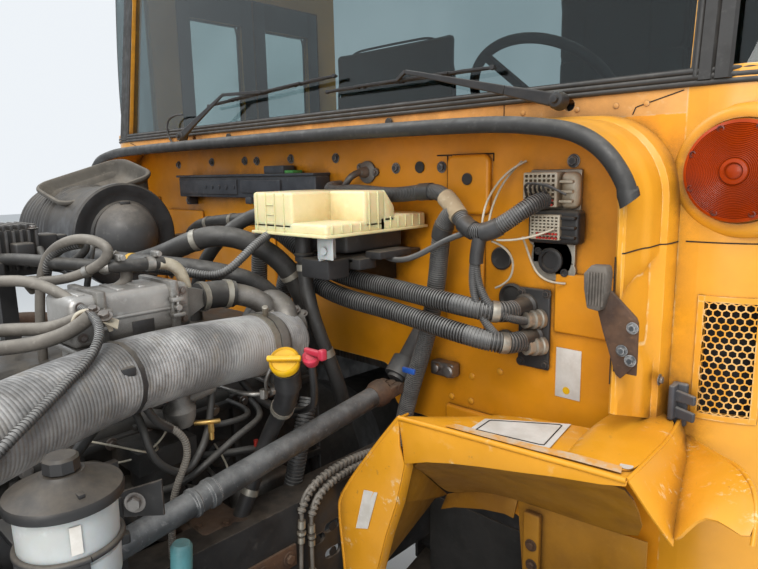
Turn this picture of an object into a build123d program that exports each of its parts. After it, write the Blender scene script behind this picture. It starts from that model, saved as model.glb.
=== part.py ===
from build123d import *
import os
from math import cos, pi, radians, sin, tan

# School bus front section with an open engine bay, in millimetres.
# +X is the bus's left, +Y its rear and +Z up. The origin is the middle of the rear
# crossmember's rear face, half-way up the frame rails, where the section is spliced on.

# Frame rails and wheels
RAIL_OUTER_X = 430.0
RAIL_HEIGHT = 260.0
RAIL_FLANGE = 80.0
RAIL_WALL = 8.0
RAIL_FRONT_Y = -2950.0
FRONT_MEMBER_Y = RAIL_FRONT_Y + 90.0
RADIATOR_Y = (FRONT_MEMBER_Y + 100.0, FRONT_MEMBER_Y + 170.0)
FAN_Y = RADIATOR_Y[1] + 130.0
ENGINE_FRONT_Y = FAN_Y + 140.0
AXLE_Y = -1795.0
WHEEL_RADIUS = 490.0
WHEEL_Z = -320.0
WHEEL_X = 955.0
TYRE_WIDTH = 245.0
BEAD_RADIUS = 286.0
RIM_WIDTH = 190.0
KINGPIN_X = 870.0
KINGPIN_RADIUS = 22.0
SPINDLE_RADIUS = 35.0
SPRING_X = 390.0
SPRING_WIDTH = 76.0

# Body shell
BODY_HALF = 1220.0
WALL = 40.0
SKIN = 12.0
FIREWALL_Y = -1250.0
CORNER_RADIUS = 200.0
SKIRT_Z = -450.0
FLOOR_Z = 290.0
FLOOR_THICK = 25.0
EAVES_Z = 1600.0
ROOF_Z = 2240.0
SILL_Z = 907.0
HEADER_Z = 1690.0
RAKE = 7.0
POST_X = 1010.0
PANE = 6.0

# Hood landing round the engine bay
LANDING_Y = -1400.0
LANDING_HALF = 955.0
LANDING_FLARE = 33.0
LANDING_TOP = 852.0
LANDING_BOTTOM = 330.0
LANDING_CORNER = 140.0
LANDING_CROWN = 18.0
CROWN_RADIUS = 9000.0
FIREWALL_BOTTOM = 190.0

# Entrance door, in the right wall
DOOR_FRONT_Y = -905.0
DOOR_REAR_Y = -115.0
DOOR_BOTTOM = -430.0
DOOR_TOP = 1560.0
DOOR_THICK = 36.0
DOOR_GAP = 12.0
DOOR_EDGE = 6.0
HINGE_RADIUS = 8.0
HINGE_PIN = 5.0
HINGE_X = -BODY_HALF - HINGE_RADIUS - 0.3
WALL_KNUCKLES = [0.25, 0.75]
LEAF_KNUCKLES = [0.1, 0.5, 0.9]
KNUCKLE_HALF = 30.0

# Running clearances
GAP = 0.3
RUN = 0.05


def block(x, y, z):
    """A box between two limits on each axis."""
    size = (x[1] - x[0], y[1] - y[0], z[1] - z[0])
    middle = ((x[0] + x[1]) / 2, (y[0] + y[1]) / 2, (z[0] + z[1]) / 2)
    return Pos(*middle) * Box(*size)


def soft_block(x, y, z, radius):
    """A box with all its edges rounded."""
    solid = block(x, y, z)
    return fillet(solid.edges(), radius)


def rod(start, end, radius):
    """A round bar from one point to another."""
    direction = Vector(*end) - Vector(*start)
    plane = Plane(origin=start, z_dir=direction)
    return extrude(plane * Circle(radius), direction.length)


def tube(start, end, radius, bore):
    """A round tube from one point to another."""
    return rod(start, end, radius) - rod(start, end, bore)


def bend_radii(points):
    """Bend radius at each inner point: 0.45 of the shorter run, by half the turn."""
    radii = []
    for before, corner, after in zip(points, points[1:], points[2:]):
        first = Vector(*corner) - Vector(*before)
        second = Vector(*after) - Vector(*corner)
        half_turn = radians(first.get_angle(second)) / 2
        radii.append(0.45 * min(first.length, second.length) / tan(half_turn))
    return radii


def hose(points, diameter):
    """A round hose along straight runs joined by tangent arcs."""
    path = FilletPolyline(*points, radius=bend_radii(points))
    start = Plane(origin=path @ 0, z_dir=path % 0)
    return sweep(start * Circle(diameter / 2), path=path)


def mirrored(solid):
    """The same piece on the other side of the bus."""
    return mirror(solid, about=Plane.YZ)


def spun(profile, centre, axis):
    """A turned piece: profile points (along the axis, radius) round a centre line."""
    side = Vector(0, 1, 0) if abs(axis[2]) > 0.9 else Vector(*axis).cross(Vector(0, 0, 1))
    plane = Plane(origin=centre, x_dir=axis, z_dir=side)
    face = make_face(Polyline(*profile, close=True))
    return revolve(plane * face, Axis(centre, axis))


def one_piece(*solids):
    """Pieces welded or cast together into one solid."""
    result = solids[0]
    for solid in solids[1:]:
        result = result + solid
    return result


NODES = {}


def node(name, *solids):
    """Keep a sub-part under its node's name."""
    pieces = []
    for solid in solids:
        pieces.extend(solid.solids())
    NODES[name] = Compound(children=pieces) if len(pieces) > 1 else pieces[0]


# Frame rails: channels with their flanges inwards
SPLICE_PITCH_Y, SPLICE_PITCH_Z, SPLICE_HOLE = 120.0, 140.0, 8.5
SPLICE_Y = -130.0
SLOTS = [(-1562.0, 41.0), (-1605.0, 27.0), (-1562.0, -19.0), (-1330.0, 40.0), (-1330.0, -30.0), (-2520.0, -30.0)]


def rail_section(outer, height, flange, wall):
    """Channel outline in XZ, open towards the bus's middle."""
    solid_face = Pos(outer - flange / 2, 0) * Rectangle(flange, height)
    inner = Pos(outer - wall - (flange - wall) / 2, 0) * Rectangle(flange - wall, height - 2 * wall)
    return solid_face - inner


def frame_rail():
    channel = extrude(Plane.XZ * rail_section(RAIL_OUTER_X, RAIL_HEIGHT, RAIL_FLANGE, RAIL_WALL), -RAIL_FRONT_Y)
    for y in (-SPLICE_PITCH_Y / 2, SPLICE_PITCH_Y / 2):
        for z in (-SPLICE_PITCH_Z / 2, SPLICE_PITCH_Z / 2):
            hole = rod((RAIL_OUTER_X - 20, SPLICE_Y + y, z), (RAIL_OUTER_X + 10, SPLICE_Y + y, z), SPLICE_HOLE)
            channel = channel - hole
    for y, z in SLOTS:
        outer_face = Plane(origin=(RAIL_OUTER_X + 5, y, z), x_dir=(0, 1, 0), z_dir=(1, 0, 0))
        channel = channel - extrude(outer_face * SlotOverall(44, 22), -20)
    return channel


left_rail = frame_rail()
node("frame_rails", left_rail, mirrored(left_rail))

# Crossmembers between the rails
WEB_X = RAIL_OUTER_X - RAIL_WALL
MEMBER_HALF_Z = RAIL_HEIGHT / 2 - RAIL_WALL


def crossmember(rear_y, depth, z_low, z_high, wall=8.0):
    """Channel across the bus with its web at the rear."""
    web = block((-WEB_X, WEB_X), (rear_y - wall, rear_y), (z_low, z_high))
    lower = block((-WEB_X, WEB_X), (rear_y - depth, rear_y), (z_low, z_low + wall))
    upper = block((-WEB_X, WEB_X), (rear_y - depth, rear_y), (z_high - wall, z_high))
    return one_piece(web, lower, upper)


rear_member = crossmember(0.0, 70.0, -MEMBER_HALF_Z, MEMBER_HALF_Z)
front_member = crossmember(FRONT_MEMBER_Y, 80.0, -MEMBER_HALF_Z, MEMBER_HALF_Z)


# Outriggers: plates from the rails that close the inner end of each wheelhouse
OUTRIGGER_X = 724.0
OUTRIGGER_Y = FIREWALL_Y + 18.0
OUTRIGGER_Z = (-170.0, 60.0)


def outrigger():
    web = block((RAIL_OUTER_X, OUTRIGGER_X), (OUTRIGGER_Y, OUTRIGGER_Y + 8), OUTRIGGER_Z)
    upper = block((RAIL_OUTER_X, OUTRIGGER_X), (OUTRIGGER_Y, OUTRIGGER_Y + 60), (OUTRIGGER_Z[1] - 8, OUTRIGGER_Z[1]))
    return one_piece(web, upper)


left_outrigger = outrigger()
node("crossmembers", rear_member, front_member, left_outrigger, mirrored(left_outrigger))

# Front bumper: a pressed channel with its ends swept back
BUMPER_HALF = 1180.0
BUMPER_HEIGHT = 300.0
BUMPER_FACE_Y = RAIL_FRONT_Y - 90.0


def bumper():
    plate = make_face(Polyline(
        (-BUMPER_HALF, RAIL_FRONT_Y + 60),
        (-BUMPER_HALF + 140, BUMPER_FACE_Y),
        (BUMPER_HALF - 140, BUMPER_FACE_Y),
        (BUMPER_HALF, RAIL_FRONT_Y + 60),
        (BUMPER_HALF - 10, RAIL_FRONT_Y + 60),
        (BUMPER_HALF - 146, BUMPER_FACE_Y + 8),
        (-BUMPER_HALF + 146, BUMPER_FACE_Y + 8),
        (-BUMPER_HALF + 10, RAIL_FRONT_Y + 60),
        close=True,
    ))
    face_plate = Pos(0, 0, -BUMPER_HEIGHT / 2) * extrude(plate, BUMPER_HEIGHT)
    lips = []
    for z in (-BUMPER_HEIGHT / 2, BUMPER_HEIGHT / 2 - 8):
        lips.append(block((-BUMPER_HALF + 146, BUMPER_HALF - 146), (BUMPER_FACE_Y, BUMPER_FACE_Y + 50), (z, z + 8)))
    brackets = []
    for x in (-RAIL_OUTER_X + 40, RAIL_OUTER_X - 40):
        brackets.append(block((x - 40, x + 40), (BUMPER_FACE_Y + 8, RAIL_FRONT_Y), (-100, 100)))
    return one_piece(face_plate, *lips, *brackets)


node("front_bumper", bumper())

# Leaf springs, their hangers and the shock absorbers
SPRING_FRONT_Y, SPRING_REAR_Y = AXLE_Y - 650, AXLE_Y + 650
SPRING_EYE_Z = -215.0
SPRING_SEAT_Z = -345.0
LEAF_THICK = 12.0
EYE_RADIUS = 28.0


def leaf(index):
    """One curved leaf of the pack, counted from the top."""
    share = 1.0 - 0.2 * index
    reach = (SPRING_REAR_Y - AXLE_Y) * share
    low = SPRING_SEAT_Z - LEAF_THICK * index
    rise = (SPRING_EYE_Z - 20 - SPRING_SEAT_Z) * share ** 2
    top = ThreePointArc((AXLE_Y - reach, low + rise), (AXLE_Y, low), (AXLE_Y + reach, low + rise))
    bottom = ThreePointArc(
        (AXLE_Y + reach, low + rise - LEAF_THICK), (AXLE_Y, low - LEAF_THICK), (AXLE_Y - reach, low + rise - LEAF_THICK)
    )
    outline = make_face([top, Line(top @ 1, bottom @ 0), bottom, Line(bottom @ 1, top @ 0)])
    plane = Plane(origin=(SPRING_X - SPRING_WIDTH / 2, 0, 0), x_dir=(0, 1, 0), z_dir=(1, 0, 0))
    return extrude(plane * outline, SPRING_WIDTH)


def front_spring():
    pack = one_piece(*[leaf(i) for i in range(3)])
    x0, x1 = SPRING_X - SPRING_WIDTH / 2, SPRING_X + SPRING_WIDTH / 2
    for y in (SPRING_FRONT_Y, SPRING_REAR_Y):
        eye = rod((x0, y, SPRING_EYE_Z), (x1, y, SPRING_EYE_Z), EYE_RADIUS)
        pack = one_piece(pack, eye)
    for y in (SPRING_FRONT_Y, SPRING_REAR_Y):
        cheeks = []
        for x in (x0 - 10, x1):
            cheek = block((x, x + 10), (y - 45, y + 45), (SPRING_EYE_Z - 40, -RAIL_HEIGHT / 2))
            cheeks.append(cheek)
        saddle = block((x0 - 10, x1 + 10), (y - 60, y + 60), (-RAIL_HEIGHT / 2 - 14, -RAIL_HEIGHT / 2))
        pack = one_piece(pack, *cheeks, saddle)
    clamp = block((x0 - 12, x1 + 12), (AXLE_Y - 70, AXLE_Y + 70), (SPRING_SEAT_Z, SPRING_SEAT_Z + 20))
    return one_piece(pack, clamp)


SHOCK_X = RAIL_OUTER_X + 62.0


def shock_absorber():
    top = (SHOCK_X, AXLE_Y + 150, 40.0)
    foot = (SHOCK_X, AXLE_Y + 78, -375.0)
    middle = (SHOCK_X, AXLE_Y + 110, -145.0)
    body = rod(foot, middle, 30)
    dust_cover = rod(middle, top, 36)
    bracket = block((RAIL_OUTER_X, SHOCK_X + 36), (top[1] - 30, top[1] + 30), (20, 70))
    return one_piece(body, dust_cover, bracket)


left_spring = front_spring()
left_shock = shock_absorber()
node("front_springs", left_spring, mirrored(left_spring), left_shock, mirrored(left_shock))

# Front axle: an I-beam with dropped centre and an eye at each kingpin
BEAM_Z = SPRING_SEAT_Z - 3 * LEAF_THICK - 50.0 - GAP
EYE_HEIGHT = 110.0


def axle_beam():
    half_spring = SPRING_X + 80
    upper = Polyline(
        (-KINGPIN_X, WHEEL_Z + 35), (-half_spring, BEAM_Z + 50), (half_spring, BEAM_Z + 50), (KINGPIN_X, WHEEL_Z + 35),
        (KINGPIN_X, WHEEL_Z - 35), (half_spring, BEAM_Z - 40), (-half_spring, BEAM_Z - 40), (-KINGPIN_X, WHEEL_Z - 35),
        close=True,
    )
    outline = make_face(upper)
    beam = extrude(Plane(origin=(0, AXLE_Y + 45, 0), x_dir=(1, 0, 0), z_dir=(0, -1, 0)) * outline, 90)
    for side in (-1, 1):
        y_low = AXLE_Y + side * 45 - (30 if side > 0 else 0)
        pocket = block((-half_spring + 30, half_spring - 30), (y_low, y_low + 30), (BEAM_Z - 22, BEAM_Z + 30))
        beam = beam - pocket
    for x in (-KINGPIN_X, KINGPIN_X):
        low, high = WHEEL_Z - EYE_HEIGHT / 2, WHEEL_Z + EYE_HEIGHT / 2
        beam = one_piece(beam, rod((x, AXLE_Y, low), (x, AXLE_Y, high), 45))
        beam = beam - rod((x, AXLE_Y, low - 1), (x, AXLE_Y, high + 1), KINGPIN_RADIUS + RUN)
    return beam


node("front_axle_beam", axle_beam())

# Steering knuckles with their kingpins, spindles and arms
EAR = 28.0
ARM_LENGTH = 150.0
ARM_Z = WHEEL_Z - 125.0
TIE_Y = AXLE_Y + ARM_LENGTH


def knuckle():
    low, high = WHEEL_Z - EYE_HEIGHT / 2, WHEEL_Z + EYE_HEIGHT / 2
    pin = rod((KINGPIN_X, AXLE_Y, low - EAR - 4), (KINGPIN_X, AXLE_Y, high + EAR + 4), KINGPIN_RADIUS)
    ears = []
    for z in (low - GAP - EAR, high + GAP):
        ear = rod((KINGPIN_X, AXLE_Y, z), (KINGPIN_X, AXLE_Y, z + EAR), 48)
        web = block((KINGPIN_X, KINGPIN_X + 82), (AXLE_Y - 40, AXLE_Y + 40), (z, z + EAR))
        ears.extend([ear, web])
    cheek = block((KINGPIN_X + 54, KINGPIN_X + 82), (AXLE_Y - 60, AXLE_Y + 60), (low - EAR, high + EAR))
    spindle = rod((KINGPIN_X + 80, AXLE_Y, WHEEL_Z), (1090, AXLE_Y, WHEEL_Z), SPINDLE_RADIUS)
    arm = hull_arm((KINGPIN_X, AXLE_Y + 20), (KINGPIN_X, TIE_Y), low - GAP - EAR, 24.0, 36.0, 26.0)
    return one_piece(pin, *ears, cheek, spindle, arm)


def hull_arm(root, tip, z_low, thick, wide, narrow):
    """A flat forged arm between two round ends, in plan."""
    along = Vector(tip[0] - root[0], tip[1] - root[1], 0)
    across = Vector(-along.Y, along.X, 0).normalized()
    points = []
    for place, half, sign in ((root, wide, 1), (tip, narrow, 1), (tip, narrow, -1), (root, wide, -1)):
        points.append((place[0] + sign * half * across.X, place[1] + sign * half * across.Y))
    web = make_face(Polyline(*points, close=True))
    plate = Pos(0, 0, z_low) * extrude(web, thick)
    ends = []
    for place, half in ((root, wide), (tip, narrow)):
        ends.append(rod((*place, z_low), (*place, z_low + thick), half))
    return one_piece(plate, *ends)


ARM_LOW = WHEEL_Z - EYE_HEIGHT / 2 - GAP - EAR
BALL_RADIUS = 11.0
LINK_Z = ARM_LOW - 30.0


def tie_stud(x):
    """Ball stud under a knuckle's rear arm."""
    return rod((x, TIE_Y, LINK_Z - 20), (x, TIE_Y, ARM_LOW + 12), BALL_RADIUS)


# The left knuckle also has an arm towards the bus's middle for the drag link
DRAG_ARM = 230.0
DRAG_X = KINGPIN_X - DRAG_ARM
DRAG_Z = WHEEL_Z + EYE_HEIGHT / 2 + GAP + EAR

left_knuckle = one_piece(
    knuckle(),
    tie_stud(KINGPIN_X),
    hull_arm((KINGPIN_X, AXLE_Y), (DRAG_X, AXLE_Y), DRAG_Z - 24.0, 24.0, 36.0, 26.0),
    rod((DRAG_X, AXLE_Y, DRAG_Z - 12), (DRAG_X, AXLE_Y, DRAG_Z + 50), BALL_RADIUS),
)
right_knuckle = mirrored(one_piece(knuckle(), tie_stud(KINGPIN_X)))
node("knuckle_left", left_knuckle)
node("knuckle_right", right_knuckle)


def socket(centre, radius=27.0, height=36.0):
    """Ball-joint housing with a running bore for the stud."""
    x, y, z = centre
    low, high = z - height / 2, z + height / 2
    return tube((x, y, low), (x, y, high), radius, BALL_RADIUS + RUN)


tie_bar = rod((-KINGPIN_X + 20, TIE_Y, LINK_Z), (KINGPIN_X - 20, TIE_Y, LINK_Z), 20)
for x in (-KINGPIN_X, KINGPIN_X):
    tie_bar = tie_bar - rod((x, TIE_Y, LINK_Z - 18), (x, TIE_Y, LINK_Z + 18), 20)
    tie_bar = one_piece(tie_bar, socket((x, TIE_Y, LINK_Z)))
node("tie_rod", tie_bar)

# Steering gear on the left rail, with its pitman arm and drag link
GEAR_FACE_X = RAIL_OUTER_X + 60.0
PITMAN_Y = -2330.0
PITMAN_Z = 20.0
PITMAN_LENGTH = DRAG_ARM
PITMAN_THICK = 22.0
LINK_HEIGHT = DRAG_Z + 25.0
SHAFT_JOINT = (420.0, -1358.0, 292.0)
SHAFT_LOW = (478.0, -2120.0, 222.0)


def along(start, end, distance):
    """The point that lies a distance from start towards end."""
    first, last = Vector(*start), Vector(*end)
    return tuple(first + (last - first).normalized() * distance)


def steering_gear():
    x0, x1 = RAIL_OUTER_X, GEAR_FACE_X
    housing = block((x0, x1), (PITMAN_Y - 80, PITMAN_Y + 80), (PITMAN_Z - 85, SHAFT_LOW[2]))
    housing = fillet(housing.edges().filter_by(Axis.X), 24)
    worm = rod((SHAFT_LOW[0], PITMAN_Y - 140, SHAFT_LOW[2]), (SHAFT_LOW[0], SHAFT_LOW[1] - 70, SHAFT_LOW[2]), 52)
    neck = rod(along(SHAFT_LOW, SHAFT_JOINT, -GAP), along(SHAFT_LOW, SHAFT_JOINT, -80), 34)
    foot = block((x0, x0 + 16), (PITMAN_Y - 120, PITMAN_Y + 120), (-70, 110))
    bore = rod((x0 + 20, PITMAN_Y, PITMAN_Z), (x1 + 10, PITMAN_Y, PITMAN_Z), 20 + RUN)
    return one_piece(housing, worm, neck, foot) - bore


node("steering_gear", steering_gear())


def pitman_arm():
    x0 = GEAR_FACE_X + 2
    x1 = x0 + PITMAN_THICK
    plane = Plane(origin=(x0, 0, 0), x_dir=(0, 1, 0), z_dir=(1, 0, 0))
    tip_z = PITMAN_Z - PITMAN_LENGTH
    web = make_face(Polyline(
        (PITMAN_Y - 34, PITMAN_Z), (PITMAN_Y + 34, PITMAN_Z), (PITMAN_Y + 24, tip_z), (PITMAN_Y - 24, tip_z), close=True
    ))
    plate = extrude(plane * web, PITMAN_THICK)
    upper = rod((x0, PITMAN_Y, PITMAN_Z), (x1, PITMAN_Y, PITMAN_Z), 40)
    lower = rod((x0, PITMAN_Y, tip_z), (x1, PITMAN_Y, tip_z), 26)
    sector_shaft = rod((RAIL_OUTER_X + 22, PITMAN_Y, PITMAN_Z), (x1 + 10, PITMAN_Y, PITMAN_Z), 20)
    return one_piece(plate, upper, lower, sector_shaft)


node("pitman_arm", pitman_arm())

# The drag link hangs on the knuckle's ball stud; its front end faces the pitman arm
PITMAN_FACE_X = GEAR_FACE_X + 2 + PITMAN_THICK


def drag_link():
    front_z = PITMAN_Z - PITMAN_LENGTH
    front = (PITMAN_FACE_X + 1 + 16, PITMAN_Y, front_z)
    bar = rod((DRAG_X, AXLE_Y, LINK_HEIGHT), front, 15) - rod(
        (DRAG_X, AXLE_Y, LINK_HEIGHT - 30), (DRAG_X, AXLE_Y, LINK_HEIGHT + 30), 20
    )
    ball = rod((PITMAN_FACE_X + 1, PITMAN_Y, front_z), (PITMAN_FACE_X + 33, PITMAN_Y, front_z), 25)
    return one_piece(bar, socket((DRAG_X, AXLE_Y, LINK_HEIGHT)), ball)


node("drag_link", drag_link())

# Steering shaft from the gear to the joint below the firewall
SHAFT_RADIUS = 22.0
CROSS_RADIUS = 18.0
YOKE_GAP = 26.0


def steering_shaft():
    end = along(SHAFT_JOINT, SHAFT_LOW, 44)
    tube_part = rod(end, SHAFT_LOW, SHAFT_RADIUS)
    collar_at = along(SHAFT_JOINT, SHAFT_LOW, 500)
    collar = rod(collar_at, along(SHAFT_JOINT, SHAFT_LOW, 512), SHAFT_RADIUS + 3)
    yoke = rod(along(SHAFT_JOINT, SHAFT_LOW, YOKE_GAP), along(SHAFT_JOINT, SHAFT_LOW, 70), 30)
    stem = rod(SHAFT_JOINT, along(SHAFT_JOINT, SHAFT_LOW, YOKE_GAP + 1), 12)
    cross = Pos(*SHAFT_JOINT) * Sphere(CROSS_RADIUS)
    return one_piece(tube_part, collar, yoke, stem, cross)


node("steering_shaft", steering_shaft())

# Front wheels: turned about the spindle's line
BRAKE_X = 905.0


def rim():
    x0, x1 = WHEEL_X - RIM_WIDTH / 2, WHEEL_X + RIM_WIDTH / 2
    r = BEAD_RADIUS
    face_x = WHEEL_X + 88
    profile = [
        (x0, r + 22), (x0 + 10, r + 22), (x0 + 14, r), (x1 - 14, r), (x1 - 10, r + 22), (x1, r + 22),
        (x1, r - 12), (x1 - 30, r - 14), (face_x + 24, 190), (face_x + 12, 178), (face_x + 12, 100), (1098, 88),
        (1112, 62), (1112, 0), (1100, 0), (1100, SPINDLE_RADIUS + RUN), (958, SPINDLE_RADIUS + RUN), (958, 80),
        (face_x - 6, 80), (face_x - 6, 168), (face_x + 2, 192), (x1 - 46, r - 14), (x0, r - 10),
    ]
    return spun([(a - WHEEL_X, b) for a, b in profile], (WHEEL_X, AXLE_Y, WHEEL_Z), (1, 0, 0))


def hand_holes(wheel, count=5):
    for i in range(count):
        angle = 2 * pi * (i + 0.5) / count
        y, z = AXLE_Y + 222 * cos(angle), WHEEL_Z + 222 * sin(angle)
        wheel = wheel - rod((WHEEL_X + 40, y, z), (WHEEL_X + 140, y, z), 27)
    return wheel


def tyre():
    w, r, b = TYRE_WIDTH / 2, WHEEL_RADIUS, BEAD_RADIUS
    tread, groove, bead = 104.0, 13.0, RIM_WIDTH / 2 - 14.5
    outside = [(-bead, b), (-bead, b + 23), (-w + 10, b + 34), (-w, b + 104), (-w + 12, r - 42), (-tread, r - 8)]
    for x in (-60.0, -20.0, 20.0, 60.0):
        outside += [(x - 6, r), (x - 4, r - groove), (x + 4, r - groove), (x + 6, r)]
    outside += [(tread, r - 8), (w - 12, r - 42), (w, b + 104), (w - 10, b + 34), (bead, b + 23), (bead, b)]
    inside = [(bead - 22, b), (w - 24, b + 60), (w - 18, b + 104), (tread - 4, r - 34)]
    inside += [(-x, y) for x, y in reversed(inside)]
    return spun(outside + inside, (WHEEL_X, AXLE_Y, WHEEL_Z), (1, 0, 0))


def brake_drum():
    face_x = WHEEL_X + 88
    profile = [
        (BRAKE_X, 214), (BRAKE_X, 196), (face_x - 20, 196), (face_x - 20, 150), (face_x - 6, 150), (face_x - 6, 214)
    ]
    return spun([(a - WHEEL_X, b) for a, b in profile], (WHEEL_X, AXLE_Y, WHEEL_Z), (1, 0, 0))


left_rim = one_piece(hand_holes(rim()), brake_drum())
left_tyre = tyre()
node("rim_left", left_rim)
node("tyre_left", left_tyre)
node("rim_right", mirrored(left_rim))
node("tyre_right", mirrored(left_tyre))

# Body shell: section across the bus, side outline and plan outline, intersected
BROW_Z = HEADER_Z + 40.0
CREASE = 3.0
RAKE_SHIFT = (HEADER_Z - SILL_Z) * tan(radians(RAKE))


def shell_section(inset):
    """The body's section across the bus, moved inwards by inset."""
    half = BODY_HALF - inset
    top = ROOF_Z - inset
    shoulder = (half - 190, top - 190)
    crown = ThreePointArc(shoulder, (0, top), (-shoulder[0], shoulder[1]))
    left_bend = ThreePointArc((half, EAVES_Z), (half - 48, EAVES_Z + 270), shoulder)
    right_bend = ThreePointArc((-shoulder[0], shoulder[1]), (-half + 48, EAVES_Z + 270), (-half, EAVES_Z))
    return make_face([
        crown, right_bend, Line((-half, EAVES_Z), (-half, SKIRT_Z)), Line((-half, SKIRT_Z), (half, SKIRT_Z)),
        Line((half, SKIRT_Z), (half, EAVES_Z)), left_bend,
    ])


def corner_prism(inset, front):
    """An upright prism with the body's rounded front corners."""
    half = BODY_HALF - inset
    plan_face = Pos(0, (front + 400) / 2) * Rectangle(2 * half, 400 - front)
    prism = extrude(plan_face, ROOF_Z + 700)
    corners = prism.edges().filter_by(Axis.Z).sort_by(Axis.Y)[:2]
    return Pos(0, 0, SKIRT_Z - 10) * fillet(corners, CORNER_RADIUS - inset)


def shell_solid(inset):
    """The closed outer form above the sill: raked windshield and rounded roof front."""
    tunnel = extrude(Plane.XZ * shell_section(inset), -FIREWALL_Y)
    front = FIREWALL_Y + inset
    header_y = front + RAKE_SHIFT
    over = ROOF_Z - inset + 60
    brow = ThreePointArc((header_y, BROW_Z), (header_y + 130, ROOF_Z - 190), (header_y + 520, over))
    side = make_face([
        Line((front, SKIRT_Z), (front, SILL_Z)), Line((front, SILL_Z), (header_y, BROW_Z)), brow,
        Line((header_y + 520, over), (0, over)), Line((0, over), (0, SKIRT_Z)), Line((0, SKIRT_Z), (front, SKIRT_Z)),
    ])
    side_plane = Plane(origin=(-BODY_HALF - 10, 0, 0), x_dir=(0, 1, 0), z_dir=(1, 0, 0))
    profile = extrude(side_plane * side, 2 * BODY_HALF + 20)
    return tunnel & profile & corner_prism(inset, front - CREASE)


def wall_solid(inset):
    """The closed outer form below the sill, with its upright front."""
    tunnel = extrude(Plane.XZ * shell_section(inset), -FIREWALL_Y)
    return tunnel & corner_prism(inset, FIREWALL_Y + inset)


outer_form = shell_solid(0)
inner_form = shell_solid(WALL)
shell = outer_form - inner_form
low_outer = wall_solid(0)
low_shell = low_outer - wall_solid(WALL)
low_skin = low_outer - wall_solid(SKIN)

# Openings in the shell
PANE_TOP = HEADER_Z - 20
PANE_Z = (SILL_Z + 22, PANE_TOP)
windshield_hole = block((-POST_X + 22, POST_X - 22), (FIREWALL_Y - 50, FIREWALL_Y + 260), PANE_Z)
corner_hole = block((POST_X + 30, BODY_HALF + 50), (FIREWALL_Y - 50, -1025), PANE_Z)
driver_hole = block((BODY_HALF - 80, BODY_HALF + 20), (-940, -240), (1000, PANE_TOP - 30))
door_hole = block((-BODY_HALF - 20, -BODY_HALF + 80), (DOOR_FRONT_Y, DOOR_REAR_Y), (SKIRT_Z - 20, DOOR_TOP))
big = 4000.0
FRONT_ZONE_Y = -1025.0
front_zone = block((-big, big), (-big, FRONT_ZONE_Y), (SILL_Z, BROW_Z))
upper_zone = block((-big, big), (-big, big), (BROW_Z, big))
lower_front_zone = block((-big, big), (-big, FIREWALL_Y + CORNER_RADIUS), (-big, SILL_Z))
side_zone = block((-big, big), (FIREWALL_Y + CORNER_RADIUS, big), (-big, SILL_Z))
middle_zone = block((-big, big), (FRONT_ZONE_Y, big), (SILL_Z, BROW_Z))

def door_height(share):
    """Height at a share of the entrance door's opening."""
    return DOOR_BOTTOM + share * (DOOR_TOP - DOOR_BOTTOM)


def wall_knuckles(y_hinge, side):
    """Hinge barrels on the wall beside the door, with their straps towards side."""
    pieces = []
    for share in WALL_KNUCKLES:
        z = door_height(share)
        low, high = z - KNUCKLE_HALF, z + KNUCKLE_HALF
        barrel = tube((HINGE_X, y_hinge, low), (HINGE_X, y_hinge, high), HINGE_RADIUS, HINGE_PIN + RUN)
        near, far = y_hinge + side * (HINGE_PIN + 0.5), y_hinge + side * 50
        strap = block((HINGE_X - 5, -BODY_HALF), (min(near, far), max(near, far)), (low, high))
        pieces.append(one_piece(barrel, strap))
    return pieces


roof = shell & upper_zone
node("roof", roof)

windshield_frame = (shell & front_zone) - windshield_hole - corner_hole - mirrored(corner_hole)
node("windshield_frame", windshield_frame)

walls = one_piece(low_shell & side_zone, low_shell & middle_zone)
wall_parts = walls & block((500, big), (-big, big), (-big, big))
left_wall = wall_parts - driver_hole
right_wall = (walls & block((-big, -500), (-big, big), (-big, big))) - door_hole
front_knuckles = wall_knuckles(DOOR_FRONT_Y + DOOR_EDGE, -1)
rear_knuckles = wall_knuckles(DOOR_REAR_Y - DOOR_EDGE, 1)
right_wall = one_piece(right_wall, *front_knuckles, *rear_knuckles)
node("side_walls", left_wall, right_wall)

# Corner panels: the thin outer skin beside the hood landing, round to the side
PANEL_IN_X = LANDING_HALF + LANDING_FLARE
corner_skin = low_skin & block((PANEL_IN_X, big), (-big, FIREWALL_Y + CORNER_RADIUS), (-big, SILL_Z))
GRILLE_X = (BODY_HALF - 192.0, BODY_HALF - 100.0)
GRILLE_Z = (348.0, 559.0)
GRILLE_EDGE = 8.0
grille_hole = block(
    (GRILLE_X[0] + GRILLE_EDGE, GRILLE_X[1] - GRILLE_EDGE),
    (FIREWALL_Y - 20, FIREWALL_Y + 60),
    (GRILLE_Z[0] + GRILLE_EDGE, GRILLE_Z[1] - GRILLE_EDGE),
)
corner_panel = corner_skin - grille_hole
node("corner_panels", corner_panel, mirrored(corner_panel))

# Corner grilles: a frame with a mesh of round holes
def corner_grille():
    y0, y1 = FIREWALL_Y - 4, FIREWALL_Y - GAP
    plate = block(GRILLE_X, (y0, y1), GRILLE_Z)
    inner_x = (GRILLE_X[0] + 10, GRILLE_X[1] - 10)
    columns, rows = 4, 11
    pitch_x = (inner_x[1] - inner_x[0]) / columns
    pitch_z = (GRILLE_Z[1] - GRILLE_Z[0] - 20) / rows
    holes = []
    for column in range(columns):
        for row in range(rows):
            x = inner_x[0] + pitch_x * (column + 0.5)
            z = GRILLE_Z[0] + 10 + pitch_z * (row + (0.75 if column % 2 else 0.35))
            holes.append(Pos(x, 0, z) * Rot(90, 0, 0) * extrude(RegularPolygon(7, 6), 20, both=True))
    cutter = Pos(0, FIREWALL_Y, 0) * Compound(children=holes)
    return plate - cutter


left_grille = corner_grille()
node("corner_grilles", left_grille, mirrored(left_grille))

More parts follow.
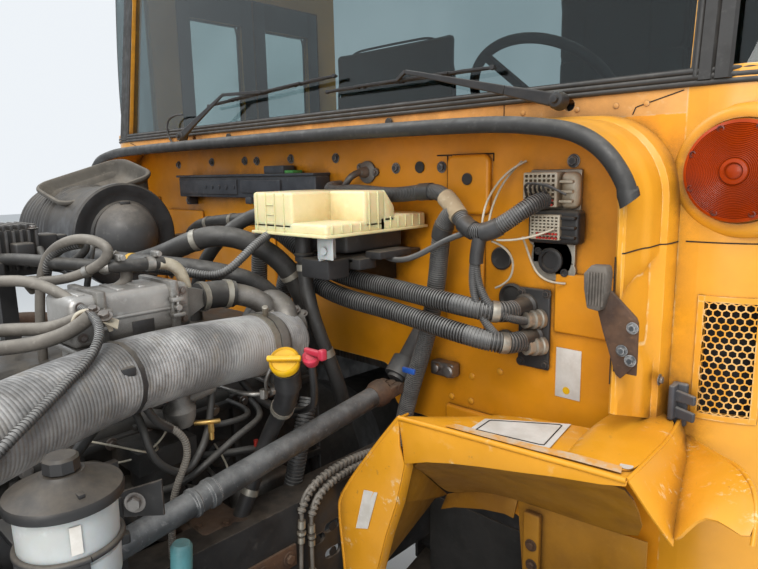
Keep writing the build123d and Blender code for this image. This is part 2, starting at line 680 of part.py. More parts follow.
# Corner lamps
LAMP = (1074.0, 765.0)
LAMP_RADIUS = 80.0


def corner_lamp():
    centre = (LAMP[0], FIREWALL_Y, LAMP[1])
    profile = [(GAP, 0), (GAP, LAMP_RADIUS), (22, LAMP_RADIUS), (30, LAMP_RADIUS - 8), (30, 60), (38, 56), (44, 30), (46, 0)]
    return spun(profile, centre, (0, -1, 0))


left_lamp = corner_lamp()
node("corner_lamps", left_lamp, mirrored(left_lamp))


# Hood landing: a flared collar from the firewall to the hood's seal line
def arch_line(half, top, bottom, y):
    """Outline of the bay at one Y: straight sides, round shoulders and a crowned top."""
    points = [(half, y, bottom), (half, y, top), (0, y, top + LANDING_CROWN), (-half, y, top), (-half, y, bottom)]
    return FilletPolyline(*points, radius=[LANDING_CORNER, CROWN_RADIUS, LANDING_CORNER])


def arch_face(half, top, bottom, y):
    """The bay's outline as a face, closed along the bottom."""
    line = arch_line(half, top, bottom, y)
    return make_face([*line.edges(), Line(line @ 1, line @ 0)])


def landing_form(inset):
    near = arch_face(LANDING_HALF - inset, LANDING_TOP - inset, LANDING_BOTTOM, LANDING_Y)
    far_half = LANDING_HALF + LANDING_FLARE - inset
    far = arch_face(far_half, LANDING_TOP + 8 - inset, LANDING_BOTTOM, FIREWALL_Y)
    return loft([near, far])


LANDING_WALL = 14.0
LEG_IN, LEG_FRONT_X, LEG_OUT = LANDING_HALF - 4, LANDING_HALF + 22, LANDING_HALF + 44
LEG_BEND_Y = LANDING_Y + 100
LEG_TOP = 640.0


def landing_leg():
    """The deeper lower end of the landing, beside the splash panel."""
    outline = make_face(Polyline(
        (LEG_IN, LANDING_Y), (LEG_FRONT_X, LANDING_Y), (LEG_OUT, LEG_BEND_Y), (LEG_OUT, FIREWALL_Y - GAP),
        (LEG_IN, FIREWALL_Y - GAP), close=True
    ))
    return Pos(0, 0, LANDING_BOTTOM) * extrude(outline, LEG_TOP - LANDING_BOTTOM)


landing = landing_form(0) - landing_form(LANDING_WALL)
left_leg = landing_leg()
node("hood_landing", one_piece(landing, left_leg, mirrored(left_leg)))

# Steering column's line, from the wheel's centre down to the joint
WHEEL_CENTRE = (420.0, -690.0, 960.0)
COLUMN_TILT = 45.0
COLUMN_AXIS = (0.0, cos(radians(COLUMN_TILT)), sin(radians(COLUMN_TILT)))
COLUMN_RADIUS = 20.0
JOINT_DISTANCE = (WHEEL_CENTRE[1] - SHAFT_JOINT[1]) / COLUMN_AXIS[1]


def column_point(distance):
    """A point on the steering column's line, from the wheel's centre downwards."""
    return tuple(Vector(*WHEEL_CENTRE) - Vector(*COLUMN_AXIS) * distance)


# Firewall: a pressed plate behind the landing, with a raised pad and a tunnel cut-out
FIREWALL_THICK = 10.0
TUNNEL_HALF = 330.0
TUNNEL_TOP = 300.0
RAIL_GATE = 455.0
ARCH_TOP = 30.0
ARCH_X = 720.0
WHEELHOUSE_BOTTOM = -160.0
PAD_X, PAD_Z = (505.0, 614.0), (681.0, 807.0)


def firewall():
    half = PANEL_IN_X
    corners = [
        (0, SILL_Z - 46), (half, SILL_Z - 46), (half, WHEELHOUSE_BOTTOM), (ARCH_X, WHEELHOUSE_BOTTOM),
        (ARCH_X, ARCH_TOP), (RAIL_GATE, ARCH_TOP), (RAIL_GATE, FIREWALL_BOTTOM), (TUNNEL_HALF, FIREWALL_BOTTOM),
        (TUNNEL_HALF, TUNNEL_TOP), (0, TUNNEL_TOP),
    ]
    plane = Plane(origin=(0, FIREWALL_Y + FIREWALL_THICK, 0), x_dir=(1, 0, 0), z_dir=(0, -1, 0))
    side = extrude(plane * make_face(Polyline(*corners, close=True)), FIREWALL_THICK)
    side = fillet(side.edges().filter_by(Axis.Y).filter_by_position(Axis.X, ARCH_X - 1, ARCH_X + 1), 45)
    side = fillet(side.edges().filter_by(Axis.Y).filter_by_position(Axis.X, TUNNEL_HALF - 1, TUNNEL_HALF + 1), 40)
    plate = one_piece(side, mirrored(side))
    pad = block(PAD_X, (FIREWALL_Y - 14, FIREWALL_Y), PAD_Z)
    pad = fillet(pad.edges().filter_by(Axis.Y), 18)
    pad = fillet(pad.faces().sort_by(Axis.Y)[0].edges(), 8)
    column_hole = rod(column_point(JOINT_DISTANCE - 250), column_point(JOINT_DISTANCE - 50), COLUMN_RADIUS + 0.5)
    return one_piece(plate, pad) - column_hole


node("firewall", firewall())

# Wiper pivots, as (x, z) on the windshield's plane
WIPER_PIVOTS = [(780.0, 890.0), (-532.0, 892.0)]
SPINDLE_SIZE = 11.0
GLASS_NORMAL = Vector(0, -cos(radians(RAKE)), sin(radians(RAKE)))


def raked(z):
    """Y of the windshield's outer plane at a height."""
    return FIREWALL_Y + (z - SILL_Z) * tan(radians(RAKE))


def glass_point(x, z, stand_off):
    """A point at a height, standing off the windshield's outer plane."""
    return Vector(x, raked(z), z) + GLASS_NORMAL * stand_off


# Cowl top: the strip between the firewall and the windshield
def cowl_top():
    upper = SILL_Z - GAP
    strip = block((-PANEL_IN_X, PANEL_IN_X), (FIREWALL_Y, FIREWALL_Y + 12), (SILL_Z - 46, upper))
    shelf = block((-PANEL_IN_X, PANEL_IN_X), (FIREWALL_Y + 12, FIREWALL_Y + WALL + 60), (upper - 12, upper))
    cowl = one_piece(strip, shelf)
    for pivot in WIPER_PIVOTS:
        cowl = cowl - rod(tuple(glass_point(*pivot, 10)), tuple(glass_point(*pivot, -20)), SPINDLE_SIZE + RUN)
    return cowl


node("cowl_top", cowl_top())

# Windshield glass and corner glass, with their rubber gaskets
pane_form = shell_solid(14) - shell_solid(14 + PANE)
main_pane = pane_form & block((-POST_X + 22, POST_X - 22), (-big, -1025), (SILL_Z + 22, PANE_TOP))
corner_pane = pane_form & block((POST_X + 30, big), (-big, -1025), (SILL_Z + 22, PANE_TOP))
driver_pane = pane_form & block((900, big), (-940, -240), (1000, PANE_TOP - 30))
node("windshield_glass", main_pane, corner_pane, mirrored(corner_pane), driver_pane)


def gasket_ring(x, z):
    """A rubber strip proud of the frame round a pane, following the rake."""
    band = shell_solid(-8) - outer_form
    outer = block((x[0] - 18, x[1] + 18), (-big, -1025), (z[0] - 18, z[1] + 18))
    inner = block((x[0] + 14, x[1] - 14), (-big, -1000), (z[0] + 14, z[1] - 14))
    return band & (outer - inner)


main_gasket = gasket_ring((-POST_X + 22, POST_X - 22), (SILL_Z + 22, PANE_TOP))
node("glass_gaskets", main_gasket)

# Hood seal: a rubber tube along the landing's front edge
SEAL_RADIUS = 16.0
SEAL_INSET = 10.0
SEAL_END_Z = 698.0


def hood_seal():
    y = LANDING_Y - SEAL_RADIUS - GAP
    path = arch_line(LANDING_HALF - SEAL_INSET, LANDING_TOP - SEAL_INSET, SEAL_END_Z, y)
    start = Plane(origin=path @ 0, z_dir=path % 0)
    return sweep(start * Circle(SEAL_RADIUS), path=path)


node("hood_seal", hood_seal())

# Hood stops with their rubber pads, and hood catches
def hood_stop():
    x = 905.0
    plane = Plane(origin=(x - 6, 0, 0), x_dir=(0, 1, 0), z_dir=(1, 0, 0))
    plate = extrude(plane * make_face(Polyline(
        (FIREWALL_Y, 393), (FIREWALL_Y, 520), (FIREWALL_Y - 70, 600), (FIREWALL_Y - 96, 600), (FIREWALL_Y - 96, 530),
        (FIREWALL_Y - 12, 393), close=True
    )), 12)
    flange = block((x - 40, x + 40), (FIREWALL_Y - 8, FIREWALL_Y), (393, 520))
    pad = soft_block((x - 18, x + 18), (FIREWALL_Y - 124, FIREWALL_Y - 96), (540, 640), 6)
    return one_piece(plate, flange, pad)


CATCH_X = (LEG_OUT + 1, GRILLE_X[0] - 1)


def hood_catch():
    foot = block(CATCH_X, (FIREWALL_Y - 10, FIREWALL_Y), (320, 400))
    prongs = []
    for z in (345, 380):
        prongs.append(block((CATCH_X[0] + 4, CATCH_X[1] - 6), (FIREWALL_Y - 60, FIREWALL_Y), (z, z + 15)))
    return one_piece(foot, *prongs)


left_stop, left_catch = hood_stop(), hood_catch()
node("hood_stops", left_stop, mirrored(left_stop), left_catch, mirrored(left_catch))

# Splash panels: the step and wheelhouse pressing beside each front wheel
SPLASH_AT = (1020.0, -1487.0)
SPLASH_YAW = 5.1
SPLASH_WALL = 6.0
SPLASH_TOP = 313.0
SPLASH_EDGE = [(434, 45), (446, 118), (524, 222), (592, SPLASH_TOP), (1020, SPLASH_TOP)]
SPLASH_ARCH = [
    (1008, 262), (945, 262), (850, 258), (755, 244), (676, 222), (596, 170), (558, 98), (552, 0), (548, -130), (455, -130)
]
SHELF = [
    (592, -1525), (1019, -1487), (1021, -1400), (1018, FIREWALL_Y - GAP), (893, FIREWALL_Y - GAP), (891, -1340),
    (800, -1350), (720, -1405), (655, -1480)
]
# The end that slopes down from the shelf and turns up again to the fender's edge: sections
# from front to rear, with y at the crest and at the outer edge, then (x, z) of three points
FLARE = [
    # y, y outside, crest, valley, outer edge
    (-1487, -1452, (1020, 312), (1074, 214), (1176, 262)),
    (-1396, -1396, (1022, 312), (1062, 244), (1160, 304)),
    (-1320, -1320, (1021, 311), (1046, 270), (1110, 304)),
    (-1252, -1252, (1018, 307), (1024, 290), (1034, 292)),
]
FLARE_LIP = 45.0


def flare_section(y_crest, y_outer, crest, valley, outer):
    """One upright section of the sloping end, as a thin folded strip."""
    lip = (outer[0], outer[1] - FLARE_LIP)
    under = [(lip[0] - 5, lip[1]), (outer[0] - 5, outer[1] - 7), (valley[0] - 1, valley[1] - 7), (crest[0] - 5, crest[1] - 7)]
    slant = (y_outer - y_crest) / (outer[0] - crest[0])
    points = [(x, y_crest + slant * (x - crest[0]), z) for x, z in [crest, valley, outer, lip] + under]
    return make_face(Polyline(*points, close=True))


def splash_panel():
    """A face over the wheel with a leg, a shelf with a curved rear edge, and the sloping end."""
    front = Plane(origin=(*SPLASH_AT, 0), x_dir=(1, 0.09, 0), z_dir=(0.09, -1, 0))
    length = cos(radians(SPLASH_YAW))

    def on_plane(points):
        return [((x - SPLASH_AT[0]) / length, z) for x, z in points]

    face = extrude(front * make_face(Polyline(*on_plane(SPLASH_EDGE + SPLASH_ARCH), close=True)), -SPLASH_WALL)
    rim_line = SPLASH_EDGE[:4]
    inner = [(x + 8, z - 5) for x, z in rim_line]
    band = make_face(Polyline(*on_plane(rim_line + inner[::-1]), close=True))
    lip = extrude(front * band, 30, dir=(0, 1, 0))
    shelf = Pos(0, 0, SPLASH_TOP - SPLASH_WALL) * extrude(make_face(Polyline(*SHELF, close=True)), SPLASH_WALL)
    slope = loft([flare_section(*row) for row in FLARE], ruled=True)
    return one_piece(face, lip, shelf, slope)


left_splash = splash_panel()
node("splash_panels", left_splash, mirrored(left_splash))

# Engine: one plain heavy block with its gearbox
ENGINE_REAR_Y = -1430.0


def engine():
    crankcase = soft_block((-260, 260), (ENGINE_FRONT_Y, ENGINE_REAR_Y), (-260, 330), 20)
    sump = soft_block((-170, 170), (ENGINE_FRONT_Y + 60, AXLE_Y - 70), (-420, -240), 20)
    housing = spun([(0, 0), (0, 240), (180, 220), (320, 160), (760, 150), (780, 90), (860, 60), (860, 0)],
                   (0, ENGINE_REAR_Y - 10, -20), (0, 1, 0))
    pulley = rod((0, ENGINE_FRONT_Y - 70, -60), (0, ENGINE_FRONT_Y + 10, -60), 110)
    mounts = []
    for x in (-1, 1):
        limits = sorted((x * 250, x * (WEB_X - GAP)))
        mounts.append(block(limits, (-2250, -2150), (-100, -20)))
    nose = rod((0, ENGINE_FRONT_Y - 60, 190), (0, ENGINE_FRONT_Y + 10, 190), 70)
    filter_head = block((250, 366), (-1935, -1825), (272, 312))
    canister = rod((318, -1880, 150), (318, -1880, 280), 46)
    side_cover = soft_block((250, 292), (-2090, -1950), (-60, 200), 12)
    pump = rod((250, -2270, 205), (350, -2270, 205), 55)
    return one_piece(crankcase, sump, housing, pulley, nose, filter_head, canister, side_cover, pump, *mounts)


node("engine_block", engine())

HEAD_Z = 330.0
valve_cover = soft_block((-150, 150), (ENGINE_FRONT_Y + 90, ENGINE_REAR_Y - 50), (HEAD_Z + GAP, HEAD_Z + 110), 24)

# Control module on a post above the valve cover
MODULE_X, MODULE_Y, MODULE_Z = (-115.0, 0.0), (-2040.0, -1930.0), (587.0, 677.0)


def control_module():
    case = block(MODULE_X, MODULE_Y, MODULE_Z)
    post = block((-75, -40), (-2000, -1970), (HEAD_Z + 100, MODULE_Z[0] + 10))
    return one_piece(case, post)


node("valve_cover", one_piece(valve_cover, control_module()))

# Charge-air pipe from the cooler in front to the turbine casting
CHARGE_DIAMETER = 118.0
CHARGE_ROUTE = [
    (590, -2520, 420), (560, -2350, 446), (484, -2170, 463), (412, -1975, 472), (384, -1800, 462), (352, -1660, 445)
]


def beyond(points, index, step, distance):
    """A point past a route's end, in line with its last run."""
    end, inner = Vector(*points[index]), Vector(*points[index + step])
    return tuple(end + (end - inner).normalized() * distance)


# Cooler box, elbow and turbine casting on the engine's left side
EGR_X, EGR_Z = (215.0, 325.0), (497.0, 590.0)


def intake_castings():
    cooler = block(EGR_X, (-2080, -1790), EGR_Z)
    cooler = fillet(cooler.edges().filter_by(Axis.Y), 12)
    taper_plane = Plane(origin=(270, -1790, 543), x_dir=(1, 0, 0), z_dir=(0, 1, 0))
    taper = loft([taper_plane * Rectangle(100, 84), taper_plane.offset(46) * Circle(27)])
    stub = hose([(270, -1746, 543), (270, -1690, 543), (285, -1640, 535), (300, -1600, 505)], 44)
    legs = []
    for y in (-2040, -1850):
        legs.append(block((200, 240), (y, y + 40), (HEAD_Z, EGR_Z[0] + 10)))
    casting = soft_block((225, 365), (-1640, -1526), (395, 505), 30)
    pedestal = block((225, 300), (-1600, -1540), (HEAD_Z, 420))
    nozzle = rod(CHARGE_ROUTE[-1], beyond(CHARGE_ROUTE, -1, -1, 90), CHARGE_DIAMETER / 2 + 4)
    return one_piece(cooler, taper, stub, *legs, casting, pedestal, nozzle)


node("intake_castings", intake_castings())

charge_pipe = hose(CHARGE_ROUTE, CHARGE_DIAMETER)
node("charge_air_pipe", charge_pipe)

# Air cleaner: a drum across the bay with a dome, and a rubber funnel above it
DRUM = (-330.0, -1600.0, 615.0)
DRUM_RADIUS = 135.0
DRUM_LENGTH = 440.0
MOUTH_AT = (-510.0, -1594.0, 766.0)
MOUTH_SIZE = (180.0, 270.0)
MOUTH_DEPTH = 85.0


def air_cleaner():
    x, y, z = DRUM
    r = DRUM_RADIUS
    profile = [
        (0, 0), (8, 92), (8, r + 8), (-22, r + 8), (-22, r), (-DRUM_LENGTH + 15, r), (-DRUM_LENGTH, r - 18), (-DRUM_LENGTH, 0)
    ]
    drum = spun(profile, (x, y, z), (1, 0, 0))
    dome = spun([(-2, 0), (-2, 88), (12, 87), (32, 77), (68, 44), (80, 0)], (x, y, z + 4), (1, 0, 0))
    mouth = Plane(origin=MOUTH_AT, x_dir=(0.962, 0.07, -0.267), z_dir=(0.255, -0.286, 0.924))
    wide, long = MOUTH_SIZE
    funnel = loft([
        mouth * RectangleRounded(wide, long, 45),
        mouth.offset(-MOUTH_DEPTH) * RectangleRounded(wide * 0.7, long * 0.68, 30),
    ])
    inside = loft([
        mouth.offset(1) * RectangleRounded(wide - 24, long - 24, 34),
        mouth.offset(-MOUTH_DEPTH + 32) * RectangleRounded(wide * 0.7, long * 0.7, 26),
    ])
    neck = loft([
        mouth.offset(-MOUTH_DEPTH + 2) * RectangleRounded(wide * 0.7, long * 0.68, 30),
        mouth.offset(-MOUTH_DEPTH - 40) * RectangleRounded(wide * 0.6, long * 0.55, 26),
    ])
    strap = tube((x - 290, y, z), (x - 250, y, z), r + 5, r - 2)
    bracket = block((x - 290, x - 250), (y + r - 10, FIREWALL_Y - GAP), (z - 95, z - 45))
    return one_piece(drum, dome, funnel - inside, neck, strap, bracket)


node("air_cleaner", air_cleaner())

# Radiator with its side tanks, and the fan shroud
RADIATOR_HALF = 335.0
COOLER_HALF = 400.0
COOLER_Z = (145.0, 590.0)
RADIATOR_Z = (-110.0, 560.0)


def radiator():
    core = block((-RADIATOR_HALF, RADIATOR_HALF), RADIATOR_Y, RADIATOR_Z)
    tanks = []
    for z in (RADIATOR_Z[0] - 60, RADIATOR_Z[1]):
        tanks.append(block((-RADIATOR_HALF, RADIATOR_HALF), (RADIATOR_Y[0] - 16, RADIATOR_Y[1] + 16), (z, z + 60)))
    cooler_y = (RADIATOR_Y[0] - 62, RADIATOR_Y[0] - 16)
    cooler = block((-COOLER_HALF, COOLER_HALF), cooler_y, COOLER_Z)
    side = block((COOLER_HALF, COOLER_HALF + 70), (cooler_y[0] - 6, cooler_y[1] + 6), COOLER_Z)
    turn = beyond(CHARGE_ROUTE, 0, 1, 150)
    stub = hose([(COOLER_HALF + 40, cooler_y[1] - 20, 395), (turn[0] - 10, cooler_y[1] - 20, 396), turn, CHARGE_ROUTE[0]],
                CHARGE_DIAMETER - 8)
    feet = [block((x - 30, x + 30), (FRONT_MEMBER_Y + GAP, RADIATOR_Y[1]), (-120, -104)) for x in (-270, 270)]
    return one_piece(core, *tanks, cooler, side, mirrored(side), stub, *feet)


node("radiator", radiator())

FAN_Z = 190.0
FAN_RADIUS = 285.0


def fan_shroud():
    back = RADIATOR_Y[1] + GAP
    box_part = block((-325, 325), (back, back + 86), (RADIATOR_Z[0] + 10, RADIATOR_Z[1] - 10))
    hollow = block((-313, 313), (back - 1, back + 76), (RADIATOR_Z[0] + 22, RADIATOR_Z[1] - 22))
    ring = tube((0, back + 76, FAN_Z), (0, FAN_Y + 50, FAN_Z), FAN_RADIUS + 24, FAN_RADIUS + 14)
    throat = rod((0, back, FAN_Z), (0, back + 96, FAN_Z), FAN_RADIUS + 14)
    return one_piece(box_part - hollow - throat, ring)


node("fan_shroud", fan_shroud())


def fan():
    hub = rod((0, FAN_Y - 30, FAN_Z), (0, FAN_Y + 40, FAN_Z), 80)
    blades = []
    for i in range(7):
        blade = Pos(0, FAN_Y, FAN_Z) * Rot(0, i * 360 / 7, 0) * Pos(0, 0, FAN_RADIUS / 2 + 30) * Rot(0, 0, 32) * Box(
            84, 6, FAN_RADIUS - 64
        )
        blades.append(blade)
    return one_piece(hub, *blades) - rod((0, FAN_Y + 20, FAN_Z), (0, FAN_Y + 45, FAN_Z), 30 + RUN)


node("fan", fan())
engine_nose = rod((0, FAN_Y + 21, FAN_Z), (0, ENGINE_FRONT_Y - 59, FAN_Z), 30)
NODES["engine_block"] = one_piece(NODES["engine_block"], engine_nose)

# Power steering reservoir, on a bracket at the left rail
RESERVOIR = (641.0, -2145.0, 290.0)
RESERVOIR_RADIUS = 64.0


def steering_reservoir():
    centre = RESERVOIR
    r = RESERVOIR_RADIUS
    profile = [(0, 0), (0, r - 8), (6, r), (118, r), (118, r + 5), (128, r + 5), (150, 34), (150, 20), (168, 20), (168, 0)]
    can = spun(profile, centre, (0, 0, 1))
    arm = block((RAIL_OUTER_X, centre[0]), (centre[1] - 25, centre[1] + 25), (centre[2] - 10, centre[2]))
    post = block((RAIL_OUTER_X, RAIL_OUTER_X + 10), (centre[1] - 25, centre[1] + 25), (60, centre[2]))
    return one_piece(can, arm, post)


node("steering_reservoir", steering_reservoir())

# Coolant tank and the bracket that carries it on the firewall
TANK_X = (217.0, 449.0)
TANK_Y = (-1568.0, -1266.0)
TANK_STEP_Y = -1398.0
TANK_Z = (646.0, 737.0)
TANK_LOW_TOP = 684.0
TANK_NOTCH = ((347.0, 460.0), (-1580.0, -1461.0), (674.0, 750.0))


def coolant_tank():
    front = soft_block(TANK_X, (TANK_Y[0], TANK_STEP_Y), TANK_Z, 8) - block(*TANK_NOTCH)
    rear = soft_block(TANK_X, (TANK_STEP_Y - 20, TANK_Y[1]), (TANK_Z[0], TANK_LOW_TOP), 10)
    seam = block((TANK_X[0] - 4, TANK_X[1] + 4), (TANK_Y[0] - 4, TANK_Y[1] + 4), (TANK_Z[0] + 4, TANK_Z[0] + 10))
    neck = rod((300, -1500, 590), (300, -1500, 650), 22)
    lower = soft_block((240, 430), (-1470, -1290), (600, 648), 8)
    return one_piece(front, rear, seam, neck, lower)


node("coolant_tank", coolant_tank())

# Plates on the firewall: connectors, hose pass-through, tank bracket
def firewall_plates():
    face = FIREWALL_Y - GAP
    connectors = block((708, 810), (face - 8, face), (569, 772))
    upper_plug = block((722, 800), (face - 48, face - 8), (690, 745))
    lower_plug = block((722, 800), (face - 44, face - 8), (612, 668))
    port = rod((752, face - 20, 592), (752, face - 8, 592), 20)
    through = block((682, 753), (face - 8, face), (376, 531))
    necks = [rod((x, face - 60, z), (x, face - 8, z), 16) for x, z in ((705, 500), (722, 440))]
    shelf = block((250, 420), (-1470, face), (588, 600 - GAP))
    gusset = block((325, 345), (-1385, face), (525, 589))
    return [one_piece(connectors, upper_plug, lower_plug, port), one_piece(through, *necks), one_piece(shelf, gusset)]


node("firewall_plates", *firewall_plates())

power_module = block((-560, 120), (FIREWALL_Y - 60, FIREWALL_Y - GAP), (705, 775))
node("power_module", power_module)

# Heater hoses from the engine to the pass-through plate
HEATER = [
    [
        (705, -1311, 500), (705, -1350, 500), (650, -1382, 510), (550, -1392, 522), (430, -1400, 530), (310, -1428, 540),
        (200, -1446, 530), (120, -1450, 440), (120, -1450, 331),
    ],
    [
        (722, -1311, 440), (722, -1350, 440), (670, -1384, 452), (570, -1396, 468), (460, -1412, 486), (350, -1442, 492),
        (232, -1462, 430), (232, -1462, 331),
    ],
]
HEATER_DIAMETER = 42.0
node("heater_hoses", *[hose(route, HEATER_DIAMETER) for route in HEATER])

# Smooth rubber hoses
RUBBER = [
    (
        [
            (300, -1500, 589.7), (300, -1500, 545), (316, -1502, 480), (338, -1492, 415), (350, -1472, 345),
            (350, -1444, 270), (334, -1420, 200)
        ],
        32,
    ),
    ([(216.5, -1500, 692), (150, -1500, 692), (70, -1560, 650), (40, -1620, 540), (40, -1620, 440.6)], 30),
]
node("rubber_hoses", *[hose(route, size) for route, size in RUBBER])

# Wiring looms in corrugated conduit
LOOMS = [
    (
        [
            (547, -1264.5, 775), (547, -1322, 775), (548, -1334, 560), (545, -1332, 420), (505, -1330, 300),
            (430, -1330, 200)
        ],
        39,
    ),
    (
        [
            (760, -1298.6, 716), (760, -1340, 716), (700, -1372, 655), (630, -1372, 650), (588, -1340, 708),
            (588, -1264.5, 708)
        ],
        33,
    ),
]
node("wiring_looms", *[hose(route, size) for route, size in LOOMS])

# Oil filler and dipstick on the engine's left side
def filler():
    side = 260 + GAP
    neck = hose([(499, -1719, 450), (486, -1708, 390), (425, -1675, 330), (350, -1650, 240), (side, -1650, 240)], 42)
    cap = rod((499, -1719, 449), (501, -1721, 468), 27)
    stick = hose([(531, -1686, 452), (522, -1676, 392), (480, -1640, 336), (380, -1604, 290), (side, -1604, 290)], 14)
    handle = rod((531, -1686, 451), (532, -1687, 470), 20)
    return [one_piece(neck, cap), one_piece(stick, handle)]


node("filler_and_dipstick", *filler())

# Brake lines up the left rail
LINES = [
    [(437, -1600, -120), (437, -1600, 60), (437, -1590, 150), (400, -1540, 205), (350, -1480, 225)],
    [(437, -1576, -120), (437, -1576, 60), (437, -1566, 146), (405, -1520, 188), (360, -1470, 204)],
]
node("brake_lines", *[hose(route, 11) for route in LINES])

# Cab floor with the step well
WELL_X = -600.0


def cab_floor():
    inner = BODY_HALF - WALL
    floor = block((-inner, inner), (FIREWALL_Y + WALL, 0), (FLOOR_Z - FLOOR_THICK, FLOOR_Z))
    well = block((-inner - 1, WELL_X), (DOOR_FRONT_Y, DOOR_REAR_Y), (FLOOR_Z - FLOOR_THICK - 1, FLOOR_Z + 1))
    floor = floor - well - low_shell
    rise = (FLOOR_Z - DOOR_BOTTOM) / 3
    run = (inner + WELL_X) / 3
    steps = []
    for i in range(3):
        tread_z = DOOR_BOTTOM + rise * i
        x0 = -inner + run * i
        steps.append(block((x0, x0 + run + 12), (DOOR_FRONT_Y, DOOR_REAR_Y), (tread_z - 12, tread_z)))
        steps.append(block((x0 + run, x0 + run + 12), (DOOR_FRONT_Y, DOOR_REAR_Y), (tread_z - 12, tread_z + rise)))
    for y in (DOOR_FRONT_Y - 8, DOOR_REAR_Y):
        steps.append(block((-inner, WELL_X + 12), (y, y + 8), (DOOR_BOTTOM - 12, FLOOR_Z)))
    sills = []
    for x in (-RAIL_OUTER_X + 30, RAIL_OUTER_X - 30):
        sills.append(block((x - 30, x + 30), (-1180, 0), (RAIL_HEIGHT / 2, FLOOR_Z - FLOOR_THICK)))
    return one_piece(floor, *steps, *sills)


node("cab_floor", cab_floor())

# Dashboard with the steering column's jacket
def dashboard():
    back = FIREWALL_Y + WALL
    plane = Plane(origin=(-1120, 0, 0), x_dir=(0, 1, 0), z_dir=(1, 0, 0))
    outline = make_face(Polyline(
        (back + 2, 600), (back + 2, 894), (back + 120, 894), (-960, 870), (-900, 820), (-930, 640), (-1000, 600), close=True
    ))
    panel = extrude(plane * outline, 2240)
    panel = panel & block((-1000, 1000), (-big, big), (-big, big))
    jacket = tube(column_point(60), column_point(560), 34, COLUMN_RADIUS + 0.5)
    panel = panel - rod(column_point(0), column_point(700), COLUMN_RADIUS + 0.5)
    return one_piece(panel, jacket)


node("dashboard", dashboard())


def steering_wheel():
    plane = Plane(origin=WHEEL_CENTRE, z_dir=COLUMN_AXIS)
    ring = plane.location * Torus(215, 14)
    hub = rod(column_point(50), column_point(-10), 50)
    shaft = rod(column_point(40), column_point(JOINT_DISTANCE - CROSS_RADIUS - GAP), COLUMN_RADIUS)
    yoke = rod(column_point(JOINT_DISTANCE - 70), column_point(JOINT_DISTANCE - YOKE_GAP), 30)
    spokes = []
    for i in range(3):
        angle = 360 / 3 * i + 90
        spoke = plane.location * Rot(0, 0, angle) * Pos(120, 0, -10) * Box(200, 26, 10)
        spokes.append(spoke)
    return one_piece(ring, hub, shaft, yoke, *spokes)


node("steering_wheel", steering_wheel())

# Driver's seat and the crash barriers behind it
def driver_seat():
    pedestal = block((300, 540), (-520, -240), (FLOOR_Z, FLOOR_Z + 300))
    cushion = soft_block((180, 660), (-640, -160), (FLOOR_Z + 300, FLOOR_Z + 420), 40)
    back = soft_block((190, 650), (-220, -110), (FLOOR_Z + 380, FLOOR_Z + 1110), 40)
    return one_piece(pedestal, cushion, back)


node("driver_seat", driver_seat())

barriers = []
for x0, x1 in ((160.0, BODY_HALF - 100), (-BODY_HALF + 100, -360.0)):
    pad = soft_block((x0, x1), (-70, -20), (FLOOR_Z + 120, FLOOR_Z + 1080), 16)
    legs = [block((x - 15, x + 15), (-60, -30), (FLOOR_Z, FLOOR_Z + 140)) for x in (x0 + 60, x1 - 60)]
    barriers.append(one_piece(pad, *legs))
node("crash_barriers", *barriers)

# Entrance door: two leaves that swing outwards
MIDDLE_Y = (DOOR_FRONT_Y + DOOR_REAR_Y) / 2


def door_leaf(y_hinge, y_free):
    """One leaf with its pane opening; its hinge pin stands at y_hinge."""
    y0, y1 = min(y_hinge, y_free), max(y_hinge, y_free)
    x0, x1 = -BODY_HALF, -BODY_HALF + DOOR_THICK
    leaf_solid = block((x0, x1), (y0, y1), (DOOR_BOTTOM + 6, DOOR_TOP - 6))
    for z0, z1 in ((-340.0, 330.0), (560.0, 1440.0)):
        leaf_solid = leaf_solid - block((x0 - 5, x1 + 5), (y0 + 60, y1 - 60), (z0, z1))
    low, high = (HINGE_X, y_hinge, DOOR_BOTTOM + 40), (HINGE_X, y_hinge, DOOR_TOP - 40)
    barrel = rod(low, high, HINGE_RADIUS)
    for share in WALL_KNUCKLES:
        z, half = door_height(share), KNUCKLE_HALF + GAP
        barrel = barrel - rod((HINGE_X, y_hinge, z - half), (HINGE_X, y_hinge, z + half), HINGE_RADIUS + 1)
    y_strap = y_hinge + (45 if y_free > y_hinge else -45)
    straps = []
    for share in LEAF_KNUCKLES:
        z = door_height(share)
        limits = (min(y_hinge, y_strap), max(y_hinge, y_strap))
        straps.append(block((HINGE_X - 5, x0), limits, (z - KNUCKLE_HALF, z + KNUCKLE_HALF)))
    return one_piece(leaf_solid, barrel, rod(low, high, HINGE_PIN), *straps)


front_leaf = door_leaf(DOOR_FRONT_Y + DOOR_EDGE, MIDDLE_Y - DOOR_GAP / 2)
rear_leaf = door_leaf(DOOR_REAR_Y - DOOR_EDGE, MIDDLE_Y + DOOR_GAP / 2)
node("door_front_leaf", front_leaf)
node("door_rear_leaf", rear_leaf)


def door_glass(y0, y1):
    x = -BODY_HALF + DOOR_THICK / 2
    panes = []
    for z0, z1 in ((-340.0, 330.0), (560.0, 1440.0)):
        panes.append(block((x - 3, x + 3), (y0 + 60, y1 - 60), (z0, z1)))
    return panes


node("door_glass_front", *door_glass(DOOR_FRONT_Y + DOOR_EDGE, MIDDLE_Y - DOOR_GAP / 2))
node("door_glass_rear", *door_glass(MIDDLE_Y + DOOR_GAP / 2, DOOR_REAR_Y - DOOR_EDGE))

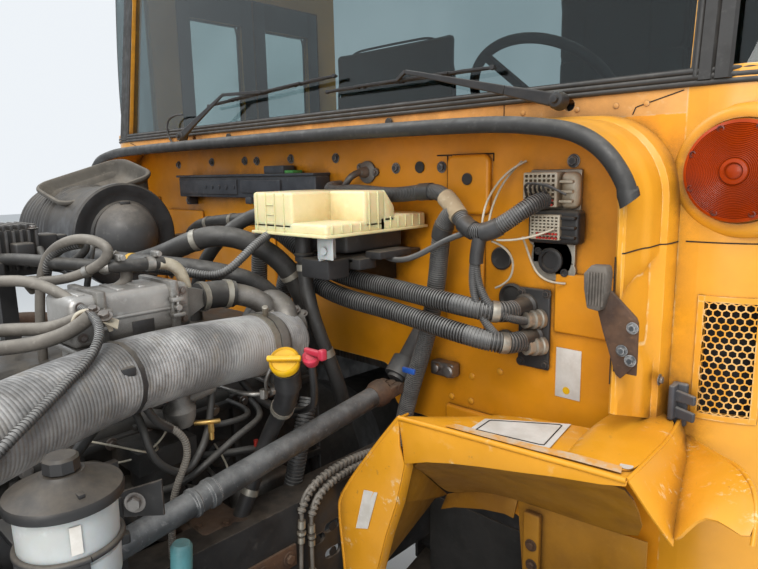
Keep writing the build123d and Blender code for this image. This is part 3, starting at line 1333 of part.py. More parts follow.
# Wipers: an arm and blade on a spindle, parked along the glass's lower edge
def wiper(pivot, elbow, blade_start, blade_end):
    """Points are (x, z); the arm stands 34 mm off the glass and the blade 14 mm."""
    foot = glass_point(*pivot, -13)
    head = glass_point(*pivot, 52)
    spindle = rod(tuple(foot), tuple(head), SPINDLE_SIZE)
    boss = rod(tuple(glass_point(*pivot, 26)), tuple(head), 16)
    lower = rod(tuple(glass_point(*pivot, 40)), tuple(glass_point(*elbow, 40)), 8)
    middle = ((blade_start[0] + blade_end[0]) / 2, (blade_start[1] + blade_end[1]) / 2)
    upper = rod(tuple(glass_point(*elbow, 40)), tuple(glass_point(*middle, 24)), 6)
    knee = rod(tuple(glass_point(*elbow, 49)), tuple(glass_point(*elbow, 31)), 10)
    blade = rod(tuple(glass_point(*blade_start, 20)), tuple(glass_point(*blade_end, 20)), 7)
    return one_piece(spindle, boss, lower, knee, upper, blade)


WIPER_LEFT = (WIPER_PIVOTS[0], (405.0, 985.0), (618.0, 975.0), (116.0, 975.0))
WIPER_RIGHT = (WIPER_PIVOTS[1], (-312.0, 1002.0), (-437.0, 985.0), (148.0, 1012.0))
node("wiper_left", wiper(*WIPER_LEFT))
node("wiper_right", wiper(*WIPER_RIGHT))

os.makedirs("parts", exist_ok=True)
for name, solid in NODES.items():
    export_step(solid, "parts/" + name + ".step")
    print(name, len(solid.solids()))
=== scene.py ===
from math import cos, pi, radians, sin

import bpy
from mathutils import Matrix, Vector


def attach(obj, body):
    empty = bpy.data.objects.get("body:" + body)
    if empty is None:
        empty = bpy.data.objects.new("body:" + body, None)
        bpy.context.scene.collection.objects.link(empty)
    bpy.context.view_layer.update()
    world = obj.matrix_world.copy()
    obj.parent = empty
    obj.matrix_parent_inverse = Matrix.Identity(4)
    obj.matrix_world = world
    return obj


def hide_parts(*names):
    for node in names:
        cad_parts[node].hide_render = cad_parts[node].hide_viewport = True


bl_info = {
    "name": "School Bus Engine Bay",
    "version": (1, 0, 0),
    "blender": (4, 5, 0),
    "location": "3D View > Sidebar > Engine Bay",
    "description": "Dresses the front section of a school bus with its open engine bay",
    "category": "Add Mesh",
}

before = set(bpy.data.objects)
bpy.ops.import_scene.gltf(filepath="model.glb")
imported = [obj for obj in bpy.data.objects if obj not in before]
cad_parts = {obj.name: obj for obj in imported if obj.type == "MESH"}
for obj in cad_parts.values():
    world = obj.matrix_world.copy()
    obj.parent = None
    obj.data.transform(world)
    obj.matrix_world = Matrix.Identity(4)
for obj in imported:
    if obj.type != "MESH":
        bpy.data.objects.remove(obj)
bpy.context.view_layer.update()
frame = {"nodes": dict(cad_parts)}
nodes = frame["nodes"]
FIREWALL_Y = -1.25
AXLE_Y, AXLE_Z, HUB_FACE_X = -1.795, -0.320, 1.055
TYRE_MIDDLE_X, TREAD_RADIUS = 0.982, 0.4865
GLASS_LOW_Z, GLASS_RAKE, GLASS_FACING = 0.907, 0.1228, (0, -0.9925, 0.1219)
DOOR_LEAVES = (("door_front", -0.899, -0.516), ("door_rear", -0.504, -0.121))   # body, front and rear edge
FRONT = (0, -1, 0)
UP, DOWN, LEFT, RIGHT = (0, 0, 1), (0, 0, -1), (1, 0, 0), (-1, 0, 0)


# ---------------------------------------------------------------- settings

class BayPaint(bpy.types.PropertyGroup):
    """Colours of the large painted and rubber surfaces."""
    body: bpy.props.FloatVectorProperty(
        name="Body paint", description="School bus yellow on the panels",
        default=(0.80, 0.355, 0.018), size=3, min=0, max=1, subtype="COLOR")
    faded: bpy.props.FloatVectorProperty(
        name="Faded paint", description="Sun-bleached yellow on the cowl strip",
        default=(0.72, 0.36, 0.10), size=3, min=0, max=1, subtype="COLOR")
    frame: bpy.props.FloatVectorProperty(
        name="Frame paint", description="Chassis black on rails, axle and bumper",
        default=(0.022, 0.022, 0.023), size=3, min=0, max=1, subtype="COLOR")
    rubber: bpy.props.FloatVectorProperty(
        name="Rubber", description="Hoses, seals and pads",
        default=(0.030, 0.029, 0.028), size=3, min=0, max=1, subtype="COLOR")
    lens: bpy.props.FloatVectorProperty(
        name="Lamp lens", description="Red-orange lens of the corner lamps",
        default=(0.36, 0.036, 0.0), size=3, min=0, max=1, subtype="COLOR")


class BaySizes(bpy.types.PropertyGroup):
    """Sizes of the repeated parts in the bay."""
    bolt: bpy.props.FloatProperty(
        name="Bolt radius", description="Across-corner radius of a hexagon head",
        default=0.0085, min=0.004, max=0.02, unit="LENGTH")
    rib_pitch: bpy.props.FloatProperty(
        name="Conduit rib pitch", description="Distance between two ribs of a corrugated conduit",
        default=0.0048, min=0.003, max=0.02, unit="LENGTH")
    lug_count: bpy.props.IntProperty(
        name="Wheel nuts", description="Nuts round each wheel's hub", default=10, min=5, max=12)


# ---------------------------------------------------------------- modelling helpers

def clear():
    """Leave object mode's selection empty before the next tool acts."""
    if bpy.context.object and bpy.context.object.mode != "OBJECT":
        bpy.ops.object.mode_set(mode="OBJECT")
    bpy.ops.object.select_all(action="DESELECT")


def pick(piece):
    """Select one object and make it active."""
    clear()
    piece.select_set(True)
    bpy.context.view_layer.objects.active = piece
    return piece


def called(name):
    """Name the object just added, and its data."""
    piece = bpy.context.object
    piece.name = piece.data.name = name
    return piece


def bake(piece):
    """Put the piece's place, turn and size into its mesh."""
    pick(piece)
    bpy.ops.object.transform_apply(location=True, rotation=True, scale=True)


def settle(piece, angle=35):
    """Put the piece's place into its mesh and smooth its soft edges."""
    bake(piece)
    bpy.ops.object.shade_smooth_by_angle(angle=radians(angle))
    return piece


def facing(direction):
    """Euler turn that points local Z along a direction."""
    return Vector(direction).to_track_quat("Z", "Y").to_euler()


def edit(piece, kind="VERT"):
    """Open the piece in edit mode with everything selected."""
    pick(piece)
    bpy.ops.object.mode_set(mode="EDIT")
    bpy.ops.mesh.select_mode(type=kind)
    bpy.ops.mesh.select_all(action="SELECT")
    return piece


def faces_where(piece, test):
    """Open the piece in edit mode with only the faces that pass the test selected."""
    pick(piece)
    bpy.ops.object.mode_set(mode="EDIT")
    bpy.ops.mesh.select_mode(type="FACE")
    bpy.ops.mesh.select_all(action="DESELECT")
    bpy.ops.object.mode_set(mode="OBJECT")
    for face in piece.data.polygons:
        face.select = test(face)
    bpy.ops.object.mode_set(mode="EDIT")


def done():
    bpy.ops.object.mode_set(mode="OBJECT")


def face_out():
    """Turn every face of the open piece outward and leave edit mode."""
    bpy.ops.mesh.select_all(action="SELECT")
    bpy.ops.mesh.normals_make_consistent(inside=False)
    done()


def use(piece, kind, **settings):
    """Add one modifier, set it and apply it."""
    pick(piece)
    modifier = piece.modifiers.new(kind.title(), kind)
    for key, value in settings.items():
        setattr(modifier, key, value)
    bpy.ops.object.modifier_apply(modifier=modifier.name)
    return piece


def box(name, low, high, round_off=0.003, segments=2):
    """A cuboid between two corners with rounded edges."""
    clear()
    middle = [(a + b) / 2 for a, b in zip(low, high)]
    bpy.ops.mesh.primitive_cube_add(size=1, location=middle)
    piece = called(name)
    piece.scale = [b - a for a, b in zip(low, high)]
    bake(piece)
    if round_off:
        use(piece, "BEVEL", width=round_off, segments=segments)
    return settle(piece)


def disc(name, at, direction, radius, height, sides=32, edge=0.001):
    """A round or hexagonal slug standing on a point, along a direction, with a bevelled rim."""
    clear()
    direction = Vector(direction).normalized()
    bpy.ops.mesh.primitive_cylinder_add(
        vertices=sides, radius=radius, depth=height,
        location=Vector(at) + direction * height / 2, rotation=facing(direction))
    piece = called(name)
    settle(piece)
    if edge:
        use(piece, "BEVEL", width=edge, segments=2, limit_method="ANGLE", angle_limit=radians(50))
    return settle(piece)


def turned(name, profile, at, direction, sides=48):
    """A lathe shape: (distance along the axis, radius) pairs spun round a line."""
    clear()
    bpy.ops.mesh.primitive_circle_add(vertices=sides, radius=profile[0][1] or 1e-4, fill_type="NOTHING")
    piece = called(name)
    edit(piece)
    bpy.ops.transform.translate(value=(0, 0, profile[0][0]))
    last = profile[0]
    for along, radius in profile[1:]:
        bpy.ops.mesh.extrude_region_move(TRANSFORM_OT_translate={"value": (0, 0, along - last[0])})
        ratio = max(radius, 1e-4) / max(last[1], 1e-4)
        bpy.ops.transform.resize(value=(ratio, ratio, 1), center_override=(0, 0, along))
        last = (along, radius)
    bpy.ops.mesh.select_all(action="SELECT")
    bpy.ops.mesh.remove_doubles(threshold=0.0003)
    face_out()
    piece.location, piece.rotation_euler = at, facing(direction)
    return settle(piece)


def route(name, points, radius=0.0, order=4):
    """A smooth line through space, round if it has a radius."""
    line = bpy.data.curves.new(name, "CURVE")
    line.dimensions = "3D"
    spline = line.splines.new("NURBS")
    spline.points.add(len(points) - 1)
    for point, place in zip(spline.points, points):
        point.co = (*place, 1)
    spline.order_u = min(order, len(points))
    spline.use_endpoint_u = True
    spline.resolution_u = 12
    line.bevel_depth = radius
    line.bevel_resolution = 5
    line.use_fill_caps = radius > 0
    piece = bpy.data.objects.new(name, line)
    bpy.context.scene.collection.objects.link(piece)
    return piece


def smooth_hose(name, points, radius, order=4):
    """A plain round hose, tube or cable along a line."""
    piece = pick(route(name, points, radius, order))
    bpy.ops.object.convert(target="MESH")
    piece = bpy.context.object
    edit(bpy.context.object)
    bpy.ops.mesh.remove_doubles(threshold=0.00005)
    face_out()
    return settle(piece, 50)


def ribbed_hose(name, points, radius, pitch, depth, sides=22, crest=0.5, order=4):
    """A corrugated hose: one rib is modelled, repeated and bent along a line."""
    line = route(name + "_line", points, 0.0, order)
    clear()
    bpy.ops.mesh.primitive_circle_add(vertices=sides, radius=radius - depth, rotation=(0, pi / 2, 0))
    piece = called(name)
    bake(piece)
    edit(bpy.context.object)
    flank = (1 - crest) * pitch / 4
    steps = [(flank, radius), (crest * pitch, radius), (flank, radius - depth),
             (pitch - 2 * flank - crest * pitch, radius - depth)]
    before = radius - depth
    x = 0.0
    for step, after in steps:
        x += step
        bpy.ops.mesh.extrude_region_move(TRANSFORM_OT_translate={"value": (step, 0, 0)})
        bpy.ops.transform.resize(value=(1, after / before, after / before), center_override=(x, 0, 0))
        before = after
    face_out()
    use(piece, "ARRAY", fit_type="FIT_CURVE", curve=line, use_merge_vertices=True, merge_threshold=0.0001)
    use(piece, "CURVE", object=line, deform_axis="POS_X")
    pick(piece)
    bpy.ops.object.mode_set(mode="EDIT")
    bpy.ops.mesh.select_mode(type="EDGE")
    bpy.ops.mesh.select_all(action="DESELECT")
    bpy.ops.mesh.select_non_manifold()
    bpy.ops.mesh.edge_face_add()
    face_out()
    bpy.data.objects.remove(line)
    return settle(piece, 60)


def copies(source, spots):
    """The source copied to each (place, direction, size), every copy with its own mesh."""
    made = []
    for at, direction, size in spots:
        pick(source)
        bpy.ops.object.duplicate()
        piece = bpy.context.object
        piece.location, piece.rotation_euler, piece.scale = at, facing(direction), (size, size, size)
        made.append(piece)
    bpy.data.objects.remove(source)
    return made


def joined(name, pieces, body="chassis"):
    """Join pieces, put their place into the mesh and let them ride on a body."""
    clear()
    for piece in pieces:
        piece.select_set(True)
    bpy.context.view_layer.objects.active = pieces[0]
    if len(pieces) > 1:
        bpy.ops.object.join()
    piece = bpy.context.object
    piece.name = piece.data.name = name
    bake(piece)
    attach(piece, body)
    return piece


# The slot listed for the pieces of each finish, unless a call names another
USUAL_SLOTS = {
    "bare_aluminium": "aluminium bright_casting casting sleeve teal",
    "black_plastic": "blue conduit dusty_blue dusty_plastic green lid plastic tape",
    "black_rubber": "funnel grey_rubber loop_hose rubber tyre",
    "bus_yellow": "arch bay_paint landing paint shadow splash",
    "cab_grey": "lining",
    "engine_paint": "iron",
    "frame_black": "black",
    "lamp_amber": "amber lens lens_dark pink_cap red",
    "seat_vinyl": "vinyl",
    "shaft_steel": "brass rust shaft steel tinned zinc",
    "tank_plastic": "cream white",
    "white_plastic": "cloth_tape ivory label worn_strip",
    "wiper_steel": "wiper",
    "yellow_plastic": "yellow_cap",
}
SLOTS = {finish: slot for slot, finishes in USUAL_SLOTS.items() for finish in finishes.split()}


def mm(*points):
    """Points given in millimetres, in metres."""
    return [tuple(c / 1000 for c in point) for point in points]


def keep(piece, finish, slot="", body="chassis", replaces=()):
    """Give a finished piece its material and body, and hide the nodes it stands for."""
    piece.data.materials.clear()
    piece.data.materials.append(M[finish])
    slot = slot or SLOTS[finish]
    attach(piece, body)
    if replaces:
        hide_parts(*replaces)
    return piece


def between(first, second, lift=(0, 0, 0), share=0.5):
    """The line of points between two lines, moved by a lift."""
    return [tuple(Vector(a).lerp(Vector(b), share) + Vector(lift)) for a, b in zip(first, second)]


def make(name, pieces, finish, slot="", body="chassis", replaces=()):
    """Join pieces into one finished object on a body."""
    return keep(joined(name, pieces, body), finish, slot, body, replaces)


def pair(left_name, right_name, pieces, finish, slot="", replaces=()):
    """Join pieces into a finished object on the left side, and mirror it to the right."""
    left = make(left_name, pieces, finish, slot, replaces=replaces)
    keep(twin(left, right_name), finish, slot)


def stretch(points, start, end, order=4):
    """The part of a line between two shares of its length, as points."""
    line = route("measure", points, 0.0, order)
    sample = bpy.data.meshes.new_from_object(line.evaluated_get(bpy.context.evaluated_depsgraph_get()))
    places = [vertex.co.copy() for vertex in sample.vertices]
    bpy.data.objects.remove(line)
    bpy.data.meshes.remove(sample)
    lengths = [0.0]
    for before, after in zip(places, places[1:]):
        lengths.append(lengths[-1] + (after - before).length)
    picked = []
    for step in range(9):
        target = lengths[-1] * (start + (end - start) * step / 8)
        index = max(i for i, run in enumerate(lengths[:-1]) if run <= target + 1e-9)
        run = lengths[index + 1] - lengths[index]
        picked.append(places[index].lerp(places[index + 1], (target - lengths[index]) / run))
    return picked


def band(name, points, at, width, radius, order=4):
    """A short sleeve, clamp or tape band round a line at a share of its length."""
    half = width / 2
    whole = stretch(points, 0, 1, order)
    share = half / sum((b - a).length for a, b in zip(whole, whole[1:]))
    return smooth_hose(name, stretch(points, max(0, at - share), min(1, at + share), order), radius, 3)


def twin(piece, name):
    """The piece mirrored to the bus's other side, with its own mesh."""
    pick(piece)
    bpy.ops.object.duplicate()
    other = bpy.context.object
    other.scale.x = -1
    bpy.ops.object.transform_apply(location=True, rotation=True, scale=True)
    edit(bpy.context.object)
    bpy.ops.mesh.flip_normals()
    done()
    other.name = other.data.name = name
    return other


def skin(name, rows, thickness, round_off=0.0, levels=0):
    """A pressed sheet: a grid laid over rows of points, then given its thickness."""
    clear()
    across, along = len(rows[0]), len(rows)
    bpy.ops.mesh.primitive_grid_add(x_subdivisions=across - 1, y_subdivisions=along - 1, size=1)
    piece = called(name)
    order = sorted(piece.data.vertices, key=lambda vertex: (round(vertex.co.y, 4), round(vertex.co.x, 4)))
    places = [place for row in rows for place in row]
    for vertex, place in zip(order, places):
        vertex.co = place
    if levels:
        use(piece, "SUBSURF", levels=levels, render_levels=levels)
    use(piece, "SOLIDIFY", thickness=thickness, offset=0)
    edit(piece)
    face_out()
    if round_off:
        use(piece, "BEVEL", width=round_off, segments=2, limit_method="ANGLE", angle_limit=radians(50))
    return settle(piece, 40)


def hex_bolts(name, spots, body="chassis", finish="steel", size=None):
    """Hexagon bolts with washers: (place, direction, scale) for each."""
    r = size or bpy.context.scene.bay_sizes.bolt
    washer = disc("washer", (0, 0, 0), UP, r * 1.5, r * 0.22, 20, r * 0.06)
    head = disc("head", (0, 0, r * 0.2), UP, r, r * 0.75, 6, r * 0.12)
    source = joined("bolt", [head, washer])
    piece = joined(name, copies(source, spots), body)
    return keep(piece, finish, "shaft_steel", body)


def round_rivets(name, spots, radius=0.006, finish="faded", slot="bus_yellow", body="chassis"):
    """Low domed rivets."""
    source = turned("rivet",
                    [(0, radius), (radius * 0.25, radius * 0.92), (radius * 0.45, radius * 0.55),
                     (radius * 0.5, 0)], (0, 0, 0), UP, 16)
    piece = joined(name, copies(source, spots), body)
    return keep(piece, finish, slot, body)


def bar(name, start, end, wide, tall, taper=1.0, round_off=0.0012):
    """A bar between two points that narrows towards its end."""
    start, end = Vector(start), Vector(end)
    length = (end - start).length
    piece = box(name, (-wide / 2, -tall / 2, 0), (wide / 2, tall / 2, length), 0)
    for vertex in piece.data.vertices:
        if vertex.co.z > length / 2:
            vertex.co.x *= taper
            vertex.co.y *= taper
    use(piece, "BEVEL", width=round_off, segments=2)
    piece.rotation_euler = (end - start).to_track_quat("Z", "Y").to_euler()
    piece.location = start
    return settle(piece)


def on_glass(x, z, off):
    """A point in front of the windshield's plane."""
    return (x, FIREWALL_Y + (z - GLASS_LOW_Z) * GLASS_RAKE + off * GLASS_FACING[1], z + off * GLASS_FACING[2])


# ---------------------------------------------------------------- materials

class Finish:
    """A procedural material built from object-space noise, on one shader."""

    def __init__(self, name, metallic=0.0, **sockets):
        self.material = bpy.data.materials.new(name)
        self.material.use_nodes = True
        self.tree = self.material.node_tree
        self.shader = self.tree.nodes["Principled BSDF"]
        self.shader.inputs["Metallic"].default_value = metallic
        for socket, value in sockets.items():
            self.shader.inputs[socket.replace("_", " ")].default_value = value
        self.place = self.tree.nodes.new("ShaderNodeTexCoord").outputs["Object"]

    def node(self, kind, **settings):
        made = self.tree.nodes.new("ShaderNode" + kind)
        for key, value in settings.items():
            setattr(made, key, value)
        return made

    def join(self, out, to):
        self.tree.links.new(out, to)

    def noise(self, scale, detail=4, rough=0.55, stretch=None):
        """Cloudy noise over the object, from 0 to 1."""
        made = self.node("TexNoise")
        made.inputs["Scale"].default_value = scale
        made.inputs["Detail"].default_value = detail
        made.inputs["Roughness"].default_value = rough
        source = self.place
        if stretch:
            mapping = self.node("Mapping")
            mapping.inputs["Scale"].default_value = stretch
            self.join(source, mapping.inputs["Vector"])
            source = mapping.outputs["Vector"]
        self.join(source, made.inputs["Vector"])
        return made.outputs["Fac"]

    def ramp(self, fac, low, high, dark=0.0, light=1.0):
        """Map the part of fac between low and high to a range."""
        made = self.node("MapRange", interpolation_type="SMOOTHSTEP")
        self.join(fac, made.inputs["Value"])
        for key, value in (("From Min", low), ("From Max", high), ("To Min", dark), ("To Max", light)):
            made.inputs[key].default_value = value
        return made.outputs["Result"]

    def math(self, operation, first, second):
        made = self.node("Math", operation=operation)
        for index, value in enumerate((first, second)):
            if hasattr(value, "is_linked"):
                self.join(value, made.inputs[index])
            else:
                made.inputs[index].default_value = value
        return made.outputs[0]

    def mix(self, fac, first, second, blend="MIX"):
        """Mix two colours, or sockets, by a factor."""
        made = self.node("Mix", data_type="RGBA", blend_type=blend)
        self.join(fac, made.inputs["Factor"]) if hasattr(fac, "is_linked") else setattr(
            made.inputs["Factor"], "default_value", fac)
        for key, value in (("A", first), ("B", second)):
            socket = [s for s in made.inputs if s.name == key and s.type == "RGBA"][0]
            if hasattr(value, "is_linked"):
                self.join(value, socket)
            else:
                socket.default_value = (*value[:3], 1)
        return [s for s in made.outputs if s.type == "RGBA"][0]

    def colour(self, socket):
        self.join(socket, self.shader.inputs["Base Color"])
        return self

    def rough(self, fac, low, high):
        self.join(self.ramp(fac, 0.3, 0.7, low, high), self.shader.inputs["Roughness"])
        return self

    def bump(self, height, strength, distance=0.001):
        made = self.node("Bump")
        made.inputs["Strength"].default_value = strength
        made.inputs["Distance"].default_value = distance
        self.join(height, made.inputs["Height"])
        previous = self.shader.inputs["Normal"]
        if previous.is_linked:
            self.join(previous.links[0].from_socket, made.inputs["Normal"])
        self.join(made.outputs["Normal"], previous)
        return self

    def occlusion_shade(self, distance=0.05):
        """1 in open places, lower in corners and under other parts, where shade falls and grime gathers: the mask
        for painted shade and grime.
        """
        made = self.node("AmbientOcclusion", samples=4)
        made.inputs["Distance"].default_value = distance
        return made.outputs["AO"]

    def worn(self):
        """1 on sharp outer edges."""
        rounded = self.node("Bevel", samples=4)
        rounded.inputs["Radius"].default_value = 0.0035
        cosine = self.node("VectorMath", operation="DOT_PRODUCT")
        self.join(rounded.outputs["Normal"], cosine.inputs[0])
        self.join(self.node("NewGeometry").outputs["Normal"], cosine.inputs[1])
        return self.ramp(cosine.outputs["Value"], 0.90, 0.985, 1.0, 0.0)


def weathered(name, base, dark, pale, metallic=0.0, rough=(0.4, 0.7), scale=6.0, grain=260.0, bump=0.15,
              grime_and_shade=(0.045, 0.035, 0.025), grime_and_shade_amount=0.6, dust=(0.30, 0.25, 0.19), dust_amount=0.15, wear=None,
              speckle=0.6, **sockets):
    """One weathered surface: two tones, grime and painted shade in the corners and under other parts, dust on top
    faces and fine grain.
    """
    f = Finish(name, metallic, **sockets)
    clouds = f.noise(scale, 6, 0.6)
    fine = f.noise(grain, 3, 0.6)
    tone = f.mix(f.ramp(clouds, 0.35, 0.65), dark, base)
    tone = f.mix(f.ramp(f.noise(scale * 5, 5, 0.65), 0.55, 0.8, 0, speckle), tone, pale)
    if wear:
        tone = f.mix(f.math("MULTIPLY", f.worn(), f.ramp(f.noise(40, 4), 0.4, 0.6)), tone, wear)
    if grime_and_shade_amount:
        # Painted shade and grime: the colour is darkened in corners and under other parts, mottled with noise.
        shade_mask = f.math("SUBTRACT", 1.0, f.occlusion_shade())
        mottled_shade = f.math("MULTIPLY", shade_mask, f.ramp(f.noise(18, 5, 0.7), 0.25, 0.6, 0.5, 1.3))
        tone = f.mix(f.ramp(mottled_shade, 0.12, 0.75, 0, grime_and_shade_amount), tone, grime_and_shade)
    if dust_amount:
        up = f.node("SeparateXYZ")
        f.join(f.node("NewGeometry").outputs["Normal"], up.inputs[0])
        settled = f.math(
            "MULTIPLY", f.ramp(up.outputs["Z"], 0.1, 0.9), f.ramp(f.noise(30, 5, 0.7), 0.3, 0.7, 0.4, 1.0))
        tone = f.mix(f.math("MULTIPLY", settled, dust_amount), tone, dust)
    f.colour(tone).rough(f.noise(scale * 3, 4), *rough)
    f.bump(fine, bump, 0.0006)
    return f


M = {}


def make_finishes(paint):
    """Every material of the bus, in one dictionary."""
    body, faded, black, rubber = paint.body, paint.faded, paint.frame, paint.rubber
    darker = [c * 0.80 for c in body]
    paler = [min(1, c * 1.08 + 0.03) for c in body]
    M["paint"] = weathered(
        "bus_yellow_paint", body, darker, paler, rough=(0.30, 0.48), scale=3.5, grain=420, bump=0.04,
        grime_and_shade=(0.10, 0.035, 0.008), grime_and_shade_amount=0.75, dust=(0.62, 0.40, 0.18), dust_amount=0.2,
        wear=(0.80, 0.55, 0.25), speckle=0.25, Coat_Weight=0.25, Coat_Roughness=0.25).material
    # The bay's yellow is the body yellow made deeper and more saturated. It stands in for shade and orange bounce
    # light inside the bay: painted shade.
    deep = (body[0] * 0.98, body[1] * 0.86, body[2] * 0.45)
    M["bay_paint"] = weathered(
        "bus_yellow_bay_shaded", deep, [c * 0.84 for c in deep], body, rough=(0.34, 0.58), scale=5, grain=380, bump=0.06,
        grime_and_shade=(0.075, 0.028, 0.006), grime_and_shade_amount=0.85, dust=(0.42, 0.24, 0.09), dust_amount=0.2,
        wear=(0.70, 0.46, 0.20), speckle=0.2).material
    M["faded"] = weathered(
        "faded_cowl_paint", faded, [c * 0.75 for c in faded], (0.72, 0.50, 0.27), rough=(0.6, 0.85), scale=7,
        grain=320, bump=0.12, grime_and_shade=(0.10, 0.045, 0.018), grime_and_shade_amount=0.7, dust_amount=0.25,
        wear=(0.60, 0.42, 0.25)).material
    M["black"] = weathered(
        "chassis_black", black, [c * 0.6 for c in black], (0.07, 0.065, 0.06), rough=(0.45, 0.75), scale=8,
        bump=0.2, grime_and_shade=(0.035, 0.026, 0.018), grime_and_shade_amount=0.5, dust=(0.16, 0.13, 0.10), dust_amount=0.5,
        wear=(0.12, 0.10, 0.09)).material
    M["rubber"] = weathered(
        "dusty_rubber", rubber, [c * 0.7 for c in rubber], (0.085, 0.083, 0.080), rough=(0.42, 0.7), scale=12,
        grain=500, bump=0.12, grime_and_shade_amount=0.3, dust=(0.23, 0.22, 0.20), dust_amount=0.5).material
    M["conduit"] = weathered(
        "conduit_plastic", (0.085, 0.085, 0.085), (0.055, 0.055, 0.055), (0.20, 0.198, 0.19), rough=(0.36, 0.55),
        scale=14, bump=0.08, grime_and_shade=(0.02, 0.018, 0.016), grime_and_shade_amount=0.95, dust=(0.36, 0.355, 0.34),
        dust_amount=0.65).material
    M["lining"] = weathered(
        "cab_lining", (0.035, 0.045, 0.047), (0.025, 0.033, 0.035), (0.060, 0.070, 0.072), rough=(0.5, 0.7),
        scale=5, grain=300, bump=0.15, grime_and_shade_amount=0.2, dust_amount=0.15).material
    M["amber"] = weathered(
        "amber_lens", (0.75, 0.22, 0.006), (0.58, 0.16, 0.005), (0.82, 0.30, 0.02), rough=(0.2, 0.35), scale=20,
        bump=0.04, grime_and_shade_amount=0.3, dust_amount=0.1).material
    M["lid"] = weathered(
        "reservoir_lid_black", (0.018, 0.018, 0.019), (0.012, 0.012, 0.013), (0.045, 0.043, 0.040),
        rough=(0.4, 0.6), scale=8, grain=500, bump=0.1, grime_and_shade_amount=0.2, dust=(0.30, 0.24, 0.17),
        dust_amount=0.22).material
    M["teal"] = weathered(
        "teal_canister", (0.10, 0.30, 0.33), (0.07, 0.20, 0.22), (0.22, 0.42, 0.44), rough=(0.35, 0.5), scale=16,
        bump=0.05, grime_and_shade_amount=0.6, dust_amount=0.25).material
    M["loop_hose"] = weathered(
        "grey_brown_hose", (0.17, 0.155, 0.135), (0.10, 0.09, 0.078), (0.30, 0.28, 0.25), rough=(0.5, 0.75),
        scale=14, grain=420, bump=0.15, grime_and_shade_amount=0.5, dust=(0.40, 0.37, 0.32), dust_amount=0.5).material
    M["tinned"] = weathered(
        "bright_line", (0.42, 0.41, 0.39), (0.26, 0.25, 0.23), (0.60, 0.59, 0.57), metallic=0.7, rough=(0.3, 0.5),
        scale=30, bump=0.08, grime_and_shade_amount=0.6, dust_amount=0.2).material
    M["plastic"] = weathered("black_moulding", (0.028, 0.028, 0.03), (0.018, 0.018, 0.019), (0.06, 0.058, 0.055),
                             rough=(0.4, 0.65), scale=10, grain=600, bump=0.15, grime_and_shade_amount=0.3,
                             dust=(0.22, 0.19, 0.15), dust_amount=0.5).material
    M["iron"] = weathered(
        "engine_iron", (0.034, 0.033, 0.032), (0.014, 0.014, 0.014), (0.085, 0.082, 0.078), metallic=0.2,
        rough=(0.5, 0.75), scale=9, grain=180, bump=0.45, grime_and_shade_amount=0.7, dust=(0.13, 0.12, 0.105),
        dust_amount=0.35).material
    M["casting"] = weathered(
        "grey_casting", (0.27, 0.26, 0.245), (0.15, 0.145, 0.135), (0.42, 0.41, 0.39), metallic=0.5,
        rough=(0.42, 0.65), scale=11, grain=200, bump=0.4, grime_and_shade_amount=0.75, dust_amount=0.3).material
    M["bright_casting"] = weathered(
        "bright_casting", (0.46, 0.45, 0.43), (0.30, 0.29, 0.275), (0.64, 0.63, 0.61), metallic=0.55,
        rough=(0.34, 0.55), scale=9, grain=260, bump=0.3, grime_and_shade=(0.06, 0.05, 0.04), grime_and_shade_amount=0.8,
        dust=(0.52, 0.50, 0.47), dust_amount=0.35).material
    M["aluminium"] = weathered(
        "bare_aluminium", (0.50, 0.49, 0.47), (0.33, 0.32, 0.30), (0.66, 0.65, 0.62), metallic=0.75,
        rough=(0.32, 0.55), scale=8, grain=240, bump=0.25, grime_and_shade_amount=0.7, dust=(0.40, 0.35, 0.28),
        dust_amount=0.3).material
    M["steel"] = weathered(
        "dull_steel", (0.30, 0.29, 0.28), (0.17, 0.15, 0.135), (0.46, 0.45, 0.43), metallic=0.8,
        rough=(0.35, 0.6), scale=14, bump=0.15, grime_and_shade=(0.12, 0.055, 0.025), grime_and_shade_amount=0.5,
        dust_amount=0.2).material
    M["rust"] = weathered(
        "rusty_steel", (0.115, 0.062, 0.036), (0.060, 0.034, 0.024), (0.21, 0.115, 0.062), metallic=0.2,
        rough=(0.7, 0.92), scale=26, grain=150, bump=0.5, grime_and_shade_amount=0.4, dust_amount=0.2).material
    M["shaft"] = weathered(
        "shaft_grey", (0.080, 0.086, 0.092), (0.040, 0.044, 0.048), (0.26, 0.27, 0.275), metallic=0.2,
        rough=(0.4, 0.65), scale=22, grain=160, bump=0.35, grime_and_shade_amount=0.35, dust=(0.36, 0.365, 0.36),
        dust_amount=0.6, wear=(0.5, 0.5, 0.5), speckle=0.7).material
    M["cream"] = weathered(
        "cream_plastic", (0.84, 0.72, 0.42), (0.74, 0.60, 0.32), (0.90, 0.82, 0.56), rough=(0.32, 0.5), scale=6,
        grain=300, bump=0.05, grime_and_shade=(0.36, 0.24, 0.10), grime_and_shade_amount=0.5, dust=(0.86, 0.78, 0.56),
        dust_amount=0.4, Subsurface_Weight=0.3, Subsurface_Scale=0.02).material
    M["white"] = weathered(
        "reservoir_plastic", (0.56, 0.60, 0.62), (0.46, 0.48, 0.47), (0.68, 0.71, 0.72), rough=(0.28, 0.45),
        scale=7, bump=0.05, grime_and_shade_amount=0.5, dust_amount=0.3, Subsurface_Weight=0.2,
        Subsurface_Scale=0.01).material
    M["label"] = weathered(
        "blank_label", (0.72, 0.70, 0.66), (0.60, 0.57, 0.52), (0.82, 0.80, 0.77), rough=(0.45, 0.65), scale=20,
        bump=0.05, grime_and_shade=(0.45, 0.25, 0.08), grime_and_shade_amount=0.4, dust_amount=0.1).material
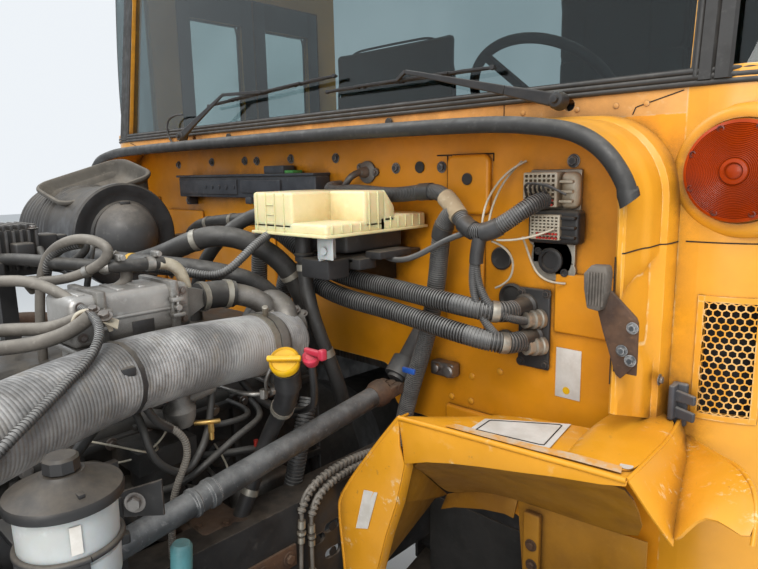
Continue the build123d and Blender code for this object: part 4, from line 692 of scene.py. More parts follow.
    M["yellow_cap"] = weathered(
        "yellow_cap", (0.85, 0.50, 0.008), (0.72, 0.40, 0.008), (0.92, 0.62, 0.08), rough=(0.3, 0.45), scale=14,
        bump=0.05, grime_and_shade_amount=0.5, dust_amount=0.1).material
    M["pink_cap"] = weathered(
        "dipstick_handle", (0.58, 0.035, 0.075), (0.42, 0.02, 0.05), (0.70, 0.11, 0.14), rough=(0.3, 0.5),
        scale=18, bump=0.05, grime_and_shade_amount=0.5, dust_amount=0.15).material
    M["brass"] = weathered("brass", (0.55, 0.36, 0.12), (0.36, 0.22, 0.07), (0.68, 0.50, 0.22), metallic=0.9,
                           rough=(0.3, 0.5), scale=30, bump=0.1, grime_and_shade_amount=0.4, dust_amount=0.1).material
    M["blue"] = weathered(
        "blue_plastic", (0.02, 0.10, 0.42), (0.012, 0.06, 0.28), (0.05, 0.17, 0.52), rough=(0.35, 0.5), scale=16,
        bump=0.05, grime_and_shade_amount=0.4, dust_amount=0.15).material
    M["tyre"] = weathered(
        "tyre_rubber", (0.024, 0.023, 0.022), (0.016, 0.016, 0.015), (0.05, 0.046, 0.042), rough=(0.62, 0.85),
        scale=9, grain=420, bump=0.2, grime_and_shade_amount=0.2, dust=(0.16, 0.13, 0.10), dust_amount=0.35).material
    # The wheelhouse yellow is the body yellow darkened to about half: painted shade under the shelf and fender.
    M["arch"] = weathered(
        "bus_yellow_arch_shaded", (0.44, 0.20, 0.012), (0.30, 0.13, 0.010), (0.52, 0.27, 0.04), rough=(0.4, 0.65),
        scale=6, grain=200, bump=0.15, grime_and_shade=(0.05, 0.02, 0.006), grime_and_shade_amount=0.9, dust=(0.32, 0.19, 0.08),
        dust_amount=0.3, speckle=0.5).material
    M["brake"] = weathered(
        "brake_line_green", (0.045, 0.065, 0.045), (0.03, 0.04, 0.03), (0.10, 0.12, 0.09), metallic=0.3,
        rough=(0.4, 0.6), scale=30, bump=0.1, grime_and_shade_amount=0.4, dust_amount=0.3).material
    M["cab_grey"] = weathered(
        "cab_grey", (0.075, 0.08, 0.085), (0.05, 0.055, 0.06), (0.12, 0.125, 0.13), rough=(0.5, 0.7), scale=6,
        grain=500, bump=0.25, grime_and_shade_amount=0.3, dust_amount=0.2).material
    M["landing"] = weathered(
        "bus_yellow_landing", body, [c * 0.88 for c in body], paler, rough=(0.32, 0.5), scale=4, grain=420,
        bump=0.04, grime_and_shade=(0.11, 0.04, 0.008), grime_and_shade_amount=0.85, dust=(0.66, 0.40, 0.15), dust_amount=0.3,
        wear=(0.84, 0.56, 0.24), speckle=0.3, Coat_Weight=0.15, Coat_Roughness=0.3).material
    M["splash"] = splash_paint(body)
    M["pale_paint"] = weathered(
        "worn_yellow", [c * 1.02 for c in body], [c * 0.85 for c in body], (0.85, 0.62, 0.34), rough=(0.4, 0.6),
        scale=20, bump=0.05, grime_and_shade_amount=0.6).material
    M["shadow"] = weathered(
        "dark_gap", (0.012, 0.010, 0.009), (0.006, 0.005, 0.005), (0.03, 0.025, 0.02), rough=(0.8, 0.95),
        scale=10, bump=0.1, grime_and_shade_amount=0, dust_amount=0).material
    M["zinc"] = weathered(
        "zinc_plate", (0.46, 0.44, 0.38), (0.28, 0.26, 0.22), (0.60, 0.58, 0.52), metallic=0.65,
        rough=(0.35, 0.55), scale=18, grain=300, bump=0.12, grime_and_shade=(0.10, 0.06, 0.03), grime_and_shade_amount=0.6,
        dust_amount=0.2).material
    M["ivory"] = weathered(
        "ivory_plastic", (0.60, 0.56, 0.46), (0.44, 0.39, 0.29), (0.72, 0.68, 0.58), rough=(0.4, 0.6), scale=22,
        bump=0.06, grime_and_shade=(0.16, 0.10, 0.05), grime_and_shade_amount=0.8, dust_amount=0.2).material
    M["red"] = weathered(
        "red_pins", (0.55, 0.03, 0.02), (0.35, 0.02, 0.015), (0.68, 0.10, 0.07), rough=(0.35, 0.5), scale=40,
        bump=0.03, grime_and_shade_amount=0.4).material
    M["dusty_blue"] = weathered(
        "dusty_moulding", (0.060, 0.066, 0.078), (0.036, 0.040, 0.050), (0.16, 0.165, 0.17), rough=(0.45, 0.7),
        scale=9, grain=350, bump=0.12, grime_and_shade_amount=0.4, dust=(0.33, 0.32, 0.30), dust_amount=0.6).material
    M["dusty_plastic"] = weathered(
        "grey_moulding", (0.070, 0.070, 0.072), (0.042, 0.042, 0.044), (0.17, 0.165, 0.155), rough=(0.42, 0.65),
        scale=9, grain=420, bump=0.15, grime_and_shade_amount=0.4, dust=(0.33, 0.29, 0.24), dust_amount=0.55).material
    M["funnel"] = weathered(
        "weathered_rubber", (0.105, 0.095, 0.080), (0.060, 0.054, 0.046), (0.21, 0.19, 0.16), rough=(0.6, 0.85),
        scale=11, grain=300, bump=0.25, grime_and_shade_amount=0.6, dust=(0.30, 0.26, 0.21), dust_amount=0.5).material
    M["grey_rubber"] = weathered(
        "grey_rubber", (0.15, 0.13, 0.11), (0.08, 0.07, 0.06), (0.26, 0.23, 0.20), rough=(0.65, 0.85), scale=24,
        grain=300, bump=0.3, grime_and_shade_amount=0.6).material
    M["green"] = weathered(
        "green_tag", (0.10, 0.42, 0.10), (0.05, 0.26, 0.06), (0.25, 0.55, 0.22), rough=(0.5, 0.7), scale=30,
        bump=0.05, grime_and_shade_amount=0.4).material
    M["tape"] = weathered(
        "black_tape", (0.045, 0.045, 0.046), (0.028, 0.028, 0.029), (0.10, 0.10, 0.10), rough=(0.35, 0.55),
        scale=18, grain=200, bump=0.25, grime_and_shade_amount=0.4, dust_amount=0.3).material
    M["cloth_tape"] = weathered(
        "cloth_tape", (0.50, 0.40, 0.27), (0.35, 0.27, 0.17), (0.64, 0.55, 0.42), rough=(0.75, 0.95), scale=20,
        grain=700, bump=0.5, grime_and_shade_amount=0.6).material
    M["worn_strip"] = weathered(
        "worn_strip", (0.62, 0.50, 0.36), (0.74, 0.33, 0.03), (0.78, 0.72, 0.62), rough=(0.6, 0.9), scale=28,
        grain=200, bump=0.3, grime_and_shade_amount=0.3).material
    M["lens_dark"] = weathered(
        "lens_screw", (0.16, 0.02, 0.008), (0.08, 0.01, 0.006), (0.30, 0.05, 0.02), rough=(0.3, 0.5), scale=40,
        bump=0.05, grime_and_shade_amount=0.5).material
    M["sleeve"] = silver_sleeve()
    M["wiper"] = weathered(
        "wiper_black", (0.020, 0.020, 0.021), (0.012, 0.012, 0.013), (0.05, 0.048, 0.045), rough=(0.35, 0.6),
        scale=20, bump=0.06, grime_and_shade_amount=0.2, dust_amount=0.25).material
    M["vinyl"] = vinyl()
    M["floor"] = ribbed_floor()
    # The windshield's dark teal tint also stands in for the dark cab behind it: partly glass tint, partly painted
    # shade.
    M["glass"] = glass("windshield_tint_and_cab_shade", (0.20, 0.275, 0.285), (0.235, 0.315, 0.325))
    M["clear_glass"] = glass("window_glass", (0.80, 0.87, 0.86), (0.86, 0.91, 0.90))
    M["lens"] = lens(paint.lens)
    M["fins"] = cooling_fins()


def splash_paint(body):
    """Yellow step panel, scuffed pale where boots rub it, stained along its middle and darkened by painted shade
    in its corners.
    """
    f = Finish("bus_yellow_step", Coat_Weight=0.15, Coat_Roughness=0.3)
    clouds = f.noise(4, 6, 0.6)
    tone = f.mix(f.ramp(clouds, 0.35, 0.65), [c * 0.88 for c in body], body)
    scuffs = f.noise(34, 8, 0.75, (1.0, 2.2, 1.0))
    where = f.ramp(f.noise(7, 3), 0.42, 0.62)
    tone = f.mix(f.math("MULTIPLY", f.ramp(scuffs, 0.56, 0.62, 0, 0.85), where), tone, (0.80, 0.60, 0.33))
    tone = f.mix(f.ramp(f.noise(60, 6, 0.7), 0.62, 0.72, 0, 0.6), tone, (0.34, 0.17, 0.05))
    # Painted shade: dark brown in corners and under other parts.
    shade_mask = f.math("SUBTRACT", 1.0, f.occlusion_shade())
    tone = f.mix(f.ramp(shade_mask, 0.15, 0.8, 0, 0.8), tone, (0.08, 0.032, 0.01))
    f.colour(tone).rough(f.noise(16, 5), 0.34, 0.62)
    f.bump(scuffs, 0.10, 0.0006)
    return f.material


def silver_sleeve():
    """Silver-painted fabric sleeve with brown dust and dark blotches; painted shade darkens it between the ribs,
    so the crests stay pale.
    """
    f = Finish("silver_sleeve", 0.12)
    tone = f.mix(f.ramp(f.noise(9, 6, 0.65), 0.35, 0.65), (0.19, 0.188, 0.186), (0.44, 0.435, 0.43))
    tone = f.mix(f.ramp(f.noise(30, 6, 0.7), 0.5, 0.72, 0, 0.7), tone, (0.27, 0.24, 0.20))
    # Painted shade: darker between the ribs and under other parts.
    shade_mask = f.math("SUBTRACT", 1.0, f.occlusion_shade(0.03))
    tone = f.mix(f.ramp(shade_mask, 0.1, 0.8, 0, 0.5), tone, (0.12, 0.11, 0.10))
    tone = f.mix(f.ramp(f.noise(4, 7, 0.7), 0.52, 0.66, 0, 0.75), tone, (0.10, 0.098, 0.095))
    weave = f.noise(900, 2)
    f.colour(tone).rough(f.noise(20), 0.5, 0.72)
    f.bump(weave, 0.25, 0.0004)
    return f.material


def vinyl():
    """Dark green-grey seat vinyl with a pebbled grain."""
    f = Finish("seat_vinyl", Sheen_Weight=0.15)
    cells = f.node("TexVoronoi")
    cells.inputs["Scale"].default_value = 420
    f.join(f.place, cells.inputs["Vector"])
    tone = f.mix(f.ramp(f.noise(5, 4), 0.35, 0.65), (0.020, 0.035, 0.032), (0.032, 0.052, 0.048))
    tone = f.mix(f.ramp(cells.outputs["Distance"], 0.1, 0.6, 0, 0.35), tone, (0.012, 0.020, 0.018))
    f.colour(tone).rough(f.noise(25), 0.38, 0.58).bump(cells.outputs["Distance"], 0.35, 0.0008)
    return f.material


def ribbed_floor():
    """Black floor rubber with narrow ribs along the bus."""
    f = Finish("floor_rubber")
    ribs = f.node("TexWave", wave_type="BANDS", bands_direction="X", wave_profile="SIN")
    ribs.inputs["Scale"].default_value = 25
    f.join(f.place, ribs.inputs["Vector"])
    tone = f.mix(f.ramp(f.noise(6, 5), 0.4, 0.65), (0.022, 0.022, 0.022), (0.075, 0.068, 0.06))
    f.colour(tone).rough(f.noise(20), 0.55, 0.85).bump(ribs.outputs["Fac"], 0.6, 0.002)
    return f.material


def glass(name, low, high):
    """Thin tinted safety glass with a little dust."""
    f = Finish(name, Transmission_Weight=1.0, IOR=1.45)
    f.colour(f.mix(f.ramp(f.noise(3, 5), 0.4, 0.7), low, high)).rough(f.noise(9, 5), 0.0, 0.012)
    return f.material


def lens(colour):
    """Clear-coated lens plastic, with painted shade darkening it between its rings."""
    f = Finish("lamp_lens", Coat_Weight=0.1, Coat_Roughness=0.15, Specular_IOR_Level=0.2)
    tone = f.mix(f.ramp(f.noise(12, 5), 0.35, 0.65), [c * 0.8 for c in colour], [c * 1.15 for c in colour])
    # Painted shade: the grooves between the rings are darkened.
    shade_mask = f.math("SUBTRACT", 1.0, f.occlusion_shade(0.006))
    tone = f.mix(f.ramp(shade_mask, 0.05, 0.6, 0, 0.9), tone, [c * 0.25 for c in colour])
    f.colour(tone).rough(f.noise(40), 0.3, 0.45)
    return f.material


def cooling_fins():
    """Fine horizontal fins of a radiator core."""
    f = Finish("radiator_fins", 0.3)
    fins = f.node("TexWave", wave_type="BANDS", bands_direction="Z", wave_profile="SAW")
    fins.inputs["Scale"].default_value = 60
    f.join(f.place, fins.inputs["Vector"])
    tone = f.mix(fins.outputs["Fac"], (0.02, 0.02, 0.02), (0.11, 0.105, 0.10))
    tone = f.mix(f.ramp(f.noise(12, 5), 0.45, 0.7, 0, 0.6), tone, (0.16, 0.13, 0.10))
    f.colour(tone).rough(f.noise(30), 0.5, 0.8).bump(fins.outputs["Fac"], 0.8, 0.002)
    return f.material


# What each carried-over part is finished in
WEARS = {
    "paint": "corner_panels side_walls windshield_frame roof door_front_leaf door_rear_leaf",
    "bay_paint": "firewall hood_landing splash_panels",
    "faded": "cowl_top",
    "black": "frame_rails crossmembers front_bumper front_springs front_axle_beam knuckle_left knuckle_right "
             "tie_rod pitman_arm drag_link rim_left rim_right",
    "iron": "steering_gear engine_block",
    "plastic": "valve_cover fan fan_shroud power_module",
    "fins": "radiator",
    "shaft": "steering_shaft",
    "rubber": "glass_gaskets hood_seal rubber_hoses",
    "tyre": "tyre_left tyre_right",
    "conduit": "heater_hoses wiring_looms",
    "casting": "intake_castings",
    "aluminium": "charge_air_pipe",
    "cream": "coolant_tank",
    "white": "steering_reservoir",
    "brake": "brake_lines",
    "cab_grey": "dashboard steering_wheel",
    "floor": "cab_floor",
    "vinyl": "driver_seat crash_barriers",
    "glass": "windshield_glass",
    "clear_glass": "door_glass_front door_glass_rear",
    "lens": "corner_lamps",
    "steel": "corner_grilles firewall_plates filler_and_dipstick",
    "rust": "hood_stops",
    "wiper": "wiper_left wiper_right air_cleaner",
}


class BAY_OT_finishes(bpy.types.Operator):
    """Make the finishes and put them on the frame's parts"""
    bl_idname = "bay.finishes"
    bl_label = "Finishes"

    def execute(self, context):
        make_finishes(context.scene.bay_paint)
        for finish, names in WEARS.items():
            for name in names.split():
                if name in nodes:
                    for slot in nodes[name].material_slots:
                        slot.material = M[finish]
        return {"FINISHED"}


# ---------------------------------------------------------------- bay walls

LANDING_HALF, LANDING_TOP, LANDING_LOW = 0.955, 0.852, 0.375
LANDING_CORNER, LANDING_CROWN = 0.14, 0.018


def arch(half, top, low, y):
    """The bay's outline: straight sides, round shoulders and a crowned top, from left to right."""
    r = LANDING_CORNER
    side = [(half, y, low + (top - r - low) * i / 22) for i in range(22)]
    turn = [(half - r + r * cos(a), y, top - r + r * sin(a)) for a in [radians(90 * i / 10) for i in range(11)]]
    flat = half - r
    crown = [(flat * (1 - i / 8), y, top + LANDING_CROWN * sin(pi / 2 * i / 8)) for i in range(1, 9)]
    left = side + turn + crown
    return left + [(-x, b, z) for x, b, z in reversed(left[:-1])]


class BAY_OT_landing(bpy.types.Operator):
    """Hood landing with its stepped outer edge, and the rubber hood seal"""
    bl_idname = "bay.landing"
    bl_label = "Hood landing"

    def execute(self, context):
        steps = [(-1.252, 0.017), (-1.396, -0.013), (-1.4, -0.009), (-1.4, -0.002), (-1.396, 0.001),
                 (-1.372, 0.0035), (-1.350, 0.006), (-1.337, 0.009), (-1.331, 0.0125), (-1.320, 0.0145),
                 (-1.306, 0.016), (-1.292, 0.0175), (-1.285, 0.026), (-1.272, 0.030), (-1.252, 0.0325)]
        outline = route("hood_landing_skin", arch(LANDING_HALF, LANDING_TOP, LANDING_LOW, steps[0][0]), 0, 2)
        outline.data.splines[0].resolution_u = 1
        pick(outline)
        bpy.ops.object.convert(target="MESH")
        skin_piece = bpy.context.object
        edit(bpy.context.object)

        def grow(offset):
            wide, tall = LANDING_HALF, LANDING_TOP - LANDING_LOW
            return (wide + offset) / wide, (tall + offset * 0.45) / tall

        first = grow(steps[0][1])
        bpy.ops.transform.resize(value=(first[0], 1, first[1]), center_override=(0, steps[0][0], LANDING_LOW))
        before = first
        for (y0, _), (y1, offset) in zip(steps, steps[1:]):
            bpy.ops.mesh.extrude_region_move(TRANSFORM_OT_translate={"value": (0, y1 - y0, 0)})
            now = grow(offset)
            bpy.ops.transform.resize(
                value=(now[0] / before[0], 1, now[1] / before[1]), center_override=(0, y1, LANDING_LOW))
            before = now
        for s in (1, -1):
            bpy.ops.mesh.select_all(action="DESELECT")
            done()
            for vertex in skin_piece.data.vertices:
                vertex.select = vertex.co.z < LANDING_LOW + 0.001 and vertex.co.x * s > 0
            bpy.ops.object.mode_set(mode="EDIT")
            bpy.ops.mesh.edge_face_add()
        face_out()
        for vertex in skin_piece.data.vertices:
            x, y, z = vertex.co
            if z < LANDING_LOW + 0.03:
                vertex.co.z -= (y + 1.401) * 0.32
            if abs(x) < LANDING_HALF - 0.001 or z > 0.66 or not -1.398 < y < -1.300:
                continue
            ramp = min(1.0, max(0.0, (0.606 + (y + 1.35) * 0.5 - z) / 0.020))
            foot = min(1.0, max(0.0, (z - 0.430 - (y + 1.35) * 0.3) / 0.045))
            edge = min(1.0, (y + 1.400) / 0.020, (-1.288 - y) / 0.016)
            vertex.co.x -= (0.0135 * ramp * foot * max(0.0, edge)) * (1 if x > 0 else -1)
        skin_piece.name = "hood_landing_skin"
        settle(skin_piece, 30)
        keep(skin_piece, "landing", replaces=["hood_landing"])
        y = -1.4163
        left = [(0.968, y, 0.722), (0.964, y, 0.741), (0.950, y, 0.768), (0.928, y, 0.797), (0.898, y, 0.820),
                (0.862, y, 0.835), (0.815, y, 0.843), (0.737, y, 0.852), (0.60, y, 0.855), (0.40, y, 0.857),
                (0.20, y, 0.858)]
        line = left + [(0, y, 0.858)] + [(-x, b, z) for x, b, z in reversed(left)]
        seal = smooth_hose("hood_seal_tube", line, 0.0145, 3)
        faces_where(seal, lambda face: len(face.vertices) > 8)
        bpy.ops.mesh.inset(thickness=0.005)
        bpy.ops.mesh.extrude_region_move(TRANSFORM_OT_translate={"value": (0, 0, 0.022)})
        done()
        for vertex in seal.data.vertices:
            if vertex.co.z < 0.74:
                vertex.co.z += (vertex.co.y - y) * 0.35 + (abs(vertex.co.x) - 0.966) * 0.45
        keep(seal, "rubber", replaces=["hood_seal"])
        hex_bolts("landing_bolts", [((s * 0.986, -1.297, 0.415), (s, 0, 0), 0.8) for s in (1, -1)])
        cracks = []
        for s in (1, -1):
            cracks.append(smooth_hose("crack",
                                      [(s * (LANDING_HALF + out + 0.0002), y, 0.641 + (y + 1.4) * 0.05)
                                       for y, out in steps[3:]], 0.0011, 2))
            cracks.append(smooth_hose("crack",
                                      [(s * (LANDING_HALF - 0.012), -1.4003, 0.425 + 0.03 * i) for i in range(8)],
                                      0.0010, 2))
        make("landing_joints", cracks, "shadow", "black_rubber")
        return {"FINISHED"}


# Firewall fittings: bolts, plugs, blank label, clips
BOLTS = [(-0.640, 0.810), (-0.435, 0.815), (-0.256, 0.814), (-0.196, 0.812), (-0.039, 0.814), (0.142, 0.811),
         (0.348, 0.782), (0.483, 0.782), (0.793, 0.788), (0.794, 0.552), (-0.75, 0.60), (-0.75, 0.42),
         (-0.62, 0.36)]
SCREWS = [(0.567, 0.319), (0.511, 0.259), (0.565, 0.260), (0.640, 0.345), (-0.40, 0.40), (-0.52, 0.31)]


class BAY_OT_firewall_fittings(bpy.types.Operator):
    """Bolts, plugs, pressed seams, a blank label and clips on the firewall"""
    bl_idname = "bay.firewall_fittings"
    bl_label = "Firewall fittings"

    def execute(self, context):
        y = FIREWALL_Y
        hex_bolts("firewall_bolts", [((x, y, z), FRONT, 1.0) for x, z in BOLTS], finish="shaft")
        round_rivets("firewall_screws", [((x, y, z), FRONT, 1.0) for x, z in SCREWS], 0.0075, "pale_paint")
        plugs = [disc("plug", (0.561, y - 0.014, 0.756), FRONT, 0.0125, 0.003, 28, 0.0008),
                 disc("plug", (0.421, y, 0.783), FRONT, 0.013, 0.004, 24, 0.001),
                 disc("plug", (0.158, y, 0.738), FRONT, 0.014, 0.005, 28, 0.0015),
                 turned("plug", [(0, 0.024), (0.004, 0.024), (0.006, 0.021), (0.004, 0.015), (0.004, 0)],
                        (0.640, y, 0.592), FRONT),
                 turned("plug", [(0, 0.030), (0.006, 0.030), (0.008, 0.026), (0.003, 0.022), (0.003, 0)],
                        (0.668, y, 0.512), FRONT),
                 turned("plug", [(0, 0.026), (0.006, 0.026), (0.008, 0.022), (0.003, 0.018), (0.003, 0)],
                        (0.655, y, 0.415), FRONT)]
        make("firewall_plugs", plugs, "rubber")
        flange = turned("flange",
                        [(0, 0.027), (0.005, 0.027), (0.008, 0.022), (0.010, 0.014), (0.028, 0.011),
                         (0.032, 0.008), (0.032, 0)], (0.256, y, 0.774), FRONT)
        ears = [disc("ear", (0.256 + dx, y, 0.774 + dz), FRONT, 0.010, 0.006, 20)
                for dx, dz in ((0.028, 0.0), (-0.024, 0.012))]
        stalk = smooth_hose(
            "stalk",
            [(0.256, y - 0.03, 0.774), (0.252, y - 0.055, 0.768), (0.238, y - 0.058, 0.748),
             (0.22, y - 0.056, 0.728), (0.21, y - 0.05, 0.70)], 0.008)
        make("speed_sensor_flange", [flange, *ears, stalk], "casting")
        hex_bolts("flange_bolts",
                  [((0.256 + dx, y - 0.006, 0.774 + dz), FRONT, 0.6)
                   for dx, dz in ((0.028, 0.0), (-0.024, 0.012))])
        tag = box("blank_label", (0.770, y - 0.0012, 0.322), (0.823, y - 0.0002, 0.424), 0.0003)
        keep(tag, "label")
        dot = disc("label_dot", (0.794, y - 0.0012, 0.338), FRONT, 0.0075, 0.0006, 24, 0)
        keep(dot, "yellow_cap")
        seams = [box("seam", (0.470, y - 0.0015, 0.806), (0.618, y, 0.8085), 0.0005),
                 box("seam", (0.498, y - 0.0015, 0.66), (0.5005, y, 0.806), 0.0005),
                 box("seam", (0.616, y - 0.0015, 0.792), (0.6185, y, 0.8085), 0.0005)]
        make("firewall_seams", seams, "shadow")
        ribs = []
        for x0, x1, z0, z1, proud in (
                (0.50, 0.672, 0.085, 0.242, 0.012), (0.765, 0.905, 0.455, 0.575, 0.009),
                (0.50, 0.60, 0.40, 0.64, 0.008), (-0.72, -0.50, 0.42, 0.66, 0.012),
                (-0.93, -0.78, 0.40, 0.70, 0.010), (-0.40, -0.12, 0.33, 0.62, 0.010)):
            ribs.append(box("pressing", (x0, y - proud, z0), (x1, y + 0.002, z1), proud * 0.98, 5))
        make("firewall_pressings", ribs, "bay_paint")
        clip = [box("clip", (0.470, y - 0.030, 0.312), (0.535, y - 0.0002, 0.345), 0.006, 3),
                turned("clip", [(0, 0.014), (0.006, 0.014), (0.009, 0.010), (0.009, 0)], (0.525, y - 0.03, 0.329),
                       FRONT, 24),
                turned("clip", [(0, 0.010), (0.010, 0.010), (0.012, 0.007), (0.012, 0)], (0.492, y - 0.03, 0.332),
                       FRONT, 24)]
        make("conduit_clip", clip, "steel")
        blue = box("blue_tag", (0.494, -1.405, 0.352), (0.527, -1.398, 0.364), 0.002)
        keep(blue, "blue")
        return {"FINISHED"}


class BAY_OT_plates(bpy.types.Operator):
    """Connector plate with its two multi-pin connectors, hose plate and tank shelf"""
    bl_idname = "bay.plates"
    bl_label = "Firewall plates"

    def execute(self, context):
        face = FIREWALL_Y - 0.0003
        back = face - 0.008
        plate = box("plate", (0.708, back, 0.640), (0.814, face, 0.773), 0.003)
        lobe = disc("plate", (0.757, face, 0.602), FRONT, 0.044, 0.008, 40)
        ear = disc("plate", (0.786, face, 0.580), FRONT, 0.022, 0.008, 32)
        ear2 = disc("plate", (0.722, face, 0.640), FRONT, 0.016, 0.008, 32)
        infill = box("plate", (0.715, back, 0.590), (0.806, face, 0.650), 0.003)
        plate_piece = joined("connector_plate", [plate, lobe, ear, ear2, infill])
        keep(plate_piece, "zinc", "bare_aluminium", replaces=["firewall_plates"])
        sockets = []
        for x0, x1, z0, z1, deep in ((0.712, 0.783, 0.703, 0.768, 0.036), (0.729, 0.792, 0.642, 0.690, 0.038)):
            shell = box("socket", (x0, back - deep, z0), (x1, back + 0.001, z1), 0.003, 3)
            faces_where(shell, lambda f: f.normal.y < -0.95 and f.area > 0.0008)
            bpy.ops.mesh.subdivide(number_cuts=6)
            bpy.ops.mesh.inset(thickness=0.0016, use_individual=True)
            bpy.ops.mesh.extrude_region_move(TRANSFORM_OT_translate={"value": (0, 0.009, 0)})
            done()
            sockets.append(settle(shell))
        make("connector_faces", sockets, "ivory")
        housing = [box("housing", (0.783, back - 0.026, 0.700), (0.818, back + 0.001, 0.768), 0.012, 4)]
        for i in range(3):
            z = 0.712 + i * 0.018
            housing.append(box("housing", (0.786, back - 0.033, z), (0.812, back - 0.02, z + 0.005), 0.001))
        make("upper_housing", housing, "ivory")
        lower = [box("housing", (0.720, back - 0.030, 0.634), (0.826, back + 0.001, 0.698), 0.008, 4)]
        for i in range(3):
            z = 0.645 + i * 0.018
            lower.append(box("housing", (0.794, back - 0.040, z), (0.822, back - 0.02, z + 0.006), 0.002))
        make("lower_housing", lower, "plastic")
        port = turned("port",
                      [(0, 0.025), (0.006, 0.025), (0.008, 0.022), (0.008, 0.018), (0.002, 0.0165), (0.002, 0.0)],
                      (0.757, back, 0.598), FRONT)
        holes = [turned("port", [(0, 0.0075), (0.003, 0.0075), (0.003, 0.005), (0.0005, 0.004), (0.0005, 0)],
                        (x, back, z), FRONT, 24)
                 for x, z in ((0.729, 0.615), (0.786, 0.576))]
        make("round_port", [port, *holes], "plastic")
        pins = []
        for row, (x0, x1, z) in enumerate(
                ((0.714, 0.780, 0.708), (0.714, 0.780, 0.716), (0.745, 0.790, 0.646), (0.745, 0.790, 0.654))):
            deep = 0.037 if row < 2 else 0.039
            pins += [disc("pin", (x0 + (x1 - x0) * (i + 0.5) / 7, back - deep, z), FRONT, 0.0022, 0.004, 10, 0)
                     for i in range(7)]
        make("connector_pins", pins, "red")
        blocks = []
        for i in range(5):
            blocks.append(smooth_hose("wire",
                                      [(0.722 + i * 0.012, back - 0.036, 0.722),
                                       (0.725 + i * 0.01, back - 0.062, 0.748 - i * 0.002),
                                       (0.752 + i * 0.006, back - 0.070, 0.752), (0.785, back - 0.062, 0.742),
                                       (0.812, back - 0.055, 0.728)], 0.0022))
        make("connector_wires", blocks, "conduit")
        grey = [box("pass_plate", (0.686, back, 0.372), (0.757, face, 0.538), 0.006, 3)]
        for x, z in ((0.705, 0.500), (0.722, 0.440)):
            grey.append(turned("neck", [(0, 0.026), (0.006, 0.026), (0.010, 0.021), (0.052, 0.0165), (0.0525, 0)],
                               (x, back, z), FRONT))
        make("hose_plate", grey, "plastic")
        fittings = []
        for x, z in ((0.738, 0.478), (0.742, 0.424)):
            profile = [(0, 0.020), (0.008, 0.020), (0.010, 0.017), (0.016, 0.017), (0.018, 0.019), (0.024, 0.019),
                       (0.026, 0.015), (0.034, 0.014), (0.036, 0.016), (0.042, 0.016), (0.044, 0.010),
                       (0.044, 0.0)]
            fittings.append(turned("fitting", profile, (x, back, z), (-0.35, -1, 0.05)))
        make("round_fittings", fittings, "zinc", "bare_aluminium")
        hex_bolts("plate_bolts",
                  [((x, back, z), FRONT, 0.75)
                   for x, z in ((0.694, 0.528), (0.750, 0.530), (0.694, 0.382), (0.750, 0.384))], finish="black")
        shelf = [box("shelf", (0.250, -1.470, 0.5885), (0.420, face, 0.5997), 0.002),
                 box("shelf", (0.325, -1.400, 0.520), (0.345, face, 0.590), 0.002)]
        make("tank_shelf", shelf, "black", "bare_aluminium")
        return {"FINISHED"}


class BAY_OT_power_module(bpy.types.Operator):
    """Flat power module on the firewall, with its cover, dots and cable ends"""
    bl_idname = "bay.power_module"
    bl_label = "Power module"

    def execute(self, context):
        y = FIREWALL_Y
        parts = [box("module", (-0.556, y - 0.052, 0.707), (0.118, y - 0.0003, 0.768), 0.004, 3),
                 box("module", (-0.560, y - 0.060, 0.768), (0.120, y - 0.0004, 0.775), 0.002),
                 box("module", (-0.545, y - 0.058, 0.716), (-0.225, y - 0.045, 0.760), 0.003),
                 box("module", (-0.205, y - 0.0585, 0.722), (-0.02, y - 0.045, 0.758), 0.002),
                 box("module", (-0.10, y - 0.050, 0.775), (-0.012, y - 0.01, 0.796), 0.003)]
        for i in range(5):
            parts.append(disc("module", (-0.388 + 0.038 * i, y - 0.058, 0.738), FRONT, 0.006, 0.003, 6, 0.0005))
        for i in range(6):
            parts.append(box("module", (-0.19 + i * 0.045, y - 0.054, 0.690),
                             (-0.162 + i * 0.045, y - 0.014, 0.709), 0.003))
        for x in (-0.556, 0.094):
            parts.append(box("module", (x, y - 0.03, 0.680), (x + 0.022, y - 0.0003, 0.709), 0.002))
        make("power_module_case", parts, "dusty_blue", replaces=["power_module"])
        tag = box("green_tag", (-0.034, y - 0.046, 0.7752), (0.022, y - 0.012, 0.783), 0.001)
        keep(tag, "green")
        hex_bolts("module_bolts",
                  [((-0.545, y - 0.03, 0.694), FRONT, 0.7), ((0.105, y - 0.03, 0.694), FRONT, 0.7)])
        return {"FINISHED"}


# ---------------------------------------------------------------- hoses and looms

HEATER = [mm((705, -1311, 500), (705, -1350, 500), (650, -1382, 510), (550, -1392, 522), (430, -1400, 534),
             (310, -1425, 548), (215, -1440, 600), (150, -1445, 640), (85, -1440, 650), (30, -1430, 600),
             (30, -1430, 331)),
          mm((722, -1311, 440), (722, -1350, 440), (670, -1384, 452), (570, -1396, 468), (460, -1412, 488),
             (350, -1436, 500), (255, -1446, 530), (190, -1440, 560), (120, -1430, 520), (120, -1430, 331))]
LOOM_DOWN = mm((596, -1356, 694), (566, -1350, 676), (548, -1340, 632), (538, -1335, 568), (527, -1334, 502),
               (510, -1334, 433), (486, -1334, 361), (462, -1334, 297), (437, -1334, 219), (420, -1330, 150))
LOOM_UP = mm((760, -1298.6, 716), (760, -1340, 716), (700, -1372, 655), (640, -1372, 655), (590, -1352, 705),
             (545, -1335, 735), (490, -1335, 731), (419, -1335, 722), (340, -1335, 728), (285, -1335, 732),
             (220, -1330, 725), (158, -1300, 738), (158, -1254.5, 738))
TANK_DOWN = mm((300, -1500, 589.7), (300, -1500, 545), (316, -1502, 480), (338, -1492, 415), (350, -1472, 345),
               (350, -1444, 270), (334, -1420, 200))
